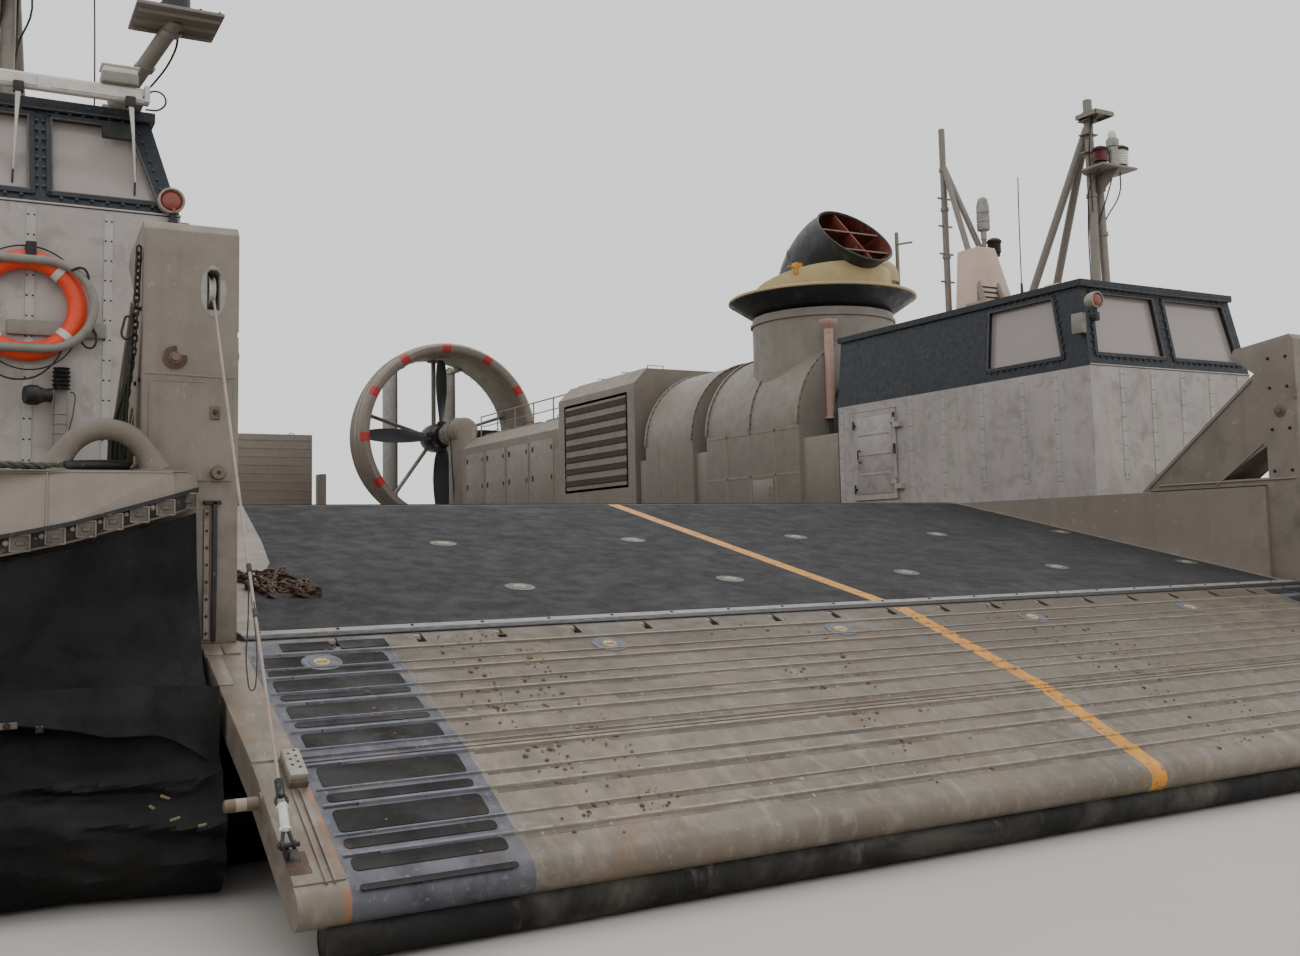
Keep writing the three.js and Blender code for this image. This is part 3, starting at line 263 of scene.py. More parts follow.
def rubber(name, shade=(30, 30, 31), dust=0.3, weave=0.0, creases=0.5):
    """Coated skirt cloth or rubber: near black, dusty in its folds, with a fine weave."""
    made = Finish(name, metal=0.0, Specular_IOR_Level=0.25)
    colour = made.mix(made.ramp(made.noise(1.6, 7, twist=1.0), 0.4, 0.75) * dust, srgb(*shade),
                      srgb(104, 97, 88))
    colour = made.mix(made.ramp(made.noise(8, 6, stretch=(1, 1, 0.3)), 0.58, 0.75) * dust * 0.8, colour,
                      srgb(124, 114, 100))
    made.give("Base Color", colour)
    made.give("Roughness", made.ramp(made.noise(4, 5), 0.35, 0.7, 0.5, 0.82))
    folds = made.noise(3.2, 5, stretch=(1, 1, 0.6), twist=1.4)
    after = made.bump(folds, 0.03, creases)
    if weave:
        threads = made.node("ShaderNodeTexWave", {"bands_direction": "Z"},
                            {"Vector": made.place, "Scale": weave})
        across = made.node("ShaderNodeTexWave", {"bands_direction": "Y"},
                           {"Vector": made.place, "Scale": weave})
        made.bump(threads + across + made.noise(90, 3), 0.0008, 0.4, after)
    return made.material


# Finishes

TAUPE = (128, 118, 107)
GREY = (165, 158, 153)
SLATE = (36, 41, 46)
TAN = (176, 158, 114)

hull_paint = weathered("hull_paint", TAUPE, metal=0.15, rust=0.25)
cabin_paint = weathered("cabin_paint", GREY, metal=0.2, mottle=0.6, streaks=0.5, fine=22.0)
# The posts' near-black grime, strongest below 1.3 m, makes them darker towards the bottom: dirt and a painted
# shade.
post_paint = weathered("post_paint", (128, 119, 108), metal=0.15, rust=0.25, streaks=0.3, dirt=0.9,
                       grime=(0.085, 0.074, 0.046), low=1.3)
module_paint = weathered("module_paint", (132, 124, 114), metal=0.15, streaks=0.4)


def ramp_finish():
    """Worn beige ramp paint with blue-grey wheel bands and a yellow centre stripe."""
    made = Finish("ramp_paint", metal=0.25)
    side, out = abs(made.x), -1.0 * made.y + BOW
    ragged = (made.noise(26, 6) - 0.5) * 0.012
    colour = made.mix(made.ramp(made.noise(0.9, 7), 0.35, 0.7), srgb(115, 106, 94), srgb(96, 89, 79))
    worn = made.ramp(made.noise(7, 8, stretch=(1.6, 0.5, 1), twist=0.5), 0.47, 0.7)
    colour = made.mix(worn * 0.7, colour, srgb(138, 128, 114))
    colour = made.mix(made.ramp(made.noise(46, 5, stretch=(1, 0.22, 1)), 0.6, 0.72) * 0.5, colour,
                      srgb(155, 146, 134))
    wet = (made.ramp(out, 0.1, 1.6, 1.0, 0.1)
           * made.ramp(made.noise(1.8, 6, stretch=(0.6, 1.2, 1)), 0.25, 0.55))
    colour = made.mix(wet * (side < 3.52), colour, srgb(86, 76, 63))
    band = ((side + ragged) > 3.524) * (4.222 > side + ragged)
    blue = made.mix(made.ramp(made.noise(5.5, 8, twist=0.7), 0.42, 0.66), srgb(84, 85, 92), srgb(62, 64, 71))
    blue = made.mix(made.ramp(made.noise(30, 5, stretch=(1, 0.3, 1)), 0.57, 0.68) * 0.4, blue,
                    srgb(124, 123, 125))
    colour = made.mix(band * made.ramp(made.noise(24, 7, twist=1.0), 0.7, 0.62), colour, blue)
    stripe = (0.056 > abs(made.x + 0.092 + ragged)) * made.ramp(made.noise(21, 7), 0.64, 0.54)
    colour = made.mix(stripe, colour, made.mix(made.noise(8, 5), srgb(222, 152, 40), srgb(176, 122, 46)))
    stain = made.ramp(made.noise(2.7, 8, stretch=(1, 0.55, 1), twist=1.2), 0.53, 0.72)
    colour = made.mix(stain * 0.5, colour, srgb(120, 92, 58))
    edge = made.ramp(abs(side - 4.235), 0.0, 0.022, 1.0, 0.0) * made.ramp(made.noise(9, 6), 0.42, 0.6)
    colour = made.mix(edge * 0.8, colour, srgb(150, 94, 50))
    rust = made.ramp(made.noise(15, 9, at=(4, 4, 4)), 0.66, 0.73)
    colour = made.mix(rust * 0.7, colour, srgb(112, 66, 38))
    tracks = made.ramp(abs(abs(made.x + 0.2) - 2.75), 0.0, 0.75, 1.0, 0.0)
    dust = made.ramp(made.noise(6, 8, stretch=(1, 0.4, 1), at=(9, 2, 5)), 0.45, 0.7)
    colour = made.mix(tracks * dust * 0.45, colour, srgb(132, 112, 88))
    made.give("Base Color", colour)
    made.give("Roughness", made.ramp(made.noise(8, 6), 0.3, 0.7, 0.38, 0.62))
    made.bump(made.noise(95, 5) + made.noise(6, 5) * 1.5, 0.0016, 0.45)
    return made.material


ramp_paint = ramp_finish()
thruster_paint = weathered("thruster_paint", (74, 79, 85), metal=0.2, dirt=0.1)
tan_paint = weathered("tan_paint", TAN, dirt=0.15)
rudder_paint = weathered("rudder_paint", (120, 114, 105), dirt=0.1)
mast_paint = painted("mast_paint", (128, 121, 112), metal=0.2)
frame_paint = painted("frame_paint", SLATE, metal=0.2)
skirt_cloth = rubber("skirt_cloth", (8, 8, 8), dust=0.05, weave=160)
flap_cloth = rubber("flap_cloth", (13, 13, 13), dust=0.05, weave=160)
bumper_rubber = rubber("bumper_rubber", (26, 25, 24), dust=0.6)
dark_metal = painted("dark_metal", (52, 48, 46), metal=0.6)
blade_finish = painted("blade_finish", (36, 38, 41), wear=0.1)
ring_foam = painted("ring_foam", (236, 76, 38), rough=0.45)
off_white = painted("off_white", (205, 203, 194), rough=0.4)
seat_cloth = painted("seat_cloth", (48, 47, 48), rough=0.8)
deck_mat = weathered("deck_mat", (33, 33, 35), metal=0.0, rough=0.88, grime=(0.07, 0.065, 0.06), mottle=0.35,
                     dirt=0.4, streaks=0.0, low=2.2, fine=150)
deck_grip = weathered("deck_grip", (62, 61, 60), rough=0.85, grime=(0.14, 0.12, 0.10), mottle=0.7, dirt=0.6,
                      streaks=0.0, low=2.2, fine=60)
stripe_paint = painted("stripe_paint", (206, 142, 44), wear=0.5)
black_trim = painted("black_trim", (30, 29, 29), wear=0.3)
# clamp_shade coats the clamp covers' dished middles darker than their clamp_metal frames, a painted shade as
# well as wear; clamp_gap_shade is the dark backing between the covers, a painted shade.
clamp_shade = painted("clamp_shade", (98, 91, 82), metal=0.4, wear=0.5, fine=90)
clamp_gap_shade = painted("clamp_gap_shade", (44, 39, 34), rough=0.8, wear=0.3)
clamp_metal = painted("clamp_metal", (130, 121, 110), metal=0.45, wear=0.5, fine=90)
post_bright = painted("post_bright", (150, 146, 140), metal=0.3, wear=0.4, fine=140)
ring_paint = weathered("ring_paint", (112, 103, 93), metal=0.2, mottle=0.3, streaks=0.1, rust=0.15, fine=60)
net_cord = rubber("net_cord", (44, 46, 36), dust=0.5, weave=420)
red_lens = painted("red_lens", (96, 22, 24), rough=0.15, wear=0.05, Coat_Weight=0.6)
clear_lens = painted("clear_lens", (206, 206, 196), rough=0.1, wear=0.05, Coat_Weight=0.6)
amber_lens = painted("amber_lens", (128, 40, 22), rough=0.15, wear=0.05, Coat_Weight=0.6)
thruster_dark = weathered("thruster_dark", (47, 50, 54), metal=0.3, rough=0.45, mottle=0.3, dirt=0.1, fine=70)
duct_rust = weathered("duct_rust", (104, 46, 28), metal=0.2, rough=0.7, mottle=0.7, dirt=0.1, rust=0.6,
                      fine=60)
vane_grey = weathered("vane_grey", (120, 112, 104), metal=0.3, mottle=0.5, dirt=0.1, rust=0.4, fine=60)
soot = weathered("soot", (38, 35, 33), metal=0.1, rough=0.8, mottle=0.6, dirt=0.2, fine=40)
stripe_red = painted("stripe_red", (176, 52, 46), wear=0.2)
grey_rubber = rubber("grey_rubber", (66, 66, 66), dust=0.3, creases=0.1)
housing_pink = weathered("housing_pink", (196, 172, 156), dirt=0.1)
pink_primer = painted("pink_primer", (186, 152, 138), wear=0.2)
strip_metal = weathered("strip_metal", (172, 168, 163), metal=0.4, mottle=0.3, dirt=0.15, fine=80)
beige_seal = painted("beige_seal", (150, 139, 126), wear=0.2)
pane_seal = painted("pane_seal", (92, 87, 82), wear=0.3)
frame_bolt = painted("frame_bolt", (72, 76, 80), metal=0.5, wear=0.3)
guard_paint = painted("guard_paint", (134, 130, 121), wear=0.2)
console_grey = painted("console_grey", (92, 96, 98), wear=0.1)
screen_glass = painted("screen_glass", (22, 26, 30), rough=0.1, wear=0.0)
lock_paint = painted("lock_paint", (146, 140, 130), metal=0.3, wear=0.3, fine=120)
pin_steel = painted("pin_steel", (112, 98, 82), metal=0.4, wear=0.35)
rusty_steel = weathered("rusty_steel", (74, 54, 42), metal=0.3, rough=0.7, mottle=0.8, rust=0.5, fine=90)
grip_patch = rubber("grip_patch", (28, 27, 27), dust=0.25, weave=260, creases=0.12)
ring_plate = painted("ring_plate", (96, 98, 103), metal=0.35, wear=0.3)
cup_yellow = painted("cup_yellow", (176, 158, 112), metal=0.2, wear=0.35)
soil = weathered("soil", (98, 76, 52), metal=0.0, rough=0.95, mottle=0.9, streaks=0.0, fine=70)
# The glazing is coated an opaque pale grey-beige: a painted reflection of the pale sky in the panes.
glass = painted("glass", (156, 147, 142), rough=0.12, wear=0.05)
# Lighter coats for the rib crests, rubbed wear and a painted highlight, and a darker one for the strips
# beside the ribs, grime and a painted shade.
rib_crest_wear_and_highlight = painted("rib_crest_wear_and_highlight", (137, 129, 117), metal=0.4, wear=0.5, fine=90)
band_crest_wear_and_highlight = painted("band_crest_wear_and_highlight", (102, 103, 110), metal=0.4, wear=0.4, fine=90)
rib_grime_and_shade = weathered("rib_grime_and_shade", (84, 75, 64), metal=0.1, rough=0.6, mottle=0.9, dirt=0.6, streaks=0.0,
                      low=2.0, rust=0.35, fine=60)
cable_steel = painted("cable_steel", (158, 142, 134), metal=0.3, wear=0.2, fine=200)
dark_rope = painted("dark_rope", (70, 66, 60), metal=0.4, wear=0.4, fine=200)
khaki_strap = painted("khaki_strap", (128, 118, 84), wear=0.3)

CAD_FINISHES = {"hull": hull_paint, "skirt": skirt_cloth, "cabin": cabin_paint, "window_frame": frame_paint,
                "glazing": glass, "ramp": ramp_paint, "thruster": thruster_paint, "dark_metal": dark_metal,
                "blade": blade_finish, "rudder": rudder_paint, "mast": mast_paint, "wiper_beam": off_white,
                "life_ring": ring_foam, "seat": seat_cloth}
slot_of = {part["node"]: part["material_slot"] for part in frame["record"]["subparts"]}
for name, node in frame["nodes"].items():
    node.data.materials.clear()
    node.data.materials.append(CAD_FINISHES[slot_of[name]])


# Modelling tools

MERGE = 1e-5  # points nearer than this are one


def alone(obj=None):
    """Leaves one object selected, or none."""
    if bpy.context.mode != "OBJECT":
        bpy.ops.object.mode_set(mode="OBJECT")
    bpy.ops.object.select_all(action="DESELECT")
    if obj:
        obj.select_set(True)
        bpy.context.view_layer.objects.active = obj
    return obj


def fixed(obj, place=None):
    """Puts an object's place, and a further one, into its mesh."""
    obj.data.transform((place or Matrix()) @ obj.matrix_basis)
    obj.matrix_basis = Matrix()
    return obj


def moved(obj, x, y, z):
    return fixed(obj, Matrix.Translation((x, y, z)))


def stood(at, degrees, axis="Z"):
    """The matrix that turns a piece about an axis and stands it at a point."""
    return Matrix.Translation(at) @ Matrix.Rotation(math.radians(degrees), 4, axis)


def angles(step, count, start=0):
    """Evenly spaced angles in radians, from a step and a start in degrees."""
    return [math.radians(start + step * i) for i in range(count)]


def coated(obj, finish):
    """Gives one piece, or a list of pieces joined to one, a finish."""
    obj = joined(obj) if isinstance(obj, list) else obj
    obj.data.materials.clear()
    obj.data.materials.append(finish)
    return obj


def modified(obj, kind, **settings):
    """Gives an object a modifier and applies it."""
    alone(obj)
    bpy.ops.object.modifier_add(type=kind)
    step = obj.modifiers[-1]
    for key, value in settings.items():
        setattr(step, key, value)
    bpy.ops.object.modifier_apply(modifier=step.name)
    return obj


def reshaped(obj, place):
    """Moves each of a mesh's points to where place says."""
    for vertex in obj.data.vertices:
        vertex.co = place(vertex.co)
    obj.data.update()
    return obj


def eased(obj, width, steps=2, angle=30):
    """Rounds an object's hard edges."""
    return modified(obj, "BEVEL", width=width, segments=steps, limit_method="ANGLE",
                    angle_limit=math.radians(angle))


def joined(*parts):
    """Joins pieces, and lists of pieces, to one."""
    while any(isinstance(part, list) for part in parts):
        parts = [part for group in parts for part in (group if isinstance(group, list) else [group])]
    alone(parts[0])
    for part in parts:
        part.select_set(True)
    if len(parts) > 1:
        bpy.ops.object.join()
    return fixed(bpy.context.object)


def copied(obj, places):
    """One piece made of copies of obj, stood at places given as matrices or points."""
    copies = []
    for place in places:
        copies.append(linked(obj.name, obj.data.copy()))
        copies[-1].matrix_basis = place if isinstance(place, Matrix) else Matrix.Translation(place)
    bpy.data.objects.remove(obj)
    return joined(copies)


def cut(obj, *tools):
    """Cuts tools out of an object."""
    for tool in tools:
        modified(obj, "BOOLEAN", operation="DIFFERENCE", solver="EXACT", object=tool)
        bpy.data.objects.remove(tool)
    return obj


def block(low, high, soft=0.0, steps=2):
    """A box between two corners with its edges eased."""
    alone()
    middle = [(a + b) / 2 for a, b in zip(low, high)]
    size = [abs(b - a) for a, b in zip(low, high)]
    bpy.ops.mesh.primitive_cube_add(size=1, location=middle)
    bpy.context.object.scale = size
    obj = fixed(bpy.context.object)
    return eased(obj, soft, steps) if soft else obj


def edited(obj, *steps):
    """Runs mesh operators, given with their settings, on the whole of a mesh and turns its faces outwards."""
    alone(obj)
    bpy.ops.object.mode_set(mode="EDIT")
    for operator, settings in (*steps, (bpy.ops.mesh.normals_make_consistent, {"inside": False})):
        bpy.ops.mesh.select_all(action="SELECT")
        operator(**settings)
    bpy.ops.object.mode_set(mode="OBJECT")
    return obj


def outline(points, filled=True):
    """A line drawn through points by extruding one corner, filled to a face."""
    alone()
    bpy.ops.mesh.primitive_plane_add(size=0.01, location=points[0])
    obj = fixed(bpy.context.object)
    bpy.ops.object.mode_set(mode="EDIT")
    bpy.ops.mesh.merge(type="CENTER")
    for here, there in zip(points, points[1:]):
        step = Vector(there) - Vector(here)
        bpy.ops.mesh.extrude_region_move(TRANSFORM_OT_translate={"value": step})
    bpy.ops.mesh.select_all(action="SELECT")
    if filled:
        bpy.ops.mesh.edge_face_add()
    bpy.ops.object.mode_set(mode="OBJECT")
    return obj


def prism(points, run, soft=0.0, steps=2):
    """An outline filled and drawn out along a run."""
    obj = edited(outline(points), (bpy.ops.mesh.extrude_region_move,
                                   {"TRANSFORM_OT_translate": {"value": run}}))
    return eased(obj, soft, steps) if soft else obj


def across(profile, low, high, soft=0.0):
    """A prism whose (y, z) outline runs from one x to another."""
    return prism([(low, y, z) for y, z in profile], (high - low, 0, 0), soft)


def along(profile, low, high, soft=0.0):
    """A prism whose (x, z) outline runs from one y to another."""
    return prism([(x, low, z) for x, z in profile], (0, high - low, 0), soft)


def upright(profile, low, high, soft=0.0):
    """A prism whose (x, y) outline runs from one height to another."""
    return prism([(x, y, low) for x, y in profile], (0, 0, high - low), soft)


def aimed(at, towards):
    """The matrix that stands a piece modelled up +Z at a point, along another direction."""
    return Matrix.Translation(at) @ Vector(towards).to_track_quat("Z", "Y").to_matrix().to_4x4()


def lathed(profile, at=(0, 0, 0), towards=(0, 0, 1), steps=24):
    """A profile of (radius, height) spun round its own axis."""
    obj = outline([(radius, 0, height) for radius, height in profile], filled=False)
    spin = {"steps": steps, "angle": 2 * math.pi, "center": (0, 0, 0), "axis": (0, 0, 1)}
    edited(obj, (bpy.ops.mesh.spin, spin), (bpy.ops.mesh.remove_doubles, {"threshold": MERGE}))
    return fixed(obj, aimed(at, towards))


def disc(radius, height, at=(0, 0, 0), towards=(0, 0, 1), steps=24):
    """A plain round disc or stub."""
    return lathed([(0, 0), (radius, 0), (radius, height), (0, height)], at, towards, steps)


def rod(start, end, radius, steps=12):
    """A round bar with a small ease at both ends."""
    start, end = Vector(start), Vector(end)
    tall, ease = (end - start).length, radius * 0.15
    profile = [(0, 0), (radius - ease, 0), (radius, ease), (radius, tall - ease), (radius - ease, tall),
               (0, tall)]
    return lathed(profile, start, end - start, steps)


def line(points, radius, smooth=True, sides=2, fine=5, ring=False):
    """A round tube or cord through points."""
    alone()
    curve = bpy.data.curves.new("line", "CURVE")
    curve.dimensions = "3D"
    curve.bevel_depth, curve.bevel_resolution, curve.resolution_u = radius, sides, fine
    curve.use_fill_caps = not ring
    spline = curve.splines.new("BEZIER" if smooth else "POLY")
    knots = spline.bezier_points if smooth else spline.points
    knots.add(len(points) - 1)
    for knot, point in zip(knots, points):
        if smooth:
            knot.co = point
            knot.handle_left_type = knot.handle_right_type = "AUTO"
        else:
            knot.co = (*point, 1)
    spline.use_cyclic_u = ring
    alone(linked("line", curve))
    bpy.ops.object.convert(target="MESH")
    return bpy.context.object


def bolt_head(radius=0.011, height=0.009):
    """A hexagon head on its washer, standing up from the origin."""
    alone()
    bpy.ops.mesh.primitive_cylinder_add(vertices=6, radius=radius, depth=height,
                                        location=(0, 0, height * 0.7))
    head = eased(fixed(bpy.context.object), radius * 0.12, 1)
    washer = disc(radius * 1.35, height * 0.2, steps=10)
    return joined(head, washer)


def dome_rivet(radius=0.007):
    return lathed([(radius, 0), (radius * 0.8, radius * 0.35), (radius * 0.35, radius * 0.55),
                   (0, radius * 0.6)], steps=7)


def spaced_values(low, high, count):
    return [low + (high - low) * i / (count - 1) for i in range(count)]


def spaced(start, end, count):
    """Evenly spaced points from one to another, both included."""
    start, end = Vector(start), Vector(end)
    return [start.lerp(end, i / max(1, count - 1)) for i in range(count)]


def fastened(points, towards, finish, maker=bolt_head, **sizes):
    """A row of fasteners standing on points."""
    return coated(copied(maker(**sizes), [aimed(point, towards) for point in points]), finish)


def mirrored(obj):
    """A starboard copy of a piece modelled to port."""
    other = linked(obj.name, obj.data.copy())
    other.data.transform(Matrix.Scale(-1, 4, (1, 0, 0)))
    other.data.flip_normals()
    return other


def settle(obj, name, body="hull", nodes=(), smooth=32):
    """Finishes a piece: moves it to the craft's frame, names it and hangs it on its body."""
    fixed(obj, Matrix.Translation((0, BOW, 0)))
    alone(obj)
    bpy.ops.object.shade_smooth_by_angle(angle=math.radians(smooth))
    obj.name = obj.data.name = name
    if nodes:
        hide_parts(*nodes)
    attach(obj, body)
    return obj


def settle_pair(obj, name, body="hull", nodes=(), smooth=32):
    """Finishes a piece modelled to port, and its mirror to starboard; {} stands for the side."""
    pieces = {"starboard": mirrored(obj), "port": obj}
    for side, piece in pieces.items():
        settle(piece, f"{side}_{name}", body.format(side), [node.format(side) for node in nodes],
               smooth)
    return pieces


def grid(columns, rows, place):
    """A sheet whose points stand where place(u, v) says, u and v running from 0 to 1."""
    alone()
    bpy.ops.mesh.primitive_grid_add(x_subdivisions=columns, y_subdivisions=rows, size=1)
    return reshaped(bpy.context.object, lambda co: place(co.x + 0.5, co.y + 0.5))


def closed_grid(columns, rows, place):
    """A sheet that u takes once round, with its seam merged."""
    obj = grid(columns, rows, lambda u, v: place(u if u < 0.9999 else 0.0, v))
    return edited(obj, (bpy.ops.mesh.remove_doubles, {"threshold": MERGE}))


def cloth(columns, rows, place, thick=0.006):
    """A sheet with a cloth's thickness; also its cut area."""
    obj = grid(columns, rows, place)
    area = sum(face.area for face in obj.data.polygons)
    modified(obj, "SOLIDIFY", thickness=thick, offset=0)
    return obj, area


def lengths_of(points):
    """The lengths of a line's straight runs, by its points' first two numbers."""
    return [math.dist(a[:2], b[:2]) for a, b in zip(points, points[1:])]


def run_along(points, share):
    """The place at a share of a line's length, by straight runs between its points."""
    lengths = lengths_of(points)
    left = share * sum(lengths)
    for here, there, length in zip(points, points[1:], lengths):
        if left <= length or there is points[-1]:
            part = left / length if length else 0
            return [a + (b - a) * part for a, b in zip(here, there)]
        left -= length


def folds(point, seed=0.0, fine=1.0):
    """A smooth uneven value from -1 to 1 over space."""
    return noise.noise(Vector(point) * fine + Vector((seed, seed * 0.7, -seed)))


# Bow ramp

RAMP_PIN = Vector((0, -0.04, 0.98))
RAMP_SLOPE = math.radians(18.5)
RAMP_BEND = math.radians(6.1)  # more slope beyond the crease
RAMP_CREASE = 1.253
RAMP_LENGTH = 2.123
RAMP_HALF = 4.41
TREAD = 0.03  # height of the tread over the hinge pin
RIB_END = 4.07  # the ribs stop short of the ramp's edges
WIDE_RIBS = (0.164, 0.439, 0.719, 0.996, 1.290, 1.571, 1.879)
THIN_RIBS = (0.343, 0.611, 0.891, 1.168, 1.466, 1.763)
LUGS = [(i - 8.5) * 0.4444 for i in range(18)]


def on_ramp(x, out, up):
    """A place on the lowered ramp, from its distance out from the hinge pin and its height over the pin."""
    y, z = -out, up
    if out > RAMP_CREASE:
        past, above = out - RAMP_CREASE, up - TREAD
        y = -RAMP_CREASE - past * math.cos(RAMP_BEND) - above * math.sin(RAMP_BEND)
        z = TREAD - past * math.sin(RAMP_BEND) + above * math.cos(RAMP_BEND)
    turn = Matrix.Rotation(RAMP_SLOPE, 3, "X")
    return RAMP_PIN + turn @ Vector((x, y, z))


def lowered(obj):
    """Lays a piece that is modelled flat, with y = -out, on the lowered ramp."""
    return reshaped(obj, lambda co: on_ramp(co.x, -co.y, co.z))


def rounded_patch(width, depth, height, corner):
    """A thin plate with round corners, centred on the origin."""
    alone()
    bpy.ops.mesh.primitive_plane_add(size=1)
    bpy.context.object.scale = (width, depth, 1)
    obj = fixed(bpy.context.object)
    bpy.ops.object.mode_set(mode="EDIT")
    bpy.ops.mesh.select_all(action="SELECT")
    bpy.ops.mesh.bevel(offset=corner, segments=4, affect="VERTICES")
    bpy.ops.mesh.select_all(action="SELECT")
    bpy.ops.mesh.extrude_region_move(TRANSFORM_OT_translate={"value": (0, 0, height)})
    bpy.ops.mesh.inset(thickness=0.0015, depth=-0.0008)
    bpy.ops.mesh.select_all(action="SELECT")
    bpy.ops.mesh.normals_make_consistent(inside=False)
    bpy.ops.object.mode_set(mode="OBJECT")
    return obj


def ramp_profile(ribbed):
    """The ramp's section as (y, z), y = -out: round heel, ribbed tread, round nose and flat underside."""
    thick, nose = 0.150, 0.075
    heel = [(TREAD * math.sin(a), TREAD * math.cos(a)) for a in angles(-30, 7, 180)]
    tread = []
    if ribbed:
        for start in WIDE_RIBS:
            tread += [(start, 0), (start + 0.006, 0.008), (start + 0.024, 0.008), (start + 0.030, 0)]
        for start in THIN_RIBS:
            tread += [(start, 0), (start + 0.004, 0.006), (start + 0.014, 0.006), (start + 0.018, 0)]
    for start in (RAMP_CREASE - 0.016, RAMP_CREASE + 0.022):
        tread += [(start - 0.004, 0), (start - 0.002, 0.005), (start + 0.006, 0.005), (start + 0.008, 0)]
    tread += [(RAMP_CREASE - 0.004, 0), (RAMP_CREASE, -0.006), (RAMP_CREASE + 0.004, 0)]
    tread = [(-out, TREAD + up) for out, up in sorted(tread)]
    toe = RAMP_LENGTH - nose
    front = [(-toe - nose * math.sin(a), TREAD - nose + nose * math.cos(a))
             for a in angles(22.5, 9)]
    under = [(-RAMP_CREASE, TREAD - thick), (-0.12, TREAD - thick)]
    return heel + tread + front + under


def ramp_panels():
    """The ribbed middle and the two plain margins, notched for the hinge lugs."""
    middle = across(ramp_profile(True), -RIB_END, RIB_END)
    margins = [across(ramp_profile(False), *sorted((side * RIB_END, side * RAMP_HALF))) for _, side in SIDES]
    cut(middle, copied(block((-0.024, -0.112, -0.2), (0.024, 0.05, 0.2)), [(x, 0, 0) for x in LUGS]))
    return coated([middle, margins], ramp_paint)


def rib_highlights_and_grime():
    """Lighter crests on the ribs, rubbed wear and a painted highlight, and dark strips against their outer
    sides, grime and a painted shade.
    """
    draw = random.Random(8)
    crests, band, grime = [], [], []
    for start, width, height in ([(s, 0.030, 0.008) for s in WIDE_RIBS]
                                 + [(s, 0.018, 0.006) for s in THIN_RIBS]):
        low, high = start + width * 0.25, start + width * 0.72
        profile = [(-high, TREAD + height - 0.001), (-low, TREAD + height - 0.001),
                   (-low, TREAD + height + 0.0007), (-high, TREAD + height + 0.0007)]
        # Lighter strips along the rib crests: rubbed wear and a painted highlight.
        crests += [across(profile, -3.520, -0.150), across(profile, -0.034, 3.520)]
        band += [across(profile, *sorted((side * 3.524, side * 4.205))) for _, side in SIDES]
        # Darker strips of random length against each rib's outer side: grime and a painted shade.
        reach = draw.uniform(0.012, 0.040)
        near = start + width + 0.0005
        profile = [(-near - reach, TREAD - 0.001), (-near, TREAD - 0.001), (-near, TREAD + 0.0006),
                   (-near - reach, TREAD + 0.0006)]
        ends = sorted(draw.uniform(-3.5, 3.5) for _ in range(4))
        for x0, x1 in ((-3.5, ends[0]), (ends[0] + 0.2, ends[2]), (ends[2] + 0.05, 3.5)):
            for a, b in ((x0, min(x1, -0.16)), (max(x0, -0.03), x1)):
                if b - a > 0.1:
                    grime.append(across(profile, a, b))
    return lowered(joined(coated(crests, rib_crest_wear_and_highlight), coated(band, band_crest_wear_and_highlight),
                          coated(grime, rib_grime_and_shade)))


def margin_fittings(side):
    """What stands on one margin: flanges, ridges, heel blocks, lock block, latch pin and the cable's lug."""
    def spot(inner, outer, near, far, low, high, soft=0.003):
        x0, x1 = sorted((side * inner, side * outer))
        return block((x0, -far, low), (x1, -near, high), soft)

    top = TREAD
    plain = [
        spot(4.225, 4.409, 0.16, RAMP_CREASE - 0.01, top - 0.01, top + 0.006, 0.002),
        spot(4.225, 4.409, RAMP_CREASE + 0.01, RAMP_LENGTH - 0.1, top - 0.01, top + 0.006, 0.002),
        spot(4.262, 4.272, 1.47, RAMP_LENGTH - 0.09, top, top + 0.016, 0.001),
        spot(4.292, 4.302, 1.47, RAMP_LENGTH - 0.09, top, top + 0.014, 0.001),
        spot(4.245, 4.318, 0.032, 0.135, top - 0.02, top + 0.008, 0.003),
        spot(4.324, 4.408, 0.040, 0.135, top - 0.02, top + 0.004, 0.002),
        spot(4.340, 4.408, 0.16, 0.50, top, top + 0.012, 0.004),
    ]
    plain = coated(plain, ramp_paint)
    lock = coated(spot(4.231, 4.304, 1.257, 1.445, top + 0.03, top + 0.062, 0.008), lock_paint)
    foot = coated(spot(4.229, 4.306, 1.262, 1.452, top, top + 0.034, 0.004), pin_steel)
    pits = copied(disc(0.007, 0.002, steps=8),
                  [(side * (4.255 + 0.026 * (i % 2)), -1.275 - 0.02 * i, top + 0.0605) for i in range(7)])
    pin_at = Vector((side * 4.405, -1.462, top - 0.035))
    parts = [
        ([(0, 0), (0.026, 0), (0.026, 0.060), (0, 0.060)], pin_steel),
        ([(0, 0.060), (0.024, 0.060), (0.025, 0.100), (0, 0.100)], beige_seal),
        ([(0, 0.100), (0.025, 0.100), (0.025, 0.132), (0.021, 0.142), (0, 0.142)], pin_steel),
    ]
    pin = [coated(lathed(profile, pin_at, (side, 0, 0), 20), finish) for profile, finish in parts]
    pin.append(coated(disc(0.04, 0.012, pin_at, (side, 0, 0), 20), ramp_paint))
    lug = joined(spot(4.394, 4.406, 1.835, 1.885, top, top + 0.045, 0.004),
                 spot(4.352, 4.409, 1.82, 1.90, top, top + 0.008, 0.003))
    stain = spot(4.33, 4.409, 1.84, 1.97, top, top + 0.0075, 0.003)
    rusty = joined(coated(lug, dark_metal), coated(stain, rusty_steel))
    return lowered(joined(plain, lock, foot, coated(pits, dark_metal), pin, rusty))


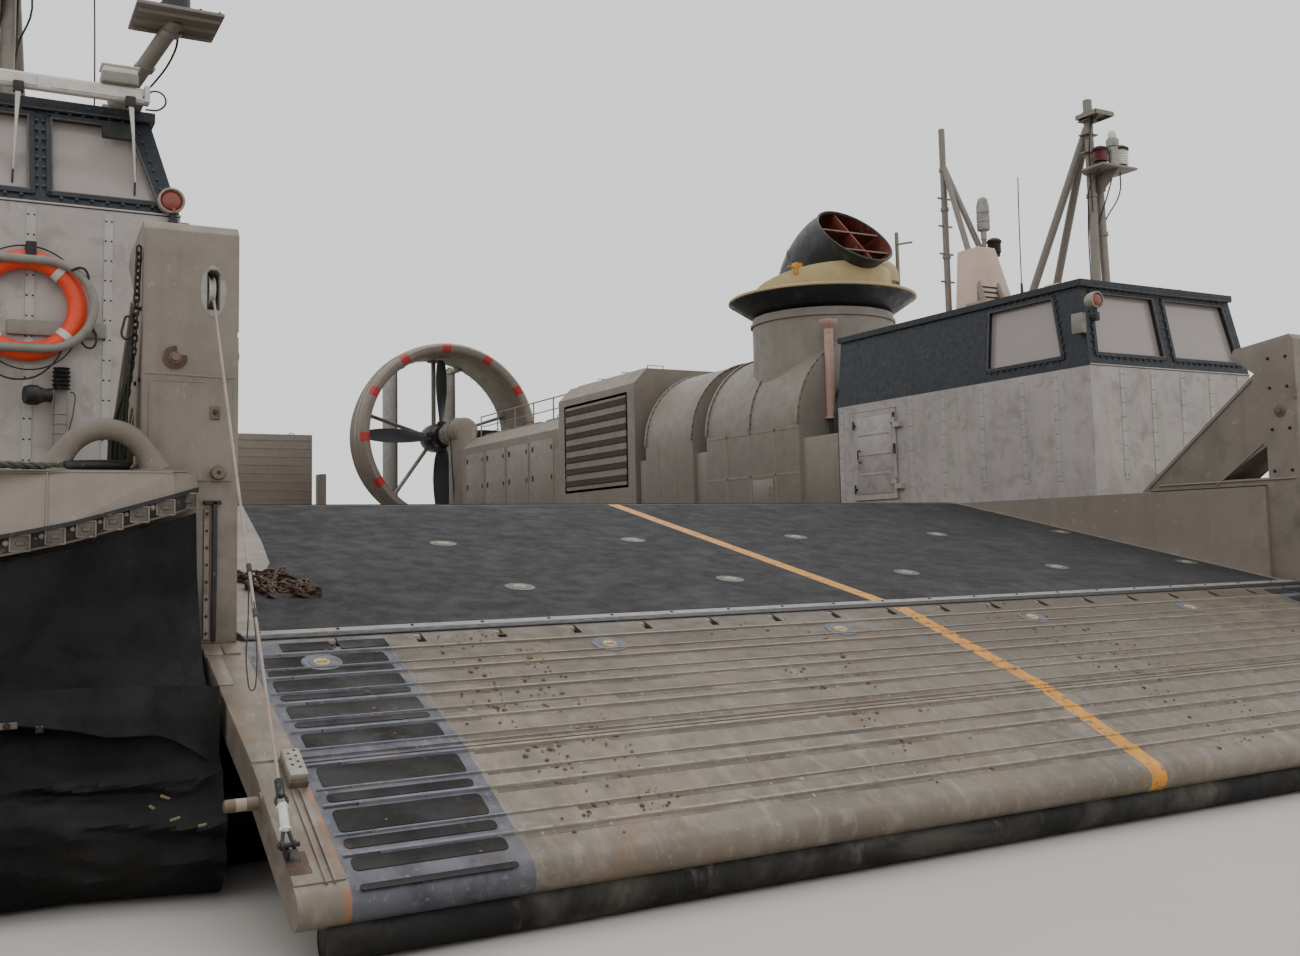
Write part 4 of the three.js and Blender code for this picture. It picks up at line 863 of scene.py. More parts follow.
def ramp_patches():
    """Black grip patches along both ends of the ribs, wide and narrow in turn, each a thin raised plate."""
    rows = [(0.275, 0.129), (0.544, 0.126), (0.823, 0.132), (1.101, 0.130), (1.394, 0.140), (1.687, 0.140),
            (1.948, 0.076)]
    slim = [(0.400, 0.066), (0.668, 0.055), (0.947, 0.052), (1.537, 0.054), (1.827, 0.060)]
    made = []
    for out, depth in rows + slim + [(2.078, 0.032)]:
        drift = -0.02 * max(0.0, out - 1.2)
        patch = rounded_patch(0.598, depth, 0.003, min(0.022, depth * 0.42))
        made.append(copied(patch, [(side * (3.872 - drift), -out, TREAD) for _, side in SIDES]))
    heel = copied(rounded_patch(0.245, 0.100, 0.003, 0.008),
                  [(side * x, -0.092, TREAD) for _, side in SIDES for x in (3.925, 3.64)])
    return coated(lowered(joined(made, heel)), grip_patch)


def tie_down():
    """A round deck socket: a ringed plate with a dished yellow cup and a crossbar in it."""
    plate = lathed([(0, 0), (0.097, 0), (0.097, 0.003), (0.086, 0.005), (0.082, 0.003), (0.064, 0.003),
                    (0.061, 0.005), (0.044, 0.005), (0.042, 0.004), (0, 0.004)], steps=24)
    dish = lathed([(0.042, 0.0042), (0.040, 0.007), (0.034, 0.007), (0.024, 0.0045), (0, 0.0043)], steps=16)
    bar = block((-0.024, -0.005, 0.004), (0.024, 0.005, 0.009), 0.002)
    return joined(coated(plate, ring_plate), coated(dish, cup_yellow), coated(bar, cup_yellow))


def ramp_tie_downs():
    spots = [side * x for x in (0.789, 2.343, 3.897) for side in (-1, 1)]
    return lowered(copied(tie_down(), [(x, -0.293, TREAD) for x in spots]))


def clump(seed, size):
    """A lump of soil."""
    alone()
    bpy.ops.mesh.primitive_ico_sphere_add(subdivisions=2, radius=1)
    lump = bpy.context.object
    for vertex in lump.data.vertices:
        bend = noise.noise(vertex.co * 1.3 + Vector((seed, 0, 0)))
        vertex.co = vertex.co * size * (1 + 0.6 * bend)
        vertex.co.z = max(vertex.co.z * 0.42, -0.1 * size)
    return lump


def ramp_soil():
    """Soil that wheels dropped in bands up the ramp."""
    draw = random.Random(11)
    bands = ((-3.19, 0.07, 120), (-2.90, 0.07, 110), (-1.45, 0.08, 60), (-1.05, 0.06, 40), (0.66, 0.12, 110),
             (1.05, 0.10, 60), (2.9, 0.16, 60), (-3.85, 0.16, 26))
    shapes = [clump(seed * 3.7, 1.0) for seed in range(5)]
    places = [[] for _ in shapes]
    for centre, spread, count in bands:
        for _ in range(count):
            out = draw.uniform(0.02, RAMP_LENGTH - 0.12)
            x = draw.gauss(centre, spread) + 0.03 * math.sin(out * 5)
            size = min(0.019, draw.lognormvariate(-5.25, 0.45))
            place = (Matrix.Translation((x, -out, TREAD + 0.004))
                     @ Matrix.Rotation(draw.uniform(0, 6.28), 4, "Z"))
            places[draw.randrange(len(shapes))].append(place @ Matrix.Scale(size, 4))
    return coated(lowered(joined([copied(shape, spots) for shape, spots in zip(shapes, places)])), soil)


settle(lowered(ramp_panels()), "bow_ramp_planks", "bow_ramp", ["bow_ramp_panel"], 28)
settle(rib_highlights_and_grime(), "ramp_rib_highlights_and_grime", "bow_ramp")
for side_name, side in SIDES:
    settle(margin_fittings(side), f"{side_name}_ramp_margin_fittings", "bow_ramp")
settle(ramp_patches(), "ramp_grip_patches", "bow_ramp")
settle(ramp_tie_downs(), "ramp_tie_downs", "bow_ramp")
settle(ramp_soil(), "ramp_soil", "bow_ramp", smooth=60)


# Cargo deck

def slope_height(y):
    """The deck's height at a distance aft of the hinge line."""
    return DECK if y >= FOREDECK else LIP + (DECK - LIP) * y / FOREDECK


def on_foredeck(obj):
    """Lays a flat piece modelled at height 0 on the foredeck's slope."""
    return reshaped(obj, lambda co: (co.x, co.y, co.z + slope_height(co.y)))


def foredeck_mat():
    """The rough black mat on the slope, with its bare starboard margin tapering aft."""
    shore = [(-4.10, 0.16), (-3.98, 0.9), (-3.68, 1.8), (-3.58, 2.5), (-3.45, 3.7), (-3.42, 3.96)]
    rim = shore + [(4.10, 3.96), (4.10, 0.16)]
    sheet = upright(rim, 0.0, 0.0045)
    return coated(on_foredeck(eased(sheet, 0.0015, 1)), deck_mat)


def deck_stripe():
    """The yellow centre stripe up the slope and on along the level deck."""
    sheet = upright([(-0.147, 0.16), (-0.147, 3.96), (-0.033, 3.96), (-0.033, 0.16)], 0.003, 0.0055)
    level = block((-0.147, 4.03, DECK + 0.006), (-0.033, 20.4, DECK + 0.0095), 0.001, 1)
    return coated([on_foredeck(sheet), level], stripe_paint)


def deck_coat():
    """The rough coat on the level deck between the modules."""
    return coated(block((-4.095, 4.008, DECK + 0.004), (4.095, 20.494, DECK + 0.0085), 0.001, 1), deck_grip)


def chain(points, finish, link=0.052, thick=0.0075):
    """A chain through points, each link turned a quarter from the last."""
    places, path = [], [Vector(point) for point in points]
    spare, flip = 0.0, 0
    for here, there in zip(path, path[1:]):
        step = there - here
        at = spare
        while at < step.length:
            lay = (aimed(here + step.normalized() * at, step)
                   @ Matrix.Rotation(math.pi / 2 * (flip % 2) + 0.4, 4, "Z"))
            places.append(lay)
            at += link * 0.74
            flip += 1
        spare = at - step.length
    long, wide = link / 2, link * 0.30
    oval = [(wide * math.sin(a), 0, (long - wide) * (1 if math.cos(a) > 0 else -1) + wide * math.cos(a))
            for a in angles(30, 12, 15)]
    return coated(copied(line(oval, thick, smooth=False, sides=1, ring=True), places), finish)


def chain_pile():
    """A lashing chain dropped by the starboard post."""
    draw = random.Random(4)
    path, x, y = [], -3.80, 1.02
    for step in range(70):
        x = min(-3.62, max(-3.96, x + draw.gauss(0.0, 0.07)))
        y = min(1.42, max(0.84, y + draw.gauss(0.002, 0.07)))
        path.append((x, y, slope_height(y) + 0.012 + 0.028 * draw.random()))
    return chain(path, rusty_steel, 0.06, 0.0085)


def deck_sockets():
    """Round tie-down sockets in rows down the deck and the slope."""
    tilt = Matrix.Rotation(math.atan((DECK - LIP) / FOREDECK), 4, "X")
    spots = []
    for y in [0.9, 2.3] + [5.0 + 1.2 * i for i in range(13)]:
        raised, lay = (0.005, tilt) if y < FOREDECK else (0.009, Matrix())
        for x in (-0.78, 0.78, -2.34, 2.34, -3.9, 3.9):
            if x > -3 or y > FOREDECK:  # the slope's starboard margin is bare
                spots.append(Matrix.Translation((x, y, slope_height(y) + raised)) @ lay)
    return copied(tie_down(), spots)


def plating_seams():
    """Raised weld beads where the deck's plates meet."""
    beads = []
    for y in [4.1 + 2.05 * i for i in range(1, 8)]:
        beads.append(line([(-4.08, y, DECK + 0.006), (4.08, y, DECK + 0.006)], 0.005, False, 1))
    for x in (-2.75, -1.38, 0.0, 1.38, 2.75):
        beads.append(line([(x, 4.12, DECK + 0.006), (x, 20.48, DECK + 0.006)], 0.005, False, 1))
    return coated(beads, deck_grip)


def hinge_strip():
    """The steel edge over the ramp's hinge with its row of bolts, and the black joint in front of it."""
    made = []
    for near, far, finish in ((0.004, 0.078, black_trim), (0.080, 0.15, post_bright)):
        made.append(coated(across([(near, 1.012 + near * 0.205), (far, 1.012 + far * 0.205),
                                   (far, 1.02 + far * 0.205), (near, 1.0202 + near * 0.205)], -4.19, 4.19,
                                  0.002), finish))
    bolts = fastened([(x, 0.115, 1.021 + 0.115 * 0.205) for x in [-4.1 + 0.4 * i for i in range(21)]],
                     (0, -0.2, 1), dark_metal, radius=0.008, height=0.004)
    return joined(made, bolts)


settle(foredeck_mat(), "foredeck_mat")
settle(deck_coat(), "deck_grip_coat")
settle(deck_stripe(), "deck_centre_stripe")
settle(chain_pile(), "lashing_chain")
settle(deck_sockets(), "deck_tie_downs")
settle(plating_seams(), "deck_weld_beads")
settle(hinge_strip(), "hinge_edge_strip")


# The skirt, and the clamps that hold it to the plating

STRIP = 0.092  # height of the clamp strip


def bow_path():
    """Stations round the port bow corner.

    Each has x, y, heading, the plating's reach, the clamp strip's height and the share of the flank's form.
    """
    rows = [(4.43, 0, -90, 0.06, 1.765, 0.0), (4.56, 0, -90, 0.215, 1.725, 0.0),
            (5.0, 0, -90, 0.31, 1.60, 0.0)]
    for step in range(1, 25):
        share = step / 24
        angle = math.radians(-90 + 90 * share)
        reach = 0.31 + 0.23 * math.sin(math.pi * share) - 0.19 * share
        rows.append((5.0 + 1.65 * math.cos(angle), 1.65 + 1.65 * math.sin(angle), -90 + 90 * share, reach,
                     1.60 - 0.33 * share * (2 - share), share))
    return rows + [(HALF_BEAM, 2.6, 0, 0.04, 1.25, 1.0)]


def stern_path():
    """Stations from the port flank round the stern to starboard: x, y and heading."""
    rows = [(HALF_BEAM, 22.4, 0.0)]
    rows += [(5.75 + 0.9 * math.cos(a), 23.5 + 0.9 * math.sin(a), math.degrees(a))
             for a in angles(7.5, 13)]
    return rows + [(-x, y, 180 - turn) for x, y, turn in reversed(rows)]


def out_from(x, y, heading, out, z):
    """The point at a height that stands out from a station on its heading."""
    angle = math.radians(heading)
    return Vector((x + out * math.cos(angle), y + out * math.sin(angle), z))


def smooth_run(outline, share):
    """A point along an outline of (out, z), rounded at its corners."""
    near = [run_along(outline, min(1, max(0, share + shift))) for shift in (-0.03, 0.0, 0.03)]
    return [sum(point[i] for point in near) / 3 for i in range(2)]


BAG = [(0.04, 1.158), (0.13, 1.143), (0.31, 1.02), (0.45, 0.88), (0.52, 0.69), (0.515, 0.48), (0.47, 0.40)]
PANEL = 0.7  # width of a bag's panels
FINGER = 0.43  # height of a finger


def front_of(x, reach):
    """How far the slack cloth stands out: beside the ramp it is pushed further than the plating."""
    return 0.31 + 0.17 * (5.0 - x) / 0.57 if x < 5.0 else reach


def bow_skirt():
    """The limp bow skirt: a curtain below the clamps, and the slack roll that has sunk to the ground."""
    path = bow_path()

    def place(u, v):
        x, y, heading, reach, strip, side = run_along(path, u)
        top = strip - STRIP - 0.006
        front = front_of(x, reach)
        bow = [(reach - 0.012, top), (reach + 0.03, top - 0.32), ((reach + front) / 2 + 0.05, 0.90),
               (front + 0.08, 0.77), (front + 0.21, 0.60), (front + 0.42, 0.41), (front + 0.42, 0.15),
               (front + 0.30, 0.012), (front + 0.10, 0.008)]
        flank = [(min(0.09, reach + 0.08), top), (0.31, 1.02), (0.45, 0.88), (0.50, 0.76), (0.52, 0.62),
                 (0.515, 0.42), (0.48, 0.20), (0.45, 0.012), (0.25, 0.008)]
        outline = [(a[0] + (b[0] - a[0]) * side, a[1] + (b[1] - a[1]) * side) for a, b in zip(bow, flank)]
        out, z = smooth_run(outline, v)
        hang = min(1.0, v * 7) * min(1.0, (1 - v) * 6)
        run = (x + y) * 0.72
        curtain = max(0.0, 1 - abs(v - 0.24) / 0.26)
        valley = 1 - abs(math.sin((run + 0.55 * z) * 4.3 + 1.6 * folds((run, 0, z), 4, 0.8)))
        drapes = 0.020 * folds((run * 1.6 + z, z, 0), 3, 1.4) - 0.040 * valley ** 3
        slack = max(0.0, 1 - abs(v - 0.68) / 0.36)
        bulge = 0.28 - abs(folds((run * 0.8 + 0.8 * z, z * 2.4 - 0.6 * run, 1.0), 8, 2.3)) ** 0.8
        crumple = 0.2 - abs(folds((run + z, z * 2 - run, 0), 5, 5.2)) ** 0.8
        out += (drapes * curtain + (0.15 * bulge + 0.05 * crumple) * slack) * hang
        point = out_from(x, y, heading, out, z)
        point.z += (0.06 * folds((run, z, 0), 6, 1.6)) * slack * hang
        point.z = max(point.z, 0.006)
        point.x = max(point.x, 4.437)
        return point

    return cloth(164, 94, place)


def bow_flap():
    """The second layer that hangs over the roll at the ramp's side, with its doubled hem showing."""
    path = bow_path()

    def place(u, v):
        x, y, heading, reach, strip, side = run_along(path, 0.002 + 0.40 * u)
        near = max(0.0, 1 - u * 6.5)
        hem = 0.675 + 0.11 * min(1.0, max(0.0, (u - 0.26) / 0.26)) + 0.02 * side - 0.15 * near ** 1.5
        top = 0.875 + 0.05 * side
        z = top + (hem - top) * v
        out = front_of(x, reach) + 0.088 + 0.03 * math.sin(math.pi * min(1, v * 1.2)) + 0.13 * v ** 1.4
        out += 0.14 * near * (1 - 0.7 * v)
        out += 0.016 * folds((x, y, z), 3, 2.6) * v
        point = out_from(x, y, heading, out, z)
        point.x = max(point.x, 4.425 + 0.012 * v)
        return point

    return cloth(90, 14, place, 0.009)


def on_cloth(piece, x, z):
    """The place on a bow skirt's front nearest to a given x and height, in the modelling frame."""
    best = min((vertex.co for vertex in piece.data.vertices if vertex.co.y < BOW - 0.2),
               key=lambda co: abs(co.x - x) + abs(co.z - z) - 0.2 * (BOW - co.y))
    return Vector((best.x, best.y - BOW, best.z))


def straps(skirt, flap):
    """Short webbing loops on the roll, and two plates with bolts on the flap's hem."""
    loops, plates, bolts = [], [], []
    for x, z, turn in ((4.707, 0.392, -38), (4.66, 0.43, -25), (4.635, 0.359, 12), (4.52, 0.33, 4)):
        at = on_cloth(skirt, x, z)
        loops.append(fixed(block((-0.022, -0.004, -0.0065), (0.022, 0.004, 0.0065), 0.003, 1),
                           stood(at - Vector((0, 0.006, 0)), turn, "Y")))
    for x, z, wide in ((5.25, 0.745, 0.040), (5.12, 0.72, 0.014)):
        at = on_cloth(flap, x, z)
        plates.append(fixed(block((-wide, -0.005, -0.014), (wide, 0.005, 0.014), 0.003, 1),
                            Matrix.Translation(at - Vector((0, 0.008, 0)))))
        bolts.append(tuple(at - Vector((0, 0.012, 0))))
    return joined(coated(loops, khaki_strap), coated(plates, pin_steel),
                  fastened(bolts, (0, -1, 0), dark_metal))


def bag_slack(run, z, v, seed, start=0.0):
    """A bag's fullness at a run along it, least at its panels' joins, and how far it stands out there."""
    full = abs(math.sin(math.pi * (run - start) / PANEL)) ** 0.6
    return full, min(1, 4 * v) * (0.028 * full - 0.022 + 0.018 * folds((run * 0.8, z, 0), seed, 2.2))


def side_bag():
    """The side bag, slack between the joins of its panels."""
    def place(u, v):
        y = 2.61 + 19.78 * u
        out, z = smooth_run(BAG, v)
        seam, slack = bag_slack(y, z, v, 5, 2.6)
        sag = 0.02 * folds((y, 0, v), 9, 0.9) * min(1, 3 * v)
        return Vector((HALF_BEAM + out + slack, y, max(0.3, z + sag - 0.01 * seam)))

    return cloth(340, 20, place)


def finger(width):
    """One skirt finger: an open-backed cup of cloth that narrows to the ground."""
    def place(u, v):
        angle = math.pi * (u - 0.5)
        half = width / 2 * (1 - 0.05 * v)
        depth = 0.10 + 0.05 * v
        out = 0.455 - depth + depth * max(0.0, math.cos(angle)) ** 0.7
        return Vector((out - 0.03 * v, half * math.sin(angle), FINGER * (1 - v) + 0.008))

    return cloth(12, 8, place, 0.008)[0]


def fingers(path):
    """Fingers hung along a path, each bent a little its own way."""
    stations, pitch = evenly_spaced(path, 0.35)
    row = copied(finger(pitch * 1.04), [stood((x, y, 0), turn) for x, y, turn in stations])
    for vertex in row.data.vertices:
        low = max(0.0, 1 - vertex.co.z / FINGER)
        bend = Vector([folds(vertex.co, seed, 2.6) for seed in (1, 5)] + [0])
        vertex.co += bend * 0.028 * low
        vertex.co.z = max(0.006, vertex.co.z)
    row.data.update()
    return coated(row, skirt_cloth)


def stern_bag():
    """The stern bag, which stands out a little less than the side bags."""
    path = stern_path()
    total = sum(lengths_of(path))

    def place(u, v):
        x, y, heading = run_along(path, u)
        out, z = smooth_run([(out * 0.85, z) for out, z in BAG], v)
        seam, slack = bag_slack(u * total, z, v, 7)
        return out_from(x, y, heading, out + slack, max(0.3, z - 0.01 * seam))

    return cloth(250, 20, place)


def evenly_spaced(path, pitch):
    """Stations at about a pitch along a path, and the pitch that fits it."""
    total = sum(lengths_of(path))
    count = round(total / pitch)
    return [run_along(path, (i + 0.5) / count) for i in range(count)], total / count


def clamps(stations, pitch):
    """Clamp blocks on the strip: a framed, dished cover whose middle is coated darker than its frame, a
    painted shade, then a dark gap with a bolt.
    """
    half = pitch * 0.34
    dish = block((0.0, -half, -0.036), (0.010, half, 0.036), 0.003, 1)
    frames = [block((0.0, -half, z - 0.004), (0.016, half, z + 0.004), 0.002, 1) for z in (-0.035, 0.035)]
    frames += [block((0.0, y - 0.004, -0.038), (0.018, y + 0.004, 0.038), 0.002, 1) for y in (-half, half)]
    rib = block((0.0, -half * 0.5, -0.012), (0.016, half * 0.45, 0.010), 0.003, 1)
    bolt = bolt_head(0.011, 0.012)
    fixed(bolt, aimed((0.008, pitch * 0.5, 0), (1, 0, 0)))
    washer = disc(0.013, 0.004, (0.004, pitch * 0.5, 0), (1, 0, 0), 12)
    # The dish and rib take the darker clamp_shade, a painted shade inside the frame, and the frames the
    # lighter clamp_metal.
    unit = joined(coated([dish, rib], clamp_shade), coated([frames, washer], clamp_metal),
                  coated(bolt, clamp_metal))
    return copied(unit, [stood(place, turn) for place, turn in stations])


def band(path, at, low, high, thick):
    """A strip that follows a path, standing out by thick at a height and reach that at(station) gives."""
    rings = []
    for row in path:
        out, z = at(row)
        rings.append([out_from(*row[:3], out + o, z + h)
                      for o, h in ((0, low), (thick, low), (thick, high), (0, high))])
    mesh = bpy.data.meshes.new("band")
    points = [tuple(point) for ring in rings for point in ring]
    faces = [(4 * i + j, 4 * i + (j + 1) % 4, 4 * i + 4 + (j + 1) % 4, 4 * i + 4 + j)
             for i in range(len(rings) - 1) for j in range(4)]
    faces += [(3, 2, 1, 0), tuple(len(points) - 4 + j for j in range(4))]
    mesh.from_pydata(points, [], faces)
    return edited(linked("band", mesh))


def bow_clamp_strip():
    """The bow corner's clamp strip: edge, lip, a dark backing and its clamp blocks."""
    path = bow_path()
    fine = [run_along(path, i / 120) for i in range(121)]

    def line_of(row):
        return row[3] + (0.007 if row[0] < 4.64 and row[1] < 0.1 else 0), row[4]

    edge = coated(band(fine, line_of, -STRIP, -STRIP + 0.010, 0.022), clamp_shade)
    lip = coated(band(fine, line_of, -0.016, 0.003, 0.026), black_trim)
    # The backing shows dark in the gaps between the clamp covers: a painted shade.
    backing = coated(band(fine, line_of, -STRIP + 0.008, -0.014, 0.004), clamp_gap_shade)
    rows, pitch = evenly_spaced(path, 0.113)
    units = clamps([(out_from(*row[:3], line_of(row)[0] + 0.003, row[4] - STRIP / 2 - 0.003), row[2])
                    for row in rows], pitch)
    return joined(edge, lip, backing, units)


def flank_clamp_strip(path):
    """The plainer clamp strip along the flanks and the stern."""
    height = 1.25
    fine = [run_along(path, i / 60) for i in range(61)] if len(path) > 2 else path
    edge = coated(band(fine, lambda row: (0.04, height), -STRIP, -STRIP + 0.012, 0.016), black_trim)
    lip = coated(band(fine, lambda row: (0.04, height), -0.010, 0.002, 0.018), black_trim)
    rows, pitch = evenly_spaced(path, 0.30)
    units = clamps([(out_from(*row, 0.041, height - STRIP / 2), row[2]) for row in rows], pitch)
    return joined(edge, lip, units)


def middle_skirt():
    """The slack skirt across the bow, below the ramp."""
    profile = [(0.006, 0.60), (0.12, 0.60), (0.33, 0.48), (0.42, 0.30), (0.40, 0.12), (0.30, 0.010),
               (0.10, 0.008)]

    def place(u, v):
        x = -4.42 + 8.84 * u
        out, z = smooth_run(profile, v)
        loose = min(1, v * 5)
        out += (0.03 * folds((x, z * 2, 0), 12, 1.8) - 0.02) * loose
        return Vector((x, -max(0.006, out),
                       max(0.006, z + 0.03 * folds((x, 0, v), 15, 1.1) * loose * (1 - v))))

    return cloth(180, 20, place)


def keel_bag(length, turn, place_at):
    """A soft keel under the hull."""
    section = [(-0.20, 0.344), (-0.235, 0.18), (-0.19, 0.04), (-0.09, 0.006), (0.09, 0.006), (0.19, 0.04),
               (0.235, 0.18), (0.20, 0.344)]

    def place(u, v):
        out, z = smooth_run(section, v)
        out += 0.01 * folds((u * length, z, 0), 3, 2.0)
        return Vector((out, (u - 0.5) * length, z))

    bag, _ = cloth(60, 16, place)
    return fixed(bag, stood(place_at, turn))


def hung(made, run, name, node, pair=True, finish=skirt_cloth):
    """Settles a skirt cloth, one piece or a pair."""
    obj, area = made
    coated(obj, finish)
    if pair:
        pieces = settle_pair(obj, name, nodes=[node] if node else ())
    else:
        pieces = {"": settle(obj, name, nodes=[node] if node else ())}
    for piece in pieces.values():
        area / run * 1.02
    return pieces


bow_cloths = hung(bow_skirt(), 4.9, "bow_skirt_cloth", "{}_bow_skirt")
bow_flaps = hung(bow_flap(), 2.0, "bow_skirt_flap", "", finish=flap_cloth)
settle_pair(straps(bow_cloths["port"], bow_flaps["port"]), "bow_skirt_straps")
hung(side_bag(), 19.8, "side_skirt_bag", "{}_side_skirt")
hung(stern_bag(), 16.0, "stern_skirt_bag", "stern_skirt", pair=False)
hung(middle_skirt(), 8.84, "bow_skirt_middle_cloth", "bow_skirt_middle", pair=False)
flank_path = [(HALF_BEAM, 2.62, 0.0), (HALF_BEAM, 22.38, 0.0)]
settle_pair(fingers(flank_path), "side_skirt_fingers")
settle(fingers(stern_path()), "stern_skirt_fingers")
keels = [keel_bag(16.0, 0, (0, 13.6, 0)), keel_bag(12.6, 90, (0, 13.8, 0))]
settle(coated(keels, skirt_cloth), "keel_skirt_bags", nodes=["keel_skirt"])
settle_pair(bow_clamp_strip(), "bow_clamp_strip")
settle_pair(flank_clamp_strip(flank_path), "side_clamp_strip")
settle(flank_clamp_strip(stern_path()), "stern_clamp_strip")


# Ramp posts and mooring rings, modelled to port

def ramp_post():
    """The post with its brace, window, cable slot and rounded top corners."""
    profile = [(0, 1.01), (0, 3.04), (0.04, 3.085), (0.56, 3.02), (0.60, 2.95), (0.38, 2.79), (1.60, SEAT),
               (0.32, SEAT), (0.32, 1.01)]
    post = across(profile, 4.23, 4.68)
    window = across([(0.30, 1.90), (0.76, 1.90), (0.30, 2.16)], 4.1, 4.8)
    slot = along([(4.325, 2.655), (4.325, 2.84), (4.340, 2.855), (4.368, 2.855), (4.383, 2.84),
                  (4.383, 2.655)], -0.1, 0.75)
    bite = along([(4.20, 2.51), (4.20, 2.56), (4.236, 2.548), (4.241, 2.525)], -0.1, 0.03)
    cut(post, window, slot, bite)
    eased(post, 0.016, 3, 40)
    return coated(post, post_paint)


def post_front():
    """What is fixed to the post's front: seam, doubler, washer, bracket, knob, slot rim and seal strips."""
    seam = coated(line([(4.25, -0.001, 2.315), (4.665, -0.001, 2.325)], 0.0045, False, 1), hull_paint)
    doubler = block((4.26, -0.007, 1.80), (4.645, 0.003, 2.290), 0.003, 1)
    rim = [coated(line([(4.645, -0.006, 1.80), (4.645, -0.006, 2.29), (4.40, -0.006, 2.29)], 0.005, False, 1),
                  hull_paint)]
    washer = cut(lathed([(0, 0), (0.056, 0), (0.057, 0.010), (0, 0.010)], (4.533, -0.001, 2.405),
                        (0, -1, 0), 28), block((4.44, -0.05, 2.418), (4.525, 0.02, 2.50)))
    washer_bolt = fixed(bolt_head(0.022, 0.020), aimed((4.533, -0.010, 2.405), (0, -1, 0)))
    bracket = block((4.321, -0.016, 2.105), (4.367, 0.0, 2.172), 0.003, 1)
    bracket_bolt = fixed(bolt_head(0.011, 0.009), aimed((4.343, -0.016, 2.14), (0, -1, 0)))
    knob = lathed([(0, 0), (0.046, 0), (0.046, 0.006), (0.031, 0.007), (0.028, 0.040), (0.036, 0.044),
                   (0.037, 0.060), (0.031, 0.069), (0, 0.071)], (4.333, 0.0, 1.84), (0, -1, 0), 24)
    socket = disc(0.010, 0.003, (4.333, -0.070, 1.84), (0, -1, 0), 12)
    around = [(SLOT_X + 0.062 * math.cos(a), 2.75 + 0.13 * math.sin(a)) for a in angles(15, 24)]
    halo = cut(along(around, -0.0012, 0.001),
               along([(4.322, 2.652), (4.322, 2.858), (4.386, 2.858), (4.386, 2.652)], -0.1, 0.1))
    seal = across([(0, 1.02), (-0.008, 1.02), (-0.012, 1.14), (-0.026, 1.34), (-0.026, 1.70), (0, 1.70)],
                  4.330, 4.352, 0.002)
    seal_top = block((4.310, -0.026, 1.685), (4.395, 0.0, 1.705), 0.004, 1)
    strip = block((4.362, -0.009, 1.03), (4.392, 0.0, 1.665), 0.003, 1)
    screws = fastened(spaced((4.377, -0.009, 1.06), (4.377, -0.009, 1.64), 8), (0, -1, 0), dark_metal,
                      radius=0.006, height=0.003)
    return joined(seam, coated(doubler, post_paint), rim, coated(washer, rusty_steel),
                  coated(washer_bolt, pin_steel), coated(bracket, pin_steel),
                  coated(bracket_bolt, rusty_steel), coated(knob, pin_steel), coated(socket, dark_metal),
                  coated(halo, post_bright), coated([seal, seal_top], black_trim),
                  coated(strip, clamp_metal), screws)


def post_sheave():
    """The cable's sheave inside the slot, on its pin."""
    wheel = lathed([(0.018, -0.016), (0.075, -0.016), (0.078, -0.010), (0.062, -0.004), (0.062, 0.004),
                    (0.078, 0.010), (0.075, 0.016), (0.018, 0.016)], (SLOT_X, 0.095, 2.765), (1, 0, 0), 28)
    pin = rod((4.325, 0.095, 2.765), (4.383, 0.095, 2.765), 0.019)
    return joined(coated(wheel, off_white), coated(pin, dark_metal))


def post_brace_plates():
    """Welded edge flats and gussets on the post's brace, both faces."""
    parts = []
    for x in (4.229, 4.681):
        flip = -1 if x < 4.5 else 1
        for a, b in (((0.40, 2.74), (1.52, 1.865)), ((0.33, 2.19), (0.80, 1.86)),
                     ((0.05, 1.885), (1.40, 1.885))):
            middle = Vector((x + flip * 0.003, 0, 0))
            parts.append(rod(middle + Vector((0, *a)), middle + Vector((0, *b)), 0.009, 8))
    bolts = [fastened([(x, y, z) for y in (0.08, 0.24) for z in (1.95, 2.3, 2.65, 2.9)], (facing, 0, 0),
                      dark_metal) for x, facing in ((4.23, -1), (4.68, 1))]
    return joined(coated(parts, hull_paint), bolts)


def post_pin():
    """The ramp's stow pin on the post's lane side."""
    profile = [(0, 0), (0.05, 0), (0.05, 0.008), (0.022, 0.010), (0.022, 0.030), (0, 0.030)]
    return coated(lathed(profile, (4.23, 0.16, 2.45), (-1, 0, 0), 20), pin_steel)


def mooring_ring():
    """A heavy round ring whose feet swell where they meet the deck plate."""
    alone()
    curve = bpy.data.curves.new("ring", "CURVE")
    curve.dimensions, curve.bevel_depth, curve.bevel_resolution = "3D", 0.050, 7
    curve.use_fill_caps = True
    spline = curve.splines.new("POLY")
    middle, radius, count = 4.845, 0.195, 41
    spline.points.add(count - 1)
    for i, point in enumerate(spline.points):
        angle = math.pi * i / (count - 1)
        height = radius * math.sin(angle)
        wide = (radius * math.cos(angle)
                + math.copysign(0.024, math.cos(angle)) * max(0, 1 - height / 0.14) ** 2)
        point.co = (middle + wide, -0.09, DECK + 0.012 + height, 1)
        point.radius = 1.0 + 0.55 * max(0, 1 - height / 0.12) ** 2
    alone(linked("ring", curve))
    bpy.ops.object.convert(target="MESH")
    ring = bpy.context.object
    plate = block((4.575, -0.172, DECK + 0.001), (5.115, -0.008, DECK + 0.012), 0.005)
    ledge = block((4.50, -0.186, DECK + 0.0005), (5.60, -0.176, DECK + 0.010), 0.003, 1)
    welds = [line([(middle + side * 0.219 + 0.080 * math.cos(a), -0.09 + 0.076 * math.sin(a), DECK + 0.012)
                   for a in angles(30, 12)], 0.009, ring=True) for side in (-1, 1)]
    return coated([ring, plate, ledge, welds], ring_paint)


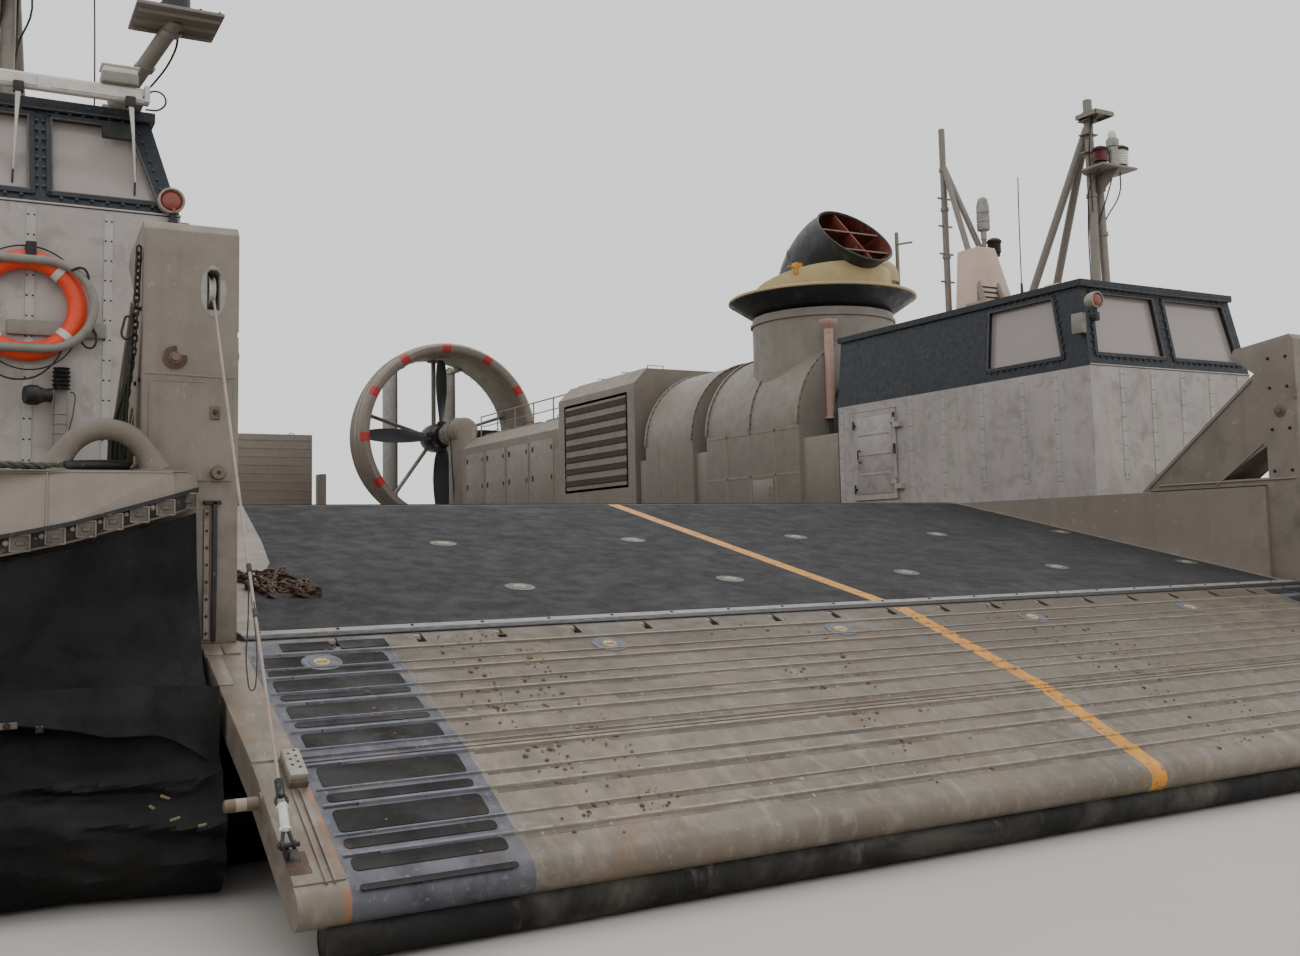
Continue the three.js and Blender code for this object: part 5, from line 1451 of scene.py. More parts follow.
def deck_edge_seams():
    """Weld lines and a crease on the sloped plating at the bow corner."""
    path = bow_path()
    beads = []
    for share in (0.03, 0.16, 0.30, 0.44, 0.58, 0.72, 0.86):
        x, y, turn, reach, strip, side = run_along(path, share)
        shelf = 0.185 - 0.115 * side if x > 4.56 else 0.05
        beads.append(line([out_from(x, y, turn, 0.006, DECK), out_from(x, y, turn, shelf, DECK),
                           out_from(x, y, turn, reach, strip)], 0.004, False, 1))
    corner = [row for row in path if row[0] > 4.5 and row[1] < 2.5]
    beads.append(line([out_from(*row[:3], 0.183 - 0.115 * row[5], DECK) for row in corner], 0.007,
                      False, 1))
    return coated(beads, hull_paint)


def post_chain():
    """A light chain and a loose net that hang by the post's outboard edge."""
    path = [(4.70, 0.03, 2.93), (4.705, 0.05, 2.70), (4.715, 0.05, 2.45), (4.74, 0.10, 2.20),
            (4.76, 0.14, 2.0), (4.77, 0.18, 1.87)]
    links = chain(path, dark_metal, 0.045, 0.0055)
    ring = coated(line([(4.735, 0.03, 2.50), (4.725, 0.03, 2.56), (4.745, 0.03, 2.60), (4.765, 0.03, 2.56),
                        (4.76, 0.03, 2.49)], 0.006, ring=True), dark_metal)
    strands = []
    draw = random.Random(8)
    for i in range(26):
        low = 4.735 + 0.075 * draw.random()
        deep = 0.06 + 0.14 * draw.random()
        strands.append(line([(4.72, 0.06, 2.62 - 0.2 * draw.random()),
                             (4.725 + 0.02 * draw.random(), deep, 2.3),
                             (low, deep + 0.03 * draw.random(), 2.05), (low + 0.01, deep, 1.855)],
                            0.006, sides=1, fine=3))
    net = coated(strands, net_cord)
    return joined(links, ring, net)


settle_pair(ramp_post(), "ramp_post_frame", nodes=["{}_ramp_post"])
settle_pair(post_front(), "ramp_post_fittings")
settle_pair(post_sheave(), "ramp_post_sheave")
settle_pair(post_brace_plates(), "ramp_post_brace_edges")
settle_pair(post_pin(), "ramp_post_stow_pin")
settle_pair(mooring_ring(), "mooring_ring_bar", nodes=["{}_mooring_ring"], smooth=50)
settle_pair(deck_edge_seams(), "bow_corner_seams")
settle_pair(post_chain(), "ramp_post_chain")


# Hoist cables, the wire rope in the mooring rings, and the bumper below the ramp's nose

SLOT = Vector((SLOT_X, -0.012, 2.70))
LUG = on_ramp(4.400, 1.86, TREAD + 0.055)


def hoist_cable():
    """The hoist cable with its sleeve, turnbuckle and fork, and a slack safety wire beside it."""
    def at(share):
        return LUG.lerp(SLOT, share) + Vector((0, 0, -0.035 * math.sin(math.pi * share)))

    lay = (SLOT - LUG).normalized()
    wire = line([at(0.09 + 0.91 * i / 16) for i in range(17)], 0.0065, sides=2)
    barrel = lathed([(0, 0), (0.011, 0.004), (0.017, 0.018), (0.017, 0.10), (0.011, 0.114), (0, 0.118)],
                    at(0.017), lay, 16)
    nuts = [disc(0.021, 0.014, at(share), lay, 6) for share in (0.020, 0.052)]
    sleeve = rod(at(0.068), at(0.093), 0.016, 16)
    link = line([at(0.052), at(0.058) + Vector((0.018, 0, 0)), at(0.066) + Vector((0.018, 0, 0)), at(0.071),
                 at(0.066) - Vector((0.018, 0, 0)), at(0.058) - Vector((0.018, 0, 0))], 0.006, ring=True)
    fork = [rod(at(0.018) + Vector((dx * 0.5, 0, 0)), LUG + Vector((dx, 0, 0)), 0.007, 10)
            for dx in (-0.020, 0.020)]
    pin = rod(LUG - Vector((0.042, 0, 0)), LUG + Vector((0.036, 0, 0)), 0.009, 12)
    eyes = [lathed([(0.008, 0), (0.017, 0), (0.017, 0.010), (0.008, 0.010)], LUG + Vector((dx, 0, 0)),
                   (1, 0, 0), 16) for dx in (-0.027, 0.017)]
    slack = line([at(0.44), at(0.44) + Vector((0.004, -0.01, -0.20)),
                  at(0.44) + Vector((0.008, -0.02, -0.44)), at(0.44) + Vector((-0.006, -0.05, -0.50)),
                  at(0.44) + Vector((-0.018, -0.07, -0.44)), at(0.38), at(0.36)], 0.003, sides=1)
    clips = [rod(at(share) - lay * 0.02, at(share) + lay * 0.02, 0.011, 10) for share in (0.36, 0.44)]
    return joined(coated(wire, cable_steel), coated([barrel, nuts], off_white),
                  coated([sleeve, link, fork, pin, eyes], black_trim), coated([slack, clips], dark_rope))


def mooring_rope():
    """A wire rope with a black sleeve, led through the mooring ring from a cleat on the corner."""
    middle = [Vector(point) for point in ((5.86, 0.30, 1.905), (5.74, 0.18, 1.900), (5.60, 0.0, 1.892),
                                          (5.45, -0.12, 1.872), (5.30, -0.165, 1.862),
                                          (5.16, -0.165, 1.857), (5.04, -0.15, 1.857), (4.92, -0.10, 1.866),
                                          (4.80, -0.05, 1.870))]
    ropes = []
    count = 90
    for start in (0, 2 * math.pi / 3, 4 * math.pi / 3):
        points = []
        for i in range(count + 1):
            share = i / count * (len(middle) - 1)
            step = min(int(share), len(middle) - 2)
            at = middle[step].lerp(middle[step + 1], share - step)
            lay = (middle[step + 1] - middle[step]).normalized()
            beside = lay.cross(Vector((0, 0, 1))).normalized()
            angle = start + 0.55 * i
            points.append(at + (beside * math.cos(angle) + beside.cross(lay) * math.sin(angle)) * 0.0085)
        ropes.append(line(points, 0.0095, sides=2, smooth=False))
    sleeve = line([(5.03, -0.145, 1.858), (4.92, -0.10, 1.868), (4.80, -0.045, 1.872),
                   (4.74, -0.02, 1.872)], 0.024, sides=4)
    cleat = joined(block((5.79, 0.24, DECK), (5.93, 0.38, DECK + 0.010), 0.004, 1),
                   rod((5.86, 0.31, DECK), (5.86, 0.31, DECK + 0.12), 0.028),
                   rod((5.76, 0.31, DECK + 0.085), (5.96, 0.31, DECK + 0.085), 0.020))
    loops = line([(5.86 + 0.055 * math.cos(a), 0.31 + 0.055 * math.sin(a), DECK + 0.05 + 0.006 * a)
                  for a in (0.5 * i for i in range(20))], 0.013)
    return joined(coated([ropes, loops], dark_rope), coated(sleeve, black_trim), coated(cleat, hull_paint))


def ramp_bumper():
    """The rubber bumper under the ramp's nose: a lumpy, muddy tube with raised rings."""
    y, z = -1.909, 0.0845

    def place(u, v):
        x = -4.3 + 8.6 * u
        angle = 2 * math.pi * v
        radius = (0.0765 + 0.004 * folds((x * 1.3, math.cos(angle), math.sin(angle)), 3, 1.5)
                  + 0.002 * folds((x * 6, math.cos(angle), 0), 7, 2.0))
        sag = 0.007 * folds((x, 0, 0), 9, 0.9)
        return Vector((x, y + radius * math.cos(angle), max(0.006, z + sag * 0.5 + radius * math.sin(angle))))

    tube, _ = cloth(180, 28, place)
    rings = [disc(0.0795, 0.035, (x, y, z), (1, 0, 0), 32)
             for x in (-4.298, -2.866, -1.434, -0.018, 1.399, 2.831, 4.263)]
    return coated([tube, rings], bumper_rubber)


cables = settle_pair(hoist_cable(), "hoist_cable")
for side_name, side in SIDES:
    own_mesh(cables[side_name])
settle_pair(mooring_rope(), "mooring_rope")
settle(ramp_bumper(), "bow_ramp_bumper_tube", "bow_ramp", ["bow_ramp_bumper"], 50)


# Cabins, modelled to port: wall strips, window frames, lamps, wipers, door and what hangs on the front

def front_strips(xs, z0, z1):
    """Riveted joint strips up a cabin's front wall."""
    strips, rivets, y0 = [], [], CABIN_FRONT
    for x in xs:
        strips.append(block((x - 0.0275, y0 - 0.006, z0), (x + 0.0275, y0 + 0.002, z1), 0.002, 1))
        count = round((z1 - z0) / 0.13)
        for dx in (-0.017, 0.017):
            rivets += [(x + dx, y0 - 0.006, z) for z in spaced_values(z0 + 0.05, z1 - 0.05, count)]
    heads = fastened(rivets, (0, -1, 0), dark_metal, dome_rivet, radius=0.0065)
    return joined(coated(strips, strip_metal), heads)


def side_strips(x, ys, z0, z1, facing):
    """Riveted strips on a wall that faces along X."""
    strips, rivets = [], []
    for y in ys:
        strips.append(block((x - 0.005, y - 0.0275, z0), (x + 0.005, y + 0.0275, z1), 0.002, 1))
        rivets += [(x + facing * 0.005, y + dy, z) for dy in (-0.017, 0.017)
                   for z in spaced_values(z0 + 0.05, z1 - 0.05, max(3, round((z1 - z0) / 0.14)))]
    heads = fastened(rivets, (facing, 0, 0), dark_metal, dome_rivet, radius=0.0065)
    return joined(coated(strips, strip_metal), heads)


def wall_strips(top):
    """All strips on one cabin's front and side walls, up to a height."""
    foot = 1.99
    return joined(front_strips((4.632, 5.077, 5.52, 5.965, 6.41), foot, top),
                  side_strips(CABIN_IN, (2.55, 3.0, 3.6, 4.2, 4.75, 6.03), foot, top, -1),
                  side_strips(CABIN_OUT, (2.55, 3.15, 3.75, 4.35, 4.95, 5.55), foot, top, 1))


def pane_frame(corners, normal):
    """A raised frame, a light inner border and rows of bolts round one window pane."""
    normal = Vector(normal).normalized()
    corners = [Vector(corner) for corner in corners]
    middle = sum(corners, Vector()) / 4
    bars, lights, spots = [], [], []
    for here, there in zip(corners, corners[1:] + corners[:1]):
        push = (here + there) / 2 - middle
        push = (push - normal * push.dot(normal)).normalized()
        along_edge = (there - here).normalized()
        for width, low, high, away, into in ((0.034, -0.002, 0.010, 0.016, bars),
                                             (0.009, -0.004, 0.012, -0.004, lights)):
            ends = [here + push * away - along_edge * (away + 0.010),
                    there + push * away + along_edge * (away + 0.010)]
            profile = [end + push * side * width / 2 + normal * high
                       for end, side in ((ends[0], -1), (ends[0], 1), (ends[1], 1), (ends[1], -1))]
            into.append(prism([tuple(point) for point in profile], normal * (low - high), 0.002, 1))
        length = (there - here).length
        count = round(length / 0.085)
        spots += [here + along_edge * (length * (i + 0.5) / count) + push * 0.045 + normal * 0.004
                  for i in range(count)]
    heads = fastened(spots, normal, frame_bolt, radius=0.009, height=0.007)
    return joined(coated(bars, frame_paint), coated(lights, pane_seal), heads)


def cabin_windows(sill, head, lean_front, lean_side, margin, top_margin, fronts, sides):
    """Frames round every pane of one cabin's leaning windows, and the dark edge of its roof."""
    low, high = sill + margin, head - top_margin
    rise = head - sill
    y_low, y_high = (CABIN_FRONT + lean_front * (z - sill) / rise for z in (low, high))
    normal = Vector((0, -rise, lean_front))
    lift = normal.normalized() * 0.003
    parts = []
    for x0, x1 in fronts:
        x0_high = x0 + (lean_side if x0 < 4.4 else 0)
        x1_high = x1 - (lean_side if x1 > 6.4 else 0)
        parts.append(pane_frame([Vector((x0, y_low, low)) + lift, Vector((x1, y_low, low)) + lift,
                                 Vector((x1_high, y_high, high)) + lift,
                                 Vector((x0_high, y_high, high)) + lift], normal))
    x_in = [CABIN_IN + lean_side * (z - sill) / rise for z in (low, high)]
    x_out = [CABIN_OUT - lean_side * (z - sill) / rise for z in (low, high)]
    for y0, y1 in sides:
        y0_high = y0 + (lean_front if y0 < 2.6 else 0)
        for xs, facing in ((x_in, -1), (x_out, 1)):
            normal = Vector((facing * rise, 0, lean_side))
            lift = normal.normalized() * 0.003
            parts.append(pane_frame([Vector((xs[0], y0, low)) + lift, Vector((xs[0], y1, low)) + lift,
                                     Vector((xs[1], y1, high)) + lift,
                                     Vector((xs[1], y0_high, high)) + lift], normal))
    x0, x1 = CABIN_IN + lean_side - 0.025, CABIN_OUT - lean_side + 0.025
    y0, y1 = CABIN_FRONT + lean_front - 0.025, 6.125
    z0, z1 = head - 0.004, head + 0.064
    rims = [block((x0 - 0.006, y0 - 0.007, z0), (x1 + 0.006, y0 - 0.001, z1), 0.002, 1),
            block((x0 - 0.006, y1 + 0.001, z0), (x1 + 0.006, y1 + 0.006, z1), 0.002, 1),
            block((x0 - 0.006, y0 - 0.006, z0), (x0 - 0.001, y1 + 0.006, z1), 0.002, 1),
            block((x1 + 0.001, y0 - 0.006, z0), (x1 + 0.006, y1 + 0.006, z1), 0.002, 1)]
    studs = [(x, y0 - 0.007, z0 + 0.035) for x in spaced_values(x0 + 0.06, x1 - 0.06, 24)]
    rain_bar = line([(x0 + 0.05, y0 - 0.03, head - 0.01), ((x0 + x1) / 2, y0 - 0.035, head - 0.02),
                     (x1 - 0.05, y0 - 0.03, head - 0.01)], 0.009, sides=1)
    sill_bar = block((4.196, 2.090, sill + 0.006), (6.604, 2.099, sill + 0.018), 0.002, 1)
    return joined(parts, coated(rims, frame_paint), coated(rain_bar, black_trim),
                  coated(sill_bar, strip_metal),
                  fastened(studs, (0, -1, 0), frame_bolt, dome_rivet, radius=0.008))


def life_ring():
    """The life ring in its bent-tube guard, with bands, grab line, bracket bar and hanging cables."""
    middle = Vector((5.095, 2.037, 2.985))
    ring = fixed(ring_of(0.285, 0.058, 72, 18), aimed(middle, (0, 1, 0)))
    bands = []
    for a in angles(90, 4, 40):
        wrap = lathed([(0.0615, -0.022), (0.0625, -0.022), (0.0625, 0.022), (0.0615, 0.022),
                       (0.0615, -0.022)], steps=24)
        at = middle + Vector((0.285 * math.cos(a), 0, 0.285 * math.sin(a)))
        bands.append(fixed(wrap, aimed(at, (-math.sin(a), 0, math.cos(a)))))
    rope = []
    for quarter, slack in enumerate((0.016, 0.016, 0.046, 0.016)):
        points = []
        for k in range(9):
            angle = math.radians(40 + 90 * quarter) + math.pi / 2 * k / 8
            out = 0.352 + slack * math.sin(math.pi * k / 8)
            points.append(middle + Vector((out * math.cos(angle), -0.02, out * math.sin(angle))))
        rope.append(line(points, 0.005, sides=1))
    guard_y, low, high = 1.955, 2.712, 3.257
    radius = (high - low) / 2
    stadium = [Vector((4.995 - radius * math.sin(a), guard_y, low + radius - radius * math.cos(a)))
               for a in angles(12, 16)]
    stadium += [Vector((5.60, guard_y, high)), Vector((5.66, guard_y + 0.03, high)),
                Vector((5.69, 2.10, high))]
    stadium = [Vector((5.69, 2.10, low)), Vector((5.66, guard_y + 0.03, low)),
               Vector((5.60, guard_y, low))] + stadium
    guard = line(stadium, 0.0275, sides=4, smooth=False)
    feet = [block((5.62, 2.085, z - 0.06), (5.76, 2.10, z + 0.06), 0.004, 1) for z in (low, high)]
    posts = [rod((5.08, guard_y, high), (5.08, 2.10, high), 0.018, 10),
             rod((5.08, guard_y, low), (5.08, 2.10, low), 0.018, 10)]
    hook = block((5.05, 1.95, 3.25), (5.11, 2.10, 3.37), 0.006)
    bar = block((4.64, 2.060, 2.81), (5.20, 2.098, 2.90), 0.005)
    cables = [line([(4.72, 2.07, 2.88), (4.70, 2.03, 2.80), (4.73, 2.03, 2.74), (4.80, 2.05, 2.80),
                    (4.84, 2.06, 2.86)], 0.007),
              line([(4.86, 2.05, 2.85), (4.95, 1.99, 2.62), (5.12, 1.97, 2.52), (5.32, 1.98, 2.60),
                    (5.45, 2.06, 2.82)], 0.006),
              line([(4.86, 1.93, 3.20), (4.80, 1.92, 3.22), (4.765, 1.935, 3.19), (4.76, 1.95, 3.12)],
                   0.008)]
    buckle = joined(block((5.36, 1.93, 2.83), (5.46, 1.95, 2.93), 0.01),
                    rod((5.41, 1.925, 2.88), (5.41, 1.96, 2.88), 0.03))
    return joined(coated(ring, ring_foam), coated(bands, off_white), coated(rope, net_cord),
                  coated([guard, feet, posts], guard_paint), coated(hook, dark_metal),
                  coated(bar, guard_paint), coated(cables, black_trim), coated(buckle, cup_yellow))


def ring_of(big, small, around, section):
    profile = [(big + small * math.cos(a), small * math.sin(a))
               for a in (2 * math.pi * i / section for i in range(section + 1))]
    return lathed(profile, steps=around)


def washer_nozzle():
    """A black nozzle on a bellows and a grey post, with a thin wire beside it."""
    post = block((4.862, 2.03, 2.10), (4.93, 2.10, 2.50), 0.006)
    seams = [block((4.858, 2.024, z), (4.934, 2.10, z + 0.012), 0.002, 1) for z in (2.20, 2.26, 2.32)]
    bellows = []
    for i in range(5):
        bellows += [(0.055, 0.026 * i), (0.040, 0.026 * i + 0.013)]
    bellows = lathed([(0, 0)] + bellows + [(0.05, 0.13), (0, 0.13)], (4.895, 2.02, 2.475))
    head = [(0, 0), (0.052, 0), (0.062, 0.03), (0.062, 0.07), (0.050, 0.09), (0.040, 0.12), (0.044, 0.15),
            (0, 0.16)]
    nozzle = lathed(head, (5.10, 1.95, 2.425), (-1, 0.25, 0.03), 28)
    wire = line([(4.84, 2.06, 2.46), (4.825, 2.05, 2.46), (4.82, 2.05, 2.36), (4.845, 2.06, 2.22)], 0.003,
                sides=1)
    return joined(coated([post, seams], guard_paint), coated([bellows, nozzle, wire], black_trim))


def corner_lamp():
    """The amber lamp in its round housing at the cabin's leaning corner, with a junction box under it."""
    at = Vector((4.265, 2.045, 3.735))
    shell = lathed([(0, 0.10), (0.06, 0.10), (0.078, 0.07), (0.084, 0.02), (0.084, -0.02), (0.072, -0.024),
                    (0.070, -0.006), (0, -0.006)], at, (0, 1, 0), 36)
    lens = lathed([(0.069, -0.004), (0.060, -0.014), (0.035, -0.022), (0, -0.025)], at, (0, 1, 0), 36)
    rings = [ring_of(0.05 - 0.015 * i, 0.0025, 28, 6) for i in range(3)]
    rings = [fixed(ring, aimed(at + Vector((0, -0.016 - 0.003 * i, 0)), (0, 1, 0)))
             for i, ring in enumerate(rings)]
    stub = joined(block((4.232, 2.04, 3.60), (4.272, 2.10, 3.66), 0.004),
                  block((4.225, 2.02, 3.53), (4.28, 2.10, 3.615), 0.008))
    amber = rod((4.252, 2.03, 3.655), (4.252, 2.03, 3.685), 0.012)
    box = block((4.14, 2.12, 3.42), (4.20, 2.26, 3.62), 0.006)
    return joined(coated(shell, beige_seal), coated([lens, rings], amber_lens), coated(stub, black_trim),
                  coated(amber, amber_lens), coated(box, guard_paint))


def wipers():
    """The wiper beam with its motor, and two arms hanging over the front panes."""
    beam = block((4.40, 2.115, 4.385), (6.35, 2.185, 4.485), 0.018, 3)
    lids = [block((4.44 + 0.62 * i, 2.108, 4.40), (4.98 + 0.62 * i, 2.118, 4.47), 0.004, 1) for i in range(3)]
    motor = block((4.475, 2.075, 4.545), (4.685, 2.225, 4.598), 0.016, 3)
    under = block((4.470, 2.070, 4.484), (4.690, 2.230, 4.552), 0.008)
    caps = [block((4.465, 2.065, 4.590), (4.695, 2.235, 4.602), 0.004, 1),
            block((4.395, 2.10, 4.39), (4.43, 2.20, 4.50), 0.006)]
    brackets = [block((x - 0.04, 2.18, 4.432), (x + 0.04, 2.56, 4.478), 0.006) for x in (4.45, 6.30)]
    light, dark = [], []
    for x, lean in ((4.515, -0.05), (5.166, 0.015)):
        pivot = Vector((x, 2.10, 4.39))
        dark.append(block(pivot - Vector((0.03, 0.02, 0.05)), pivot + Vector((0.03, 0.03, 0.02)), 0.006))
        tip = Vector((x + lean, 2.245, 3.88))
        elbow = pivot.lerp(tip, 0.45) + Vector((0, -0.05, 0))
        light.append(prism([pivot + Vector((-0.018, -0.02, 0)), pivot + Vector((0.018, -0.02, 0)),
                            elbow + Vector((0.009, 0, 0)), elbow + Vector((-0.009, 0, 0))], (0, 0.012, 0),
                           0.003, 1))
        light.append(prism([elbow + Vector((-0.009, 0, 0)), elbow + Vector((0.009, 0, 0)),
                            tip + Vector((0.006, -0.028, 0)), tip + Vector((-0.006, -0.028, 0))],
                           (0, 0.012, 0), 0.003, 1))
        blade_low = tip + Vector((0.004, -0.02, -0.12))
        blade_high = tip + Vector((-0.006, 0.03, 0.18))
        dark.append(line([blade_low, tip + Vector((0, -0.012, 0.02)), blade_high], 0.007, sides=1))
    hose = joined(line([(4.44, 2.12, 4.42), (4.36, 2.10, 4.47), (4.30, 2.10, 4.42), (4.33, 2.12, 4.36),
                        (4.42, 2.14, 4.35)], 0.006), block((4.47, 2.32, 4.19), (4.66, 2.36, 4.30), 0.008))
    return joined(coated([beam, motor, caps, lids, light], off_white), coated([under, brackets], guard_paint),
                  coated([dark, hose], black_trim))


def lamp_pole():
    """The leaning lamp pole with its base, clamp collars, square sun plate and lamp."""
    foot, head = Vector((4.56, 2.64, 4.48)), Vector((4.42, 2.12, 5.08))
    pole = rod(foot, head, 0.055, 24)
    axis = (head - foot).normalized()
    collars = [lathed([(0.055, 0), (0.07, 0.004), (0.07, 0.05), (0.055, 0.054)], foot + axis * d, axis, 24)
               for d in (0.05, 0.36, 0.68)]
    base = block((4.49, 2.57, 4.432), (4.64, 2.72, 4.50), 0.01)
    plate = block((4.15, 1.88, 5.06), (4.69, 2.36, 5.084), 0.005)
    ribs = [block((4.17, y, 5.035), (4.67, y + 0.008, 5.062), 0.002, 1) for y in (1.95, 2.12, 2.29)]
    lamp_part = lathed([(0, 0), (0.07, 0), (0.09, 0.02), (0.09, 0.15), (0.075, 0.17), (0.075, 0.21),
                        (0.06, 0.24), (0, 0.245)], (4.42, 2.12, 5.078), steps=36)
    bars = [rod((4.42 + 0.085 * math.cos(a), 2.12 + 0.085 * math.sin(a), 5.08),
                (4.42 + 0.08 * math.cos(a), 2.12 + 0.08 * math.sin(a), 5.26), 0.006, 6)
            for a in angles(60, 6)]
    brace = rod((4.60, 2.60, 4.55), (4.44, 2.22, 4.95), 0.014)
    cable = line([(4.40, 2.17, 5.04), (4.36, 2.26, 4.9), (4.40, 2.45, 4.65), (4.50, 2.60, 4.46)], 0.008)
    bolts = fastened([(4.18 + 0.12 * i, y, 5.084) for i in range(5) for y in (1.90, 2.34)], (0, 0, 1),
                     dark_metal)
    whole = joined(coated([pole, collars, base, plate, ribs, brace], mast_paint),
                   coated(lamp_part, thruster_dark), coated(bars, mast_paint), coated(cable, black_trim),
                   bolts)
    lean = Vector((-0.18, 0, -0.10))  # its head stands this much further inboard and lower
    return reshaped(whole, lambda co: co + lean * min(1.0, max(0.0, (co.z - 4.50) / 0.53)))


def console():
    """The control console: a slanted panel with screens, keys and a hood, on a bevelled body."""
    profile = [(2.36, 2.66), (2.96, 2.66), (2.96, 3.25), (2.78, 3.40), (2.52, 3.56), (2.36, 3.56)]
    body = across(profile, 4.42, 6.38, 0.02)
    screens, keys = [], []
    for x in (4.62, 5.18, 5.74):
        screens.append(prism([(x, 2.785, 3.400), (x + 0.42, 2.785, 3.400), (x + 0.42, 2.55, 3.545),
                              (x, 2.55, 3.545)], (0, 0.006, 0.010), 0.003, 1))
        keys += [(x + 0.04 + 0.055 * i, 2.86 + 0.035 * k, 3.333 - 0.029 * k) for i in range(7)
                 for k in range(2)]
    knobs = fastened(keys, (0, 0.64, 0.77), dark_metal, dome_rivet, radius=0.013)
    return joined(coated(body, console_grey), coated(screens, screen_glass), knobs)


def seats():
    """Three crew seats with padded cushions, headrests, arms and belts, on their pedestals."""
    parts = []
    for x in (4.78, 5.40, 6.02):
        cushion = eased(block((x - 0.235, 3.46, 3.00), (x + 0.235, 3.94, 3.10)), 0.045, 4)
        back = across([(3.865, 3.11), (3.955, 3.10), (4.052, 3.79), (3.985, 3.81)], x - 0.225, x + 0.225,
                      0.03)
        rest = eased(block((x - 0.125, 3.99, 3.80), (x + 0.125, 4.06, 3.97)), 0.03, 4)
        pedestal = lathed([(0, 2.68), (0.12, 2.68), (0.07, 2.72), (0.055, 2.98), (0.12, 3.0), (0, 3.0)],
                          (x, 3.70, 0))
        arms = [block((x + dx - 0.025, 3.55, 3.24), (x + dx + 0.025, 3.90, 3.28), 0.012)
                for dx in (-0.262, 0.262)]
        belts = [line([(x + dx, 3.99, 3.74), (x + dx * 1.1, 3.90, 3.4), (x + dx * 1.6, 3.80, 3.112)], 0.012,
                      sides=1) for dx in (-0.09, 0.09)]
        parts += [coated([cushion, back, rest], seat_cloth), coated([pedestal, arms], dark_metal),
                  coated(belts, net_cord)]
    plate = block((4.50, 3.48, 2.652), (6.30, 3.92, 2.672), 0.006)
    return joined(parts + [coated(plate, dark_metal)])


def door_fittings():
    """Handle, dogs, hinges and a stiffened skin on one cabin door."""
    plate = block((4.172, 5.07, 2.0), (4.182, 5.73, 2.92), 0.006)
    ribs = [block((4.166, 5.10, z), (4.176, 5.70, z + 0.03), 0.004, 1) for z in (2.22, 2.46, 2.70)]
    hinges = [rod((4.163, 5.014, z), (4.163, 5.014, z + 0.12), 0.013, 12) for z in (2.05, 2.45, 2.82)]
    handle = line([(4.176, 5.66, 2.38), (4.135, 5.66, 2.39), (4.135, 5.66, 2.52), (4.176, 5.66, 2.53)],
                  0.009, False)
    dogs = [rod((4.18, 5.75, z), (4.150, 5.75, z), 0.014, 10) for z in (2.06, 2.84)]
    dogs += [block((4.146, 5.735, z - 0.055), (4.158, 5.765, z + 0.055), 0.004, 1) for z in (2.06, 2.84)]
    return joined(coated([plate, ribs], cabin_paint), coated([hinges, handle, dogs], dark_metal))


STARBOARD_WINDOWS = dict(sill=3.64, head=4.37, lean_front=0.37, lean_side=0.15, margin=0.095,
                         top_margin=0.065, fronts=((4.33, 4.96), (5.09, 5.72), (5.85, 6.47)),
                         sides=((2.56, 3.62), (3.74, 4.80), (4.92, 5.96)))
PORT_WINDOWS = dict(sill=3.10, head=3.92, lean_front=0.15, lean_side=0.08, margin=0.13, top_margin=0.065,
                    fronts=((4.33, 5.30), (5.46, 6.47)), sides=((2.46, 3.50),))


def settle_starboard(obj, name, nodes=(), smooth=32, body="hull"):
    other = mirrored(obj)
    bpy.data.objects.remove(obj)
    return settle(other, name, body, nodes, smooth)


settle_starboard(cabin_windows(**STARBOARD_WINDOWS), "starboard_window_frames")
settle(cabin_windows(**PORT_WINDOWS), "port_window_frames")
settle_starboard(wall_strips(3.62), "starboard_cabin_strips")
settle(wall_strips(3.08), "port_cabin_strips")
settle_starboard(life_ring(), "life_ring_in_guard", ["life_ring"])
settle_starboard(washer_nozzle(), "washer_nozzle")
settle_pair(corner_lamp(), "corner_lamp")
settle_starboard(wipers(), "wiper_gear", ["wiper_beam"])
settle_starboard(lamp_pole(), "sun_plate_lamp_pole", ["lamp_pole"])
settle_starboard(console(), "crew_console", ["control_console"])
settle_starboard(seats(), "padded_crew_seats", ["crew_seats"], 40)
settle_pair(door_fittings(), "cabin_door_fittings", "{}_cabin_door")


# Masts, aerials and lamps, modelled to port

def lamp_with_lens(at, radius, lens, cap=0.03):
    """A navigation lamp: base, ribbed lens and a dark cap."""
    base = lathed([(0, 0), (radius * 0.8, 0), (radius * 0.8, 0.03), (radius * 0.6, 0.04), (0, 0.04)], at)
    tall = radius * 1.5
    ribs = [(radius * (0.98 if i % 2 else 0.90), 0.04 + tall * i / 12) for i in range(13)]
    glass_part = lathed([(0, 0.04)] + ribs + [(0, 0.04 + tall)], at, steps=28)
    top = lathed([(0, 0), (radius * 1.04, 0), (radius * 1.06, cap * 0.5), (radius * 0.7, cap),
                  (radius * 0.2, cap * 1.3), (0, cap * 1.3)], Vector(at) + Vector((0, 0, 0.04 + tall)))
    return joined(coated(base, dark_metal), coated(glass_part, lens), coated(top, dark_metal))


def collar(radius, at):
    """A clamp collar round a pole."""
    out = radius + 0.012
    return lathed([(radius, 0), (out, 0.004), (out, 0.046), (radius, 0.05)], at)


def mast_shelf(x0, x1, y0, y1, z):
    """A tray with a turned-down rim."""
    plate = block((x0, y0, z), (x1, y1, z + 0.02), 0.004)
    rims = [block((x0, y0, z - 0.03), (x0 + 0.006, y1, z + 0.002)),
            block((x1 - 0.006, y0, z - 0.03), (x1, y1, z + 0.002)),
            block((x0, y0, z - 0.03), (x1, y0 + 0.006, z + 0.002)),
            block((x0, y1 - 0.006, z - 0.03), (x1, y1, z + 0.002))]
    return joined(plate, rims)


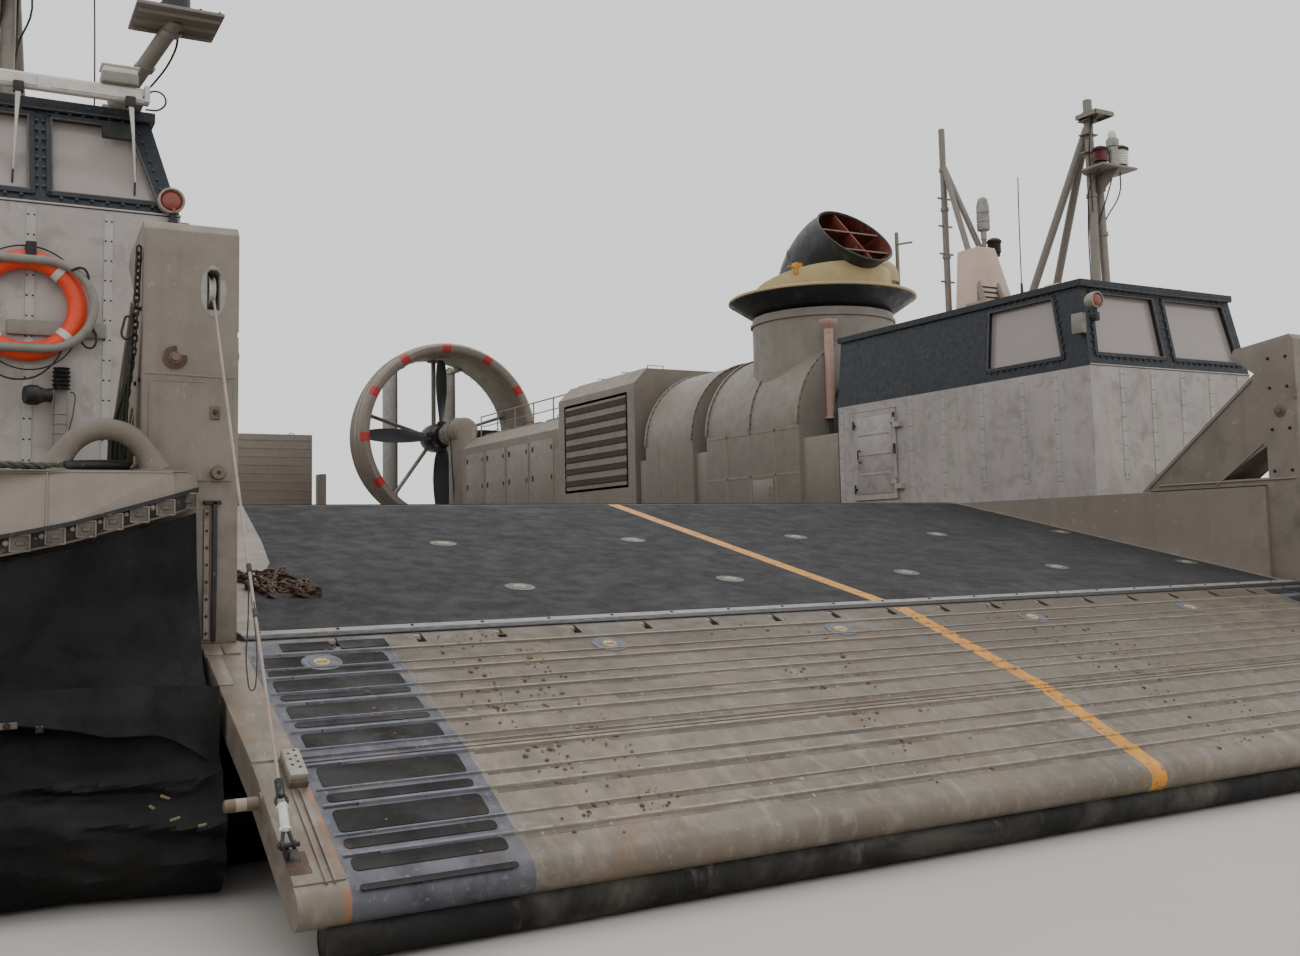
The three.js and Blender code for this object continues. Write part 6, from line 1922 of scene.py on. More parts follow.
def fore_mast(foot):
    """The twin-pole lamp mast: poles, legs, shelves, collars, gussets, lamps and their cables."""
    x, metal, parts = MAST_X, [], []
    metal += [rod((x - 0.06, 2.85, foot), (x - 0.06, 2.85, 6.15), 0.048, 20),
              rod((x + 0.09, 2.85, foot), (x + 0.06, 2.85, 5.33), 0.044, 20)]
    metal += [rod((x + dx, 3.72, foot + 0.045), (x - 0.06, 2.87, 5.85), 0.044, 16) for dx in (-0.19, 0.19)]
    metal += [block((x + dx - 0.09, 3.62, foot), (x + dx + 0.09, 3.82, foot + 0.05), 0.008)
              for dx in (-0.19, 0.19)]
    metal.append(block((x - 0.16, 2.76, foot), (x + 0.19, 2.96, foot + 0.024), 0.006))
    metal.append(upright([(x - 0.26, 2.50), (x + 0.26, 2.50), (x + 0.26, 2.80), (x + 0.08, 2.90),
                          (x - 0.12, 2.90), (x - 0.26, 2.80)], 5.320, 5.345, 0.004))
    metal.append(mast_shelf(x - 0.20, x + 0.08, 2.62, 2.90, 5.95))
    for dx, y, z, radius in ((-0.06, 2.85, 6.15, 0.048), (0.075, 2.85, 5.33, 0.044)):
        for high in (foot + 0.03, (foot + z) / 2, z - 0.18):
            metal.append(collar(radius, (x + dx, y, high)))
        metal.append(disc(radius + 0.06, 0.012, (x + dx, y, foot)))
    metal.append(across([(2.52, 5.315), (2.86, 5.315), (2.86, 5.02)], x - 0.012, x + 0.004, 0.002))
    metal.append(across([(2.70, 5.945), (2.86, 5.945), (2.86, 5.80)], x - 0.066, x - 0.054, 0.002))
    for z in (5.55, 5.75, 5.90):
        metal.append(block((x - 0.16, 2.79, z), (x + 0.02, 2.91, z + 0.014), 0.003, 1))
    parts.append(coated(metal, mast_paint))
    parts.append(lamp_with_lens((x - 0.17, 2.62, 5.345), 0.080, red_lens, 0.04))
    parts.append(lamp_with_lens((x + 0.14, 2.65, 5.345), 0.108, clear_lens, 0.05))
    silver = lathed([(0, 0), (0.062, 0), (0.052, 0.03), (0.052, 0.20), (0.066, 0.21), (0.066, 0.28),
                     (0.05, 0.30), (0, 0.30)], (x - 0.03, 2.57, 5.345))
    crystal = lathed([(0, 0), (0.04, 0), (0.045, 0.04), (0.03, 0.08), (0, 0.085)], (x - 0.03, 2.57, 5.64),
                     steps=12)
    parts += [coated(silver, post_bright), coated(crystal, clear_lens)]
    cables = [
        [(x - 0.15, 2.62, 5.35), (x - 0.20, 2.75, 5.15), (x - 0.12, 2.86, 4.9),
         (x - 0.11, 2.88, foot + 0.05)],
        [(x + 0.15, 2.64, 5.35), (x + 0.24, 2.74, 5.12), (x + 0.13, 2.87, 4.8),
         (x + 0.12, 2.9, foot + 0.05)],
        [(x, 2.58, 5.34), (x + 0.02, 2.7, 5.1), (x + 0.01, 2.87, 4.7), (x, 2.9, foot + 0.05)],
        [(x - 0.06, 2.80, 5.95), (x - 0.13, 2.78, 5.7), (x - 0.12, 2.81, 5.4), (x - 0.115, 2.8, 4.9)],
    ]
    parts.append(coated([[line(path, 0.007) for path in cables]], black_trim))
    return joined(parts)


def aft_mast(foot):
    """The aerial mast: pole and legs, rungs, the ribbed dome aerial and a black lamp."""
    x, metal = MAST_X, [rod((MAST_X, 5.20, foot), (MAST_X, 5.20, 6.55), 0.040, 20)]
    metal += [rod((x + dx, 4.35, foot + 0.04), (x, 5.18, 6.05), 0.036, 16) for dx in (-0.19, 0.19)]
    metal += [block((x + dx - 0.08, 4.26, foot), (x + dx + 0.08, 4.44, foot + 0.05), 0.008)
              for dx in (-0.19, 0.19)]
    metal.append(block((x - 0.10, 5.11, foot), (x + 0.10, 5.29, foot + 0.024), 0.006))
    for high in (foot + 0.03, 4.9, 5.5, 6.0):
        metal.append(collar(0.04, (x, 5.20, high)))
    metal.append(disc(0.10, 0.012, (x, 5.20, foot)))
    metal.append(lathed([(0.012, 0), (0.012, 0.12), (0.03, 0.13), (0.03, 0.16), (0, 0.17)], (x, 5.20, 6.38)))
    for z in (4.6, 4.95, 5.3, 5.65):
        metal.append(block((x - 0.11, 5.19, z), (x + 0.11, 5.21, z + 0.022), 0.003, 1))
    metal = [coated(metal, mast_paint)]
    dome = lathed([(0, 0), (0.035, 0), (0.035, 0.10), (0.075, 0.12), (0.078, 0.20), (0.070, 0.21),
                   (0.078, 0.22), (0.078, 0.31), (0.070, 0.32), (0.078, 0.33), (0.076, 0.42), (0.055, 0.50),
                   (0.02, 0.53), (0, 0.535)], (5.38, 4.66, foot + 1.05), steps=28)
    stem = rod((5.38, 4.66, foot), (5.38, 4.66, foot + 1.06), 0.028)
    black = lamp_with_lens((5.60, 4.72, foot + 0.88), 0.085, black_trim, 0.05)
    stem_b = rod((5.60, 4.72, foot), (5.60, 4.72, foot + 0.90), 0.03)
    housing = along([(5.04, foot), (5.78, foot), (5.40, foot + 0.92), (5.12, foot + 0.92)], 4.50, 4.86, 0.02)
    vents = [block((5.14, 4.494, foot + z), (5.40, 4.502, foot + z + 0.02), 0.002, 1)
             for z in (0.3, 0.36, 0.42)]
    return joined(metal, coated(dome, post_bright), coated([stem, stem_b], mast_paint), black,
                  coated(housing, housing_pink), coated(vents, dark_metal))


def roof_gear(z):
    """Roof fittings: the tan blower, hatch, junction boxes, grab rails and a whip aerial."""
    blower = lathed([(0, 0), (0.16, 0), (0.20, 0.02), (0.20, 0.07), (0.15, 0.11), (0.05, 0.13), (0, 0.13)],
                    (4.75, 2.95, z), steps=32)
    hatch = block((5.7, 3.0, z), (6.3, 3.6, z + 0.045), 0.02)
    parts = [coated(blower, tan_paint), coated(hatch, cabin_paint)]
    for x, y, w in ((4.65, 4.0, 0.22), (5.7, 4.7, 0.3)):
        parts.append(coated(block((x, y, z), (x + w, y + 0.26, z + 0.14), 0.012), module_paint))
    rails = []
    for y in (2.55, 3.9, 5.1):
        rails.append(line([(6.15, y, z - 0.01), (6.15, y, z + 0.10), (6.15, y + 0.5, z + 0.10),
                           (6.15, y + 0.5, z - 0.01)], 0.012, False))
    parts.append(coated(rails, mast_paint))
    return joined(parts, whip_aerial((4.62, 3.35, z), 1.2))


def whip_aerial(at, tall):
    base = lathed([(0, 0), (0.03, 0), (0.03, 0.06), (0.016, 0.08), (0.013, 0.20), (0, 0.20)], at)
    whip = line([Vector(at) + Vector((0.02 * (i / 4) ** 2, 0, 0.18 + tall * i / 4)) for i in range(5)],
                0.006, sides=1)
    return coated([base, whip], black_trim)


ROOF = {"port": 3.98, "starboard": 4.43}


def settle_on_roof(maker, name, node=None):
    """Makes a piece for each cabin's own roof height."""
    for side, flip in SIDES:
        piece = maker(ROOF[side])
        if flip < 0:
            other, piece = piece, mirrored(piece)
            bpy.data.objects.remove(other)
        settle(piece, f"{side}_{name}", nodes=[f"{side}_{node}"] if node else ())


settle_on_roof(fore_mast, "lamp_mast", "fore_mast")
settle_on_roof(aft_mast, "aerial_mast", "aft_mast")
settle_on_roof(roof_gear, "roof_gear")


# Bow thrusters and side modules, modelled to port

FAN_MIDDLE, FAN_HEIGHT, FAN_RADIUS = 5.4, 3.0, 1.2
THRUSTER = Vector((FAN_MIDDLE, 7.95, 4.65))
ELBOW_TURN = math.radians(76)


def elbow_ring(turn, run):
    """A point of the elbow's wall at a turn round it and a run along it, from the thruster's base."""
    bend, start, arc = 0.62, 0.32, ELBOW_TURN
    first, second = 0.20, 0.20 + bend * arc
    if run < first:
        y, z, lean, radius = 0.0, 0.12 + run, 0.0, 0.66
    else:
        lean = min(arc, (run - first) / bend)
        y, z = -bend + bend * math.cos(lean), start + bend * math.sin(lean)
        radius = 0.66 - 0.128 * lean / arc
        if run > second:
            y, z = y - (run - second) * math.sin(lean), z + (run - second) * math.cos(lean)
    a, b = radius * math.cos(turn), radius * math.sin(turn)
    return Vector((a, y + b * math.cos(lean), z + b * math.sin(lean)))


def mouth_run(turn):
    """How far along the elbow its slanting mouth cuts the wall at a turn."""
    low, high = 0.3, 1.9
    for _ in range(24):
        middle = (low + high) / 2
        point = elbow_ring(turn, middle)
        if point.z - point.y < 1.800:
            low = middle
        else:
            high = middle
    return low


def thruster():
    """The swivelling outlet: tan disc and fairing on a dark conical drum, and a slate elbow with vanes."""
    drum = lathed([(0, 0.0), (0.98, 0.0), (1.02, 0.02), (1.06, 0.03), (1.30, 0.190), (1.31, 0.205),
                   (0, 0.205)], steps=64)
    tray = lathed([(0, 0.203), (1.31, 0.203), (1.335, 0.210), (1.335, 0.236), (1.322, 0.246), (1.24, 0.250),
                   (1.235, 0.258), (1.03, 0.262), (1.02, 0.256), (0, 0.256)], steps=72)
    bolts = fastened([(1.13 * math.cos(a), 1.13 * math.sin(a), 0.255) for a in angles(10, 36)], (0, 0, 1),
                     dark_metal, radius=0.014, height=0.012)
    fairing = lathed([(0.0, 0.22), (1.0, 0.22), (1.0, 0.66), (0.97, 0.68), (0, 0.68)], steps=48)
    cut(fairing, across([(-1.1, 0.63), (0.9, 0.23), (1.1, 1.4), (-1.1, 1.4)], -1.1, 1.1))
    eased(fairing, 0.02, 2, 40)
    turns = 72

    def wall(u, v):
        turn = 2 * math.pi * u
        return elbow_ring(turn, 0.16 + (mouth_run(turn) - 0.16) * v)

    elbow = coated(closed_grid(turns, 40, wall), thruster_dark)
    elbow.data.materials.append(duct_rust)
    modified(elbow, "SOLIDIFY", thickness=0.022, offset=-1, material_offset=1)
    rim = line([elbow_ring(2 * math.pi * i / turns, mouth_run(2 * math.pi * i / turns))
                for i in range(turns)], 0.014, smooth=False, sides=2, ring=True)
    hoops = [line([elbow_ring(2 * math.pi * i / turns, run) for i in range(turns)], 0.012, False, 1,
                  ring=True) for run in (0.30, 0.62)]
    top, low = (elbow_ring(turn, mouth_run(turn)) for turn in (math.pi / 2, -math.pi / 2))
    flow = Vector((0, -math.sin(ELBOW_TURN), math.cos(ELBOW_TURN)))
    edge = (low - top).normalized()
    corners = [top + edge * 0.05 - flow * 0.03, low - edge * 0.05 - flow * 0.03,
               low - edge * 0.10 - flow * 0.36, top + edge * 0.16 - flow * 0.36]
    vane = across([(p.y, p.z) for p in corners], -0.014, 0.014, 0.004)
    slats = []
    for share, width in ((0.42, 0.47), (0.80, 0.38)):
        at = top + (low - top) * share
        slat = coated(block((-width, 0.03, -0.006), (width, 0.26, 0.006), 0.002, 1), duct_rust)
        lip = coated(block((-width, 0.015, -0.010), (width, 0.030, 0.010), 0.004, 1), vane_grey)
        slats.append(fixed(joined(slat, lip), stood(at, -14, "X")))
    lever = joined(block((-0.86, -0.58, 0.44), (-0.74, -0.48, 0.60), 0.01),
                   rod((-0.98, -0.56, 0.53), (-0.80, -0.53, 0.54), 0.014, 10))
    rod_pole = joined(rod((0.90, -0.62, 0.24), (0.90, -0.62, 1.18), 0.028, 12),
                      rod((0.88, -0.64, 1.00), (1.10, -0.72, 1.04), 0.016, 10),
                      disc(0.07, 0.02, (0.90, -0.62, 0.255)))
    dome = lathed([(0, 0), (0.24, 0), (0.24, 0.12), (0.21, 0.22), (0.12, 0.31), (0, 0.34)],
                  (0.70, -0.50, 0.45), steps=32)
    whole = joined(coated(drum, thruster_dark), coated(tray, tan_paint), bolts, coated(fairing, tan_paint),
                   elbow, coated([rim, hoops], thruster_dark), coated(vane, duct_rust), joined(slats),
                   coated(lever, stripe_paint), coated(rod_pole, mast_paint), coated(dome, tan_paint))
    return moved(whole, *THRUSTER)


def arc_points(radius, low, high, count):
    return [(FAN_MIDDLE + radius * math.cos(a), FAN_HEIGHT + radius * math.sin(a))
            for a in (math.radians(low + (high - low) * i / count) for i in range(count + 1))]


def scroll_skin(front, back):
    """One scroll's rounded housing, smooth over the top and straight down its sides."""
    profile = [(4.2, SEAT), (6.6, SEAT)] + arc_points(FAN_RADIUS, 0, 180, 48)
    return along(profile, front, back, 0.012)


def flange(y):
    """A bolted flange over a scroll's edge."""
    ring = along(arc_points(1.225, 0, 180, 40) + arc_points(1.19, 180, 0, 40), y - 0.02, y + 0.02, 0.003)
    bolts = fastened([(x, y - 0.02, z) for x, z in arc_points(1.207, 4, 176, 30)], (0, -1, 0), dark_metal,
                     radius=0.008, height=0.006)
    return joined(coated(ring, module_paint), bolts)


def fan_module():
    """The lift fan housing: two rounded scrolls with bolted flanges, hooped ducts between, and the neck."""
    skins = [scroll_skin(6.95, 9.25), scroll_skin(9.65, 11.10)]
    base = block((4.26, 6.2, SEAT), (6.54, 11.4, 2.80), 0.015)
    neck = lathed([(0, 3.3), (1.0, 3.3), (1.0, 4.50), (1.03, 4.505), (1.03, 4.54), (1.0, 4.545),
                   (1.0, 4.62), (0, 4.62)], (THRUSTER.x, THRUSTER.y, 0), steps=64)
    ducts = []
    for front, back, radius in ((6.5, 7.0, 0.70), (9.2, 9.7, 0.85), (11.05, 11.4, 0.85)):
        count = max(3, round((back - front) / 0.1))
        hoops = []
        for i in range(count):
            y = (back - front) * i / count
            hoops += [(radius, y), (radius + 0.02, y + 0.03), (radius, y + 0.06)]
        ducts.append(lathed([(0, 0)] + hoops + [(radius, back - front), (0, back - front)],
                            (FAN_MIDDLE, front, FAN_HEIGHT), (0, 1, 0), 40))
    shell = coated([skins, base, neck], module_paint)
    flanges = [flange(y) for y in (6.97, 8.1, 9.23, 9.67, 11.08)]
    seams = [block((4.196, y - 0.02, 1.86), (4.206, y + 0.02, 3.0), 0.002, 1)
             for y in (7.5, 8.1, 8.7, 10.2, 10.7)]
    seams += [block((4.196, 6.97, z - 0.015), (4.206, 9.23, z + 0.015), 0.002, 1) for z in (2.35, 2.95)]
    door = block((4.188, 7.55, 1.95), (4.206, 8.05, 2.30), 0.006)
    grip = line([(4.188, 7.62, 2.08), (4.160, 7.62, 2.09), (4.160, 7.62, 2.18), (4.188, 7.62, 2.19)], 0.006,
                False)
    fittings = coated([seams, door, grip], module_paint)
    return joined(shell, coated(ducts, grey_rubber), flanges, fittings)


def intake_house():
    """Slats, bars and frames in the intake house's side openings, and its roof's plates and grab rails."""
    parts = []
    for x, lean in ((4.222, 1), (6.578, -1)):
        for i in range(7):
            z = 2.50 + 0.21 * i
            slat = across([(11.76, 0), (14.04, 0), (14.04, 0.004), (11.76, 0.004)], -0.045, 0.045)
            fixed(slat, stood((0, 0, 0), 38 * lean, "Y"))
            parts.append(coated(copied(slat, [(x, 0, z + 0.02), (x, 0, z + 0.052), (x, 0, z + 0.084)]),
                                module_paint))
            bars = block((x - 0.003, -0.006, z), (x + 0.003, 0.006, z + 0.11))
            parts.append(coated(copied(bars, [(0, 12.14 + 0.38 * k, 0) for k in range(5)]), module_paint))
    for x in (4.196, 6.604):
        flip = -1 if x < 5 else 1
        frame_bars = [block((min(x, x - flip * 0.008), y0, z0), (max(x, x + flip * 0.006), y1, z1), 0.002, 1)
                      for y0, y1, z0, z1 in ((11.70, 11.74, 2.42, 3.95), (14.06, 14.10, 2.42, 3.95),
                                             (11.70, 14.10, 2.40, 2.44), (11.70, 14.10, 3.92, 3.96))]
        parts.append(coated(frame_bars, module_paint))
        parts.append(fastened([(x, y, 2.5 + 0.2 * i) for y in (11.72, 14.08) for i in range(8)], (flip, 0, 0),
                              dark_metal))
    roof = [block((4.5, 11.6 + 0.9 * i, 4.325), (6.3, 12.35 + 0.9 * i, 4.36), 0.012) for i in range(3)]
    for i in range(3):
        roof.append(line([(4.6, 11.7 + 0.9 * i, 4.35), (4.6, 11.7 + 0.9 * i, 4.42),
                          (4.9, 11.7 + 0.9 * i, 4.42), (4.9, 11.7 + 0.9 * i, 4.35)], 0.010, False))
    parts.append(coated(roof, module_paint))
    return joined(parts)


def engine_bay():
    """Access doors, latches, grab rails, a pipe and hatch fittings of the engine bay."""
    plates, darks = [], []
    for y in (14.6, 15.75, 16.9, 18.05):
        plates.append(block((4.188, y, 1.95), (4.204, y + 1.0, 3.45), 0.006))
        plates.append(block((6.594, y, 1.95), (6.612, y + 1.0, 3.05), 0.006))
        for z in (2.15, 2.7, 3.25):
            darks.append(block((4.176, y + 0.05, z), (4.192, y + 0.09, z + 0.08), 0.003, 1))
            darks.append(block((4.176, y + 0.90, z), (4.192, y + 0.95, z + 0.10), 0.003, 1))
    for y in (15.1, 16.7, 18.3):
        darks.append(line([(4.62, y - 0.2, 3.89), (4.62, y - 0.2, 3.95), (4.62, y + 0.2, 3.95),
                           (4.62, y + 0.2, 3.89)], 0.010, False))
        for dy in (-0.45, 0.45):
            darks.append(block((5.60, y + dy - 0.06, 3.885), (5.66, y + dy + 0.06, 3.91), 0.004, 1))
        plates.append(block((4.60, y - 0.58, 3.888), (5.60, y + 0.58, 3.905), 0.008))
    rail = [line([(4.60, 14.5, 4.30), (4.60, 19.2, 4.30)], 0.014, False),
            line([(4.60, 14.5, 4.08), (4.60, 19.2, 4.08)], 0.011, False)]
    rail += [rod((4.60, y, 3.848), (4.60, y, 4.31), 0.014, 10) for y in spaced_values(14.5, 19.2, 6)]
    pipe = line([(4.187, 14.4, 2.0), (4.187, 19.25, 2.0)], 0.012, False)
    return joined(coated([plates, pipe], module_paint), coated(rail, mast_paint),
                  coated(darks, dark_metal))


def exhaust_stacks():
    """Sooty stack ends with rolled lips, turning vanes inside and heat-stained collars."""
    axis = Vector((0.18, 0, 0.52)).normalized()
    parts = []
    for y in (15.8, 17.7):
        foot = Vector((6.271, y, 3.521))
        parts.append(coated(lathed([(0.300, 0.50), (0.300, 0.545), (0.318, 0.556), (0.334, 0.550),
                                    (0.336, 0.50)], foot, axis, 40), soot))
        parts.append(coated(lathed([(0.331, 0.10), (0.345, 0.11), (0.345, 0.16), (0.331, 0.17)], foot, axis,
                                   40), soot))
        vane = block((-0.004, -0.29, 0.30), (0.004, 0.29, 0.50), 0.002, 1)
        rows = copied(vane, [(dx, 0, 0) for dx in (-0.12, 0.0, 0.12)])
        cross = block((-0.29, -0.004, 0.32), (0.29, 0.004, 0.50), 0.002, 1)
        parts.append(coated(fixed(joined(rows, cross), aimed(foot, axis)), soot))
    return joined(parts)


def mushroom_vent():
    """The mushroom vent on the lane's edge between cabin and fan."""
    vent = lathed([(0, 0), (0.08, 0), (0.08, 0.02), (0.062, 0.03), (0.062, 1.20), (0.10, 1.25), (0.125, 1.29),
                   (0.125, 1.32), (0.03, 1.34), (0, 1.34)], steps=28)
    return coated(moved(vent, 4.70, 6.90, 3.06), pink_primer)


settle_pair(thruster(), "bow_thruster_outlet", "{}_bow_thruster", ["{}_bow_thruster"])
settle_pair(fan_module(), "lift_fan_housing", nodes=["{}_lift_fan_module"])
settle_pair(intake_house(), "intake_slats")
settle_pair(engine_bay(), "engine_bay_doors")
settle_pair(exhaust_stacks(), "exhaust_lips")
settle_pair(mushroom_vent(), "mushroom_vents")


# Propellers, shrouds, rudders and the stern ramp, modelled to port

HUB = Vector((4.45, 0, 4.05))


def shroud():
    """The propeller duct with hoops, red stripes on its lip, stator struts, hub, rudder arms and pedestal."""
    outer = [(1.870, 0.10), (1.895, 0.055), (1.945, 0.015), (2.02, 0.0), (2.065, 0.04), (2.092, 0.12),
             (2.10, 0.20)]
    hoops = []
    for y in (0.30, 0.62, 0.94, 1.26):
        slope = 2.10 if y < 0.7 else 2.10 - 0.205 * (y - 0.7) / 0.9
        hoops += [(slope - 0.003, y), (slope + 0.012, y + 0.012), (slope + 0.012, y + 0.045),
                  (slope - 0.005, y + 0.057)]
    inner = [(1.900, 1.590), (1.885, 1.602), (1.868, 1.595), (1.82, 0.90), (1.82, 0.42), (1.870, 0.10)]
    duct = lathed(outer + hoops + inner, HUB + Vector((0, 20.6, 0)), (0, 1, 0), 120)
    coated(duct, hull_paint)
    duct.data.materials.append(stripe_red)
    for face in duct.data.polygons:
        near = face.center.y < 20.6 + 0.16
        angle = math.degrees(math.atan2(face.center.z - HUB.z, face.center.x - HUB.x)) % 30
        if near and angle < 6:
            face.material_index = 1
    hub = lathed([(0, 0), (0.28, 0), (0.33, 0.03), (0.33, 0.30), (0.30, 0.42), (0.24, 0.52), (0.20, 0.59),
                  (0, 0.59)], HUB + Vector((0, 21.56, 0)), (0, 1, 0), 40)
    struts = []
    for i in range(5):
        angle = math.pi / 2 + 2 * math.pi * i / 5
        strut = rod((0, 0, 0.2), (0, 0, 1.88), 0.062, 16)
        reshaped(strut, lambda co: (co.x * 0.62, co.y * 1.9, co.z))
        pad = lathed([(0, 0), (0.14, 0), (0.16, 0.03), (0, 0.05)], (0, 0, 1.80), steps=20)
        struts.append(fixed(joined(strut, pad), stood((HUB.x, 21.85, HUB.z), 90 - math.degrees(angle), "Y")))
    arms = []
    for side in (-1, 1):
        for x in (-0.72, 0.72):
            low, high = sorted((side * 1.655, side * 1.775))
            arm = block((HUB.x + x - 0.07, 21.96, HUB.z + low), (HUB.x + x + 0.07, 22.81, HUB.z + high), 0.02)
            arms.append(arm)
            arms.append(lathed([(0, 0), (0.085, 0), (0.085, 0.02), (0.05, 0.03), (0.05, 0.06), (0, 0.06)],
                               (HUB.x + x, 22.72, HUB.z + (high if side > 0 else low)), (0, 0, side), 24))
    foot = block((HUB.x - 1.05, 20.72, SEAT), (HUB.x + 1.05, 22.10, 2.55), 0.0)
    cut(foot, disc(1.96, 2.0, HUB + Vector((0, 20.4, 0)), (0, 1, 0), 96))
    eased(foot, 0.012, 2, 40)
    webs = [block((HUB.x + x - 0.012, 20.70, 1.84), (HUB.x + x + 0.012, 22.12, 2.30), 0.004, 1)
            for x in (-0.9, -0.45, 0.0, 0.45, 0.9)]
    bolts = fastened([(HUB.x + x, y, 1.845) for x in (-1.08, 1.08) for y in spaced_values(20.85, 22.0, 6)],
                     (0, 0, 1), dark_metal, radius=0.02, height=0.016)
    plate = block((HUB.x - 1.12, 20.70, SEAT), (HUB.x + 1.12, 22.12, 1.852), 0.004)
    clad = coated([hub, struts, arms, foot, webs, plate], hull_paint)
    rim = fastened([(HUB.x + 1.85 * math.cos(a), 22.20, HUB.z + 1.85 * math.sin(a))
                    for a in angles(6, 60)], (0, 1, 0), dark_metal, radius=0.009, height=0.005)
    return joined(duct, clad, bolts, rim)


def pylon():
    """The faired column ahead of the propeller, with its gearbox casing, oil lines and shaft housing."""
    plan = []
    for i in range(28):
        a = 2 * math.pi * i / 28
        wide = 0.23 * math.sin(a)
        plan.append((HUB.x + wide, 19.98 - 0.58 * math.cos(a)))
    column = upright(plan, SEAT, 4.11, 0.006)
    box = lathed([(0, 0), (0.22, 0), (0.27, 0.02), (0.30, 0.10), (0.30, 0.42), (0.325, 0.425),
                  (0.325, 0.465), (0.295, 0.47), (0.26, 0.85), (0.285, 0.855), (0.285, 0.89), (0.25, 0.895),
                  (0.22, 1.20), (0, 1.20)], (HUB.x, 19.70, HUB.z), (0, 1, 0), 40)
    shaft = lathed([(0, 0), (0.15, 0), (0.15, 0.175), (0.13, 0.186), (0, 0.186)], (HUB.x, 20.885, HUB.z),
                   (0, 1, 0), 28)
    ribs = [across([(20.0 + 0.18 * k, 4.33), (20.04 + 0.18 * k, 4.33), (20.04 + 0.18 * k, 4.36),
                    (20.0 + 0.18 * k, 4.36)], HUB.x - 0.10, HUB.x + 0.10, 0.004) for k in range(3)]
    lines = [line([(HUB.x + side * 0.16, 19.9, 1.85), (HUB.x + side * 0.25, 19.9, 3.0),
                   (HUB.x + side * 0.28, 19.95, 3.8), (HUB.x + side * 0.25, 20.1, 4.0)], 0.014)
             for side in (-1, 1)]
    bolts = fastened([(HUB.x + 0.312 * math.cos(a), 20.125, HUB.z + 0.312 * math.sin(a))
                      for a in angles(20, 18)], (0, -1, 0), dark_metal, radius=0.009)
    return joined(coated([column, box, shaft, ribs], hull_paint), coated(lines, black_trim), bolts)


def propeller():
    """A four-bladed propeller with cambered twisted blades and a domed spinner."""
    rows = [(0.18, 0.24, 0.100, 62), (0.34, 0.32, 0.078, 56), (0.52, 0.40, 0.060, 50),
            (0.76, 0.43, 0.047, 43), (1.00, 0.43, 0.038, 36), (1.22, 0.40, 0.031, 31),
            (1.45, 0.36, 0.024, 27), (1.65, 0.29, 0.017, 24), (1.76, 0.21, 0.012, 22.5),
            (1.789, 0.10, 0.008, 22)]

    def place(u, v):
        radius, _, chord, thick, pitch = run_along([(row[0], 0, *row[1:]) for row in rows], v)
        round_trip = 2 * math.pi * u
        c = -0.5 * math.cos(round_trip)
        t = 0.5 * math.sin(round_trip) * (1 - 0.35 * (c + 0.5)) + 0.12 * (0.25 - c * c)
        angle = math.radians(pitch)
        x, y = c * chord, t * thick
        return Vector((x * math.cos(angle) - y * math.sin(angle), x * math.sin(angle) + y * math.cos(angle),
                       radius))

    blade = closed_grid(24, 36, place)
    bpy.ops.object.mode_set(mode="EDIT")
    bpy.ops.mesh.select_all(action="DESELECT")
    bpy.ops.mesh.select_non_manifold()
    bpy.ops.mesh.fill_holes(sides=0)
    edited(blade)
    cuff = lathed([(0, 0), (0.105, 0), (0.11, 0.02), (0.10, 0.12), (0, 0.14)], (0, 0, 0.225), steps=24)
    blade = joined(coated(blade, blade_finish), coated(cuff, dark_metal))
    blades = copied(blade, [Matrix.Rotation(math.pi / 2 * i, 4, "Y") for i in range(4)])
    hub = lathed([(0, -0.205), (0.24, -0.205), (0.26, -0.18), (0.26, 0.17), (0.255, 0.20), (0.235, 0.222),
                  (0.18, 0.236), (0, 0.238)], (0, 0, 0), (0, 1, 0), 48)
    bolts = fastened([(0.12 * math.cos(a), 0.237, 0.12 * math.sin(a)) for a in angles(45, 8)],
                     (0, 1, 0), dark_metal, radius=0.014, height=0.004)
    return moved(joined(blades, coated(hub, dark_metal), bolts), HUB.x, 21.30, HUB.z)


def rudder(x):
    """A foil rudder with ribs showing through its skin, and its stock."""
    half = 1.64
    section = []
    for i in range(40):
        a = 2 * math.pi * i / 40
        c = 0.5 - 0.5 * math.cos(a)
        wide = 0.067 * (2.6 * math.sqrt(max(c, 0)) * (1 - c)) * (1 if i < 20 else -1) * 0.98
        section.append((max(-0.066, min(0.066, wide)) + math.copysign(0.006, 19.5 - i) * c, -0.34 + 1.12 * c))
    skin = upright(section, -half, half, 0.004)
    ribs = []
    for z in spaced_values(-half + 0.02, half - 0.02, 9):
        ring = [(px * 1.045, py) for px, py in section]
        ribs.append(upright(ring, z - 0.012, z + 0.012))
    stock = rod((0, 0, -half - 0.010), (0, 0, half + 0.010), 0.045, 20)
    piece = joined(coated([skin, ribs], rudder_paint), coated(stock, dark_metal))
    return moved(piece, x, 22.72, HUB.z)


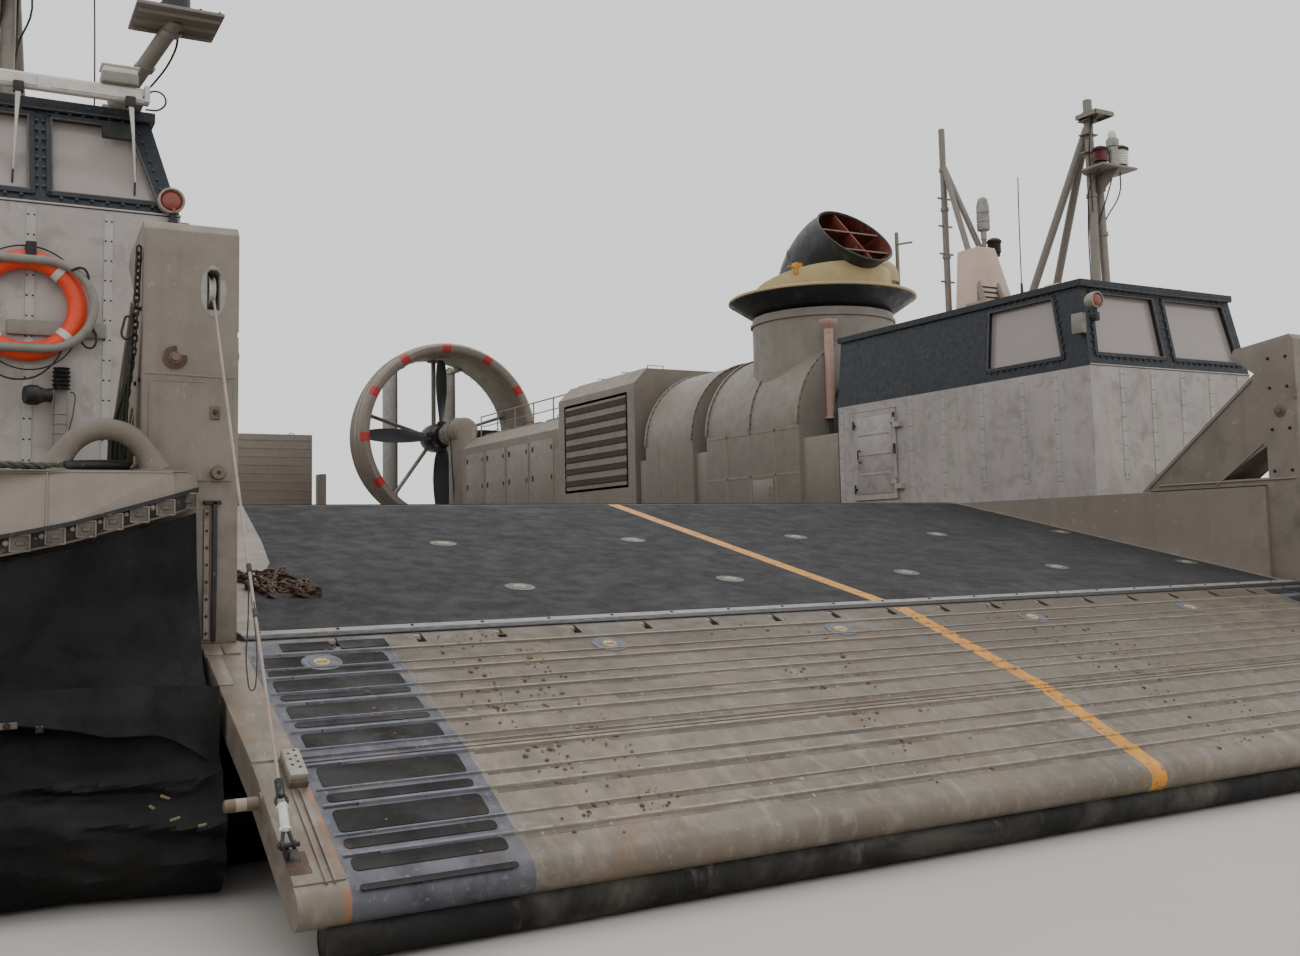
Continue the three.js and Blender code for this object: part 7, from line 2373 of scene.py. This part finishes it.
def stern_ramp():
    """The stowed stern ramp: a planked panel with deep ribs, edge channels, hinge bosses and lifting eyes."""
    y, low, top, wide = 24.445, 1.76, 4.31, 2.25
    panel = block((-wide, y - 0.03, low + 0.02), (wide, y + 0.03, top), 0.006)
    notches = block((-0.056, y - 0.1, low - 0.06), (0.056, y + 0.1, low + 0.062))
    cut(panel, copied(notches, [(x, 0, 0) for x in (-1.8, -0.6, 0.6, 1.8)]))
    knuckles = []
    for a, b in ((-wide, -1.86), (-1.74, -0.66), (-0.54, 0.54), (0.66, 1.74), (1.86, wide)):
        knuckles.append(rod((a, y, low), (b, y, low), 0.03, 20))
    ribs = [block((x - 0.06, y + 0.02, low + 0.08), (x + 0.06, y + 0.068, top - 0.06), 0.008)
            for x in (-2.05, -1.025, 0.0, 1.025, 2.05)]
    ribs += [block((-2.2, y + 0.02, z - 0.03), (2.2, y + 0.05, z + 0.03), 0.006) for z in (2.4, 3.04, 3.68)]
    treads = [block((-2.2, y - 0.036, z), (2.2, y - 0.028, z + 0.03), 0.003, 1)
              for z in spaced_values(1.95, 4.15, 12)]
    eyes = [line([(x, y, top - 0.01), (x, y, top + 0.02), (x + 0.05, y, top + 0.035),
                  (x + 0.10, y, top + 0.02), (x + 0.10, y, top - 0.01)], 0.010) for x in (-1.8, 1.7)]
    return coated([panel, knuckles, ribs, treads, eyes], hull_paint)


settle_pair(shroud(), "propeller_duct", nodes=["{}_propeller_shroud"])
settle_pair(pylon(), "propeller_column", nodes=["{}_propeller_pylon"])
settle_pair(propeller(), "four_blade_propeller", "{}_propeller", ["{}_propeller"])
settle_pair(rudder(3.73), "inner_rudder_blade", "{}_inner_rudder", ["{}_inner_rudder"])
settle_pair(rudder(5.17), "outer_rudder_blade", "{}_outer_rudder", ["{}_outer_rudder"])
settle(stern_ramp(), "stern_ramp_panel", "stern_ramp", ["stern_ramp"])


# Stage

def lay_the_floor():
    """A plain pale floor."""
    bpy.ops.object.select_all(action="DESELECT")
    bpy.ops.mesh.primitive_plane_add(size=900, location=(0, 0, 0))
    floor = bpy.context.object
    floor.name = "floor"
    ground = Finish("floor_ground", rough=0.85)
    ground.give("Base Color", ground.mix(ground.noise(0.8, 6), srgb(176, 171, 163), srgb(190, 186, 179)))
    floor.data.materials.append(ground.material)


lay_the_floor()
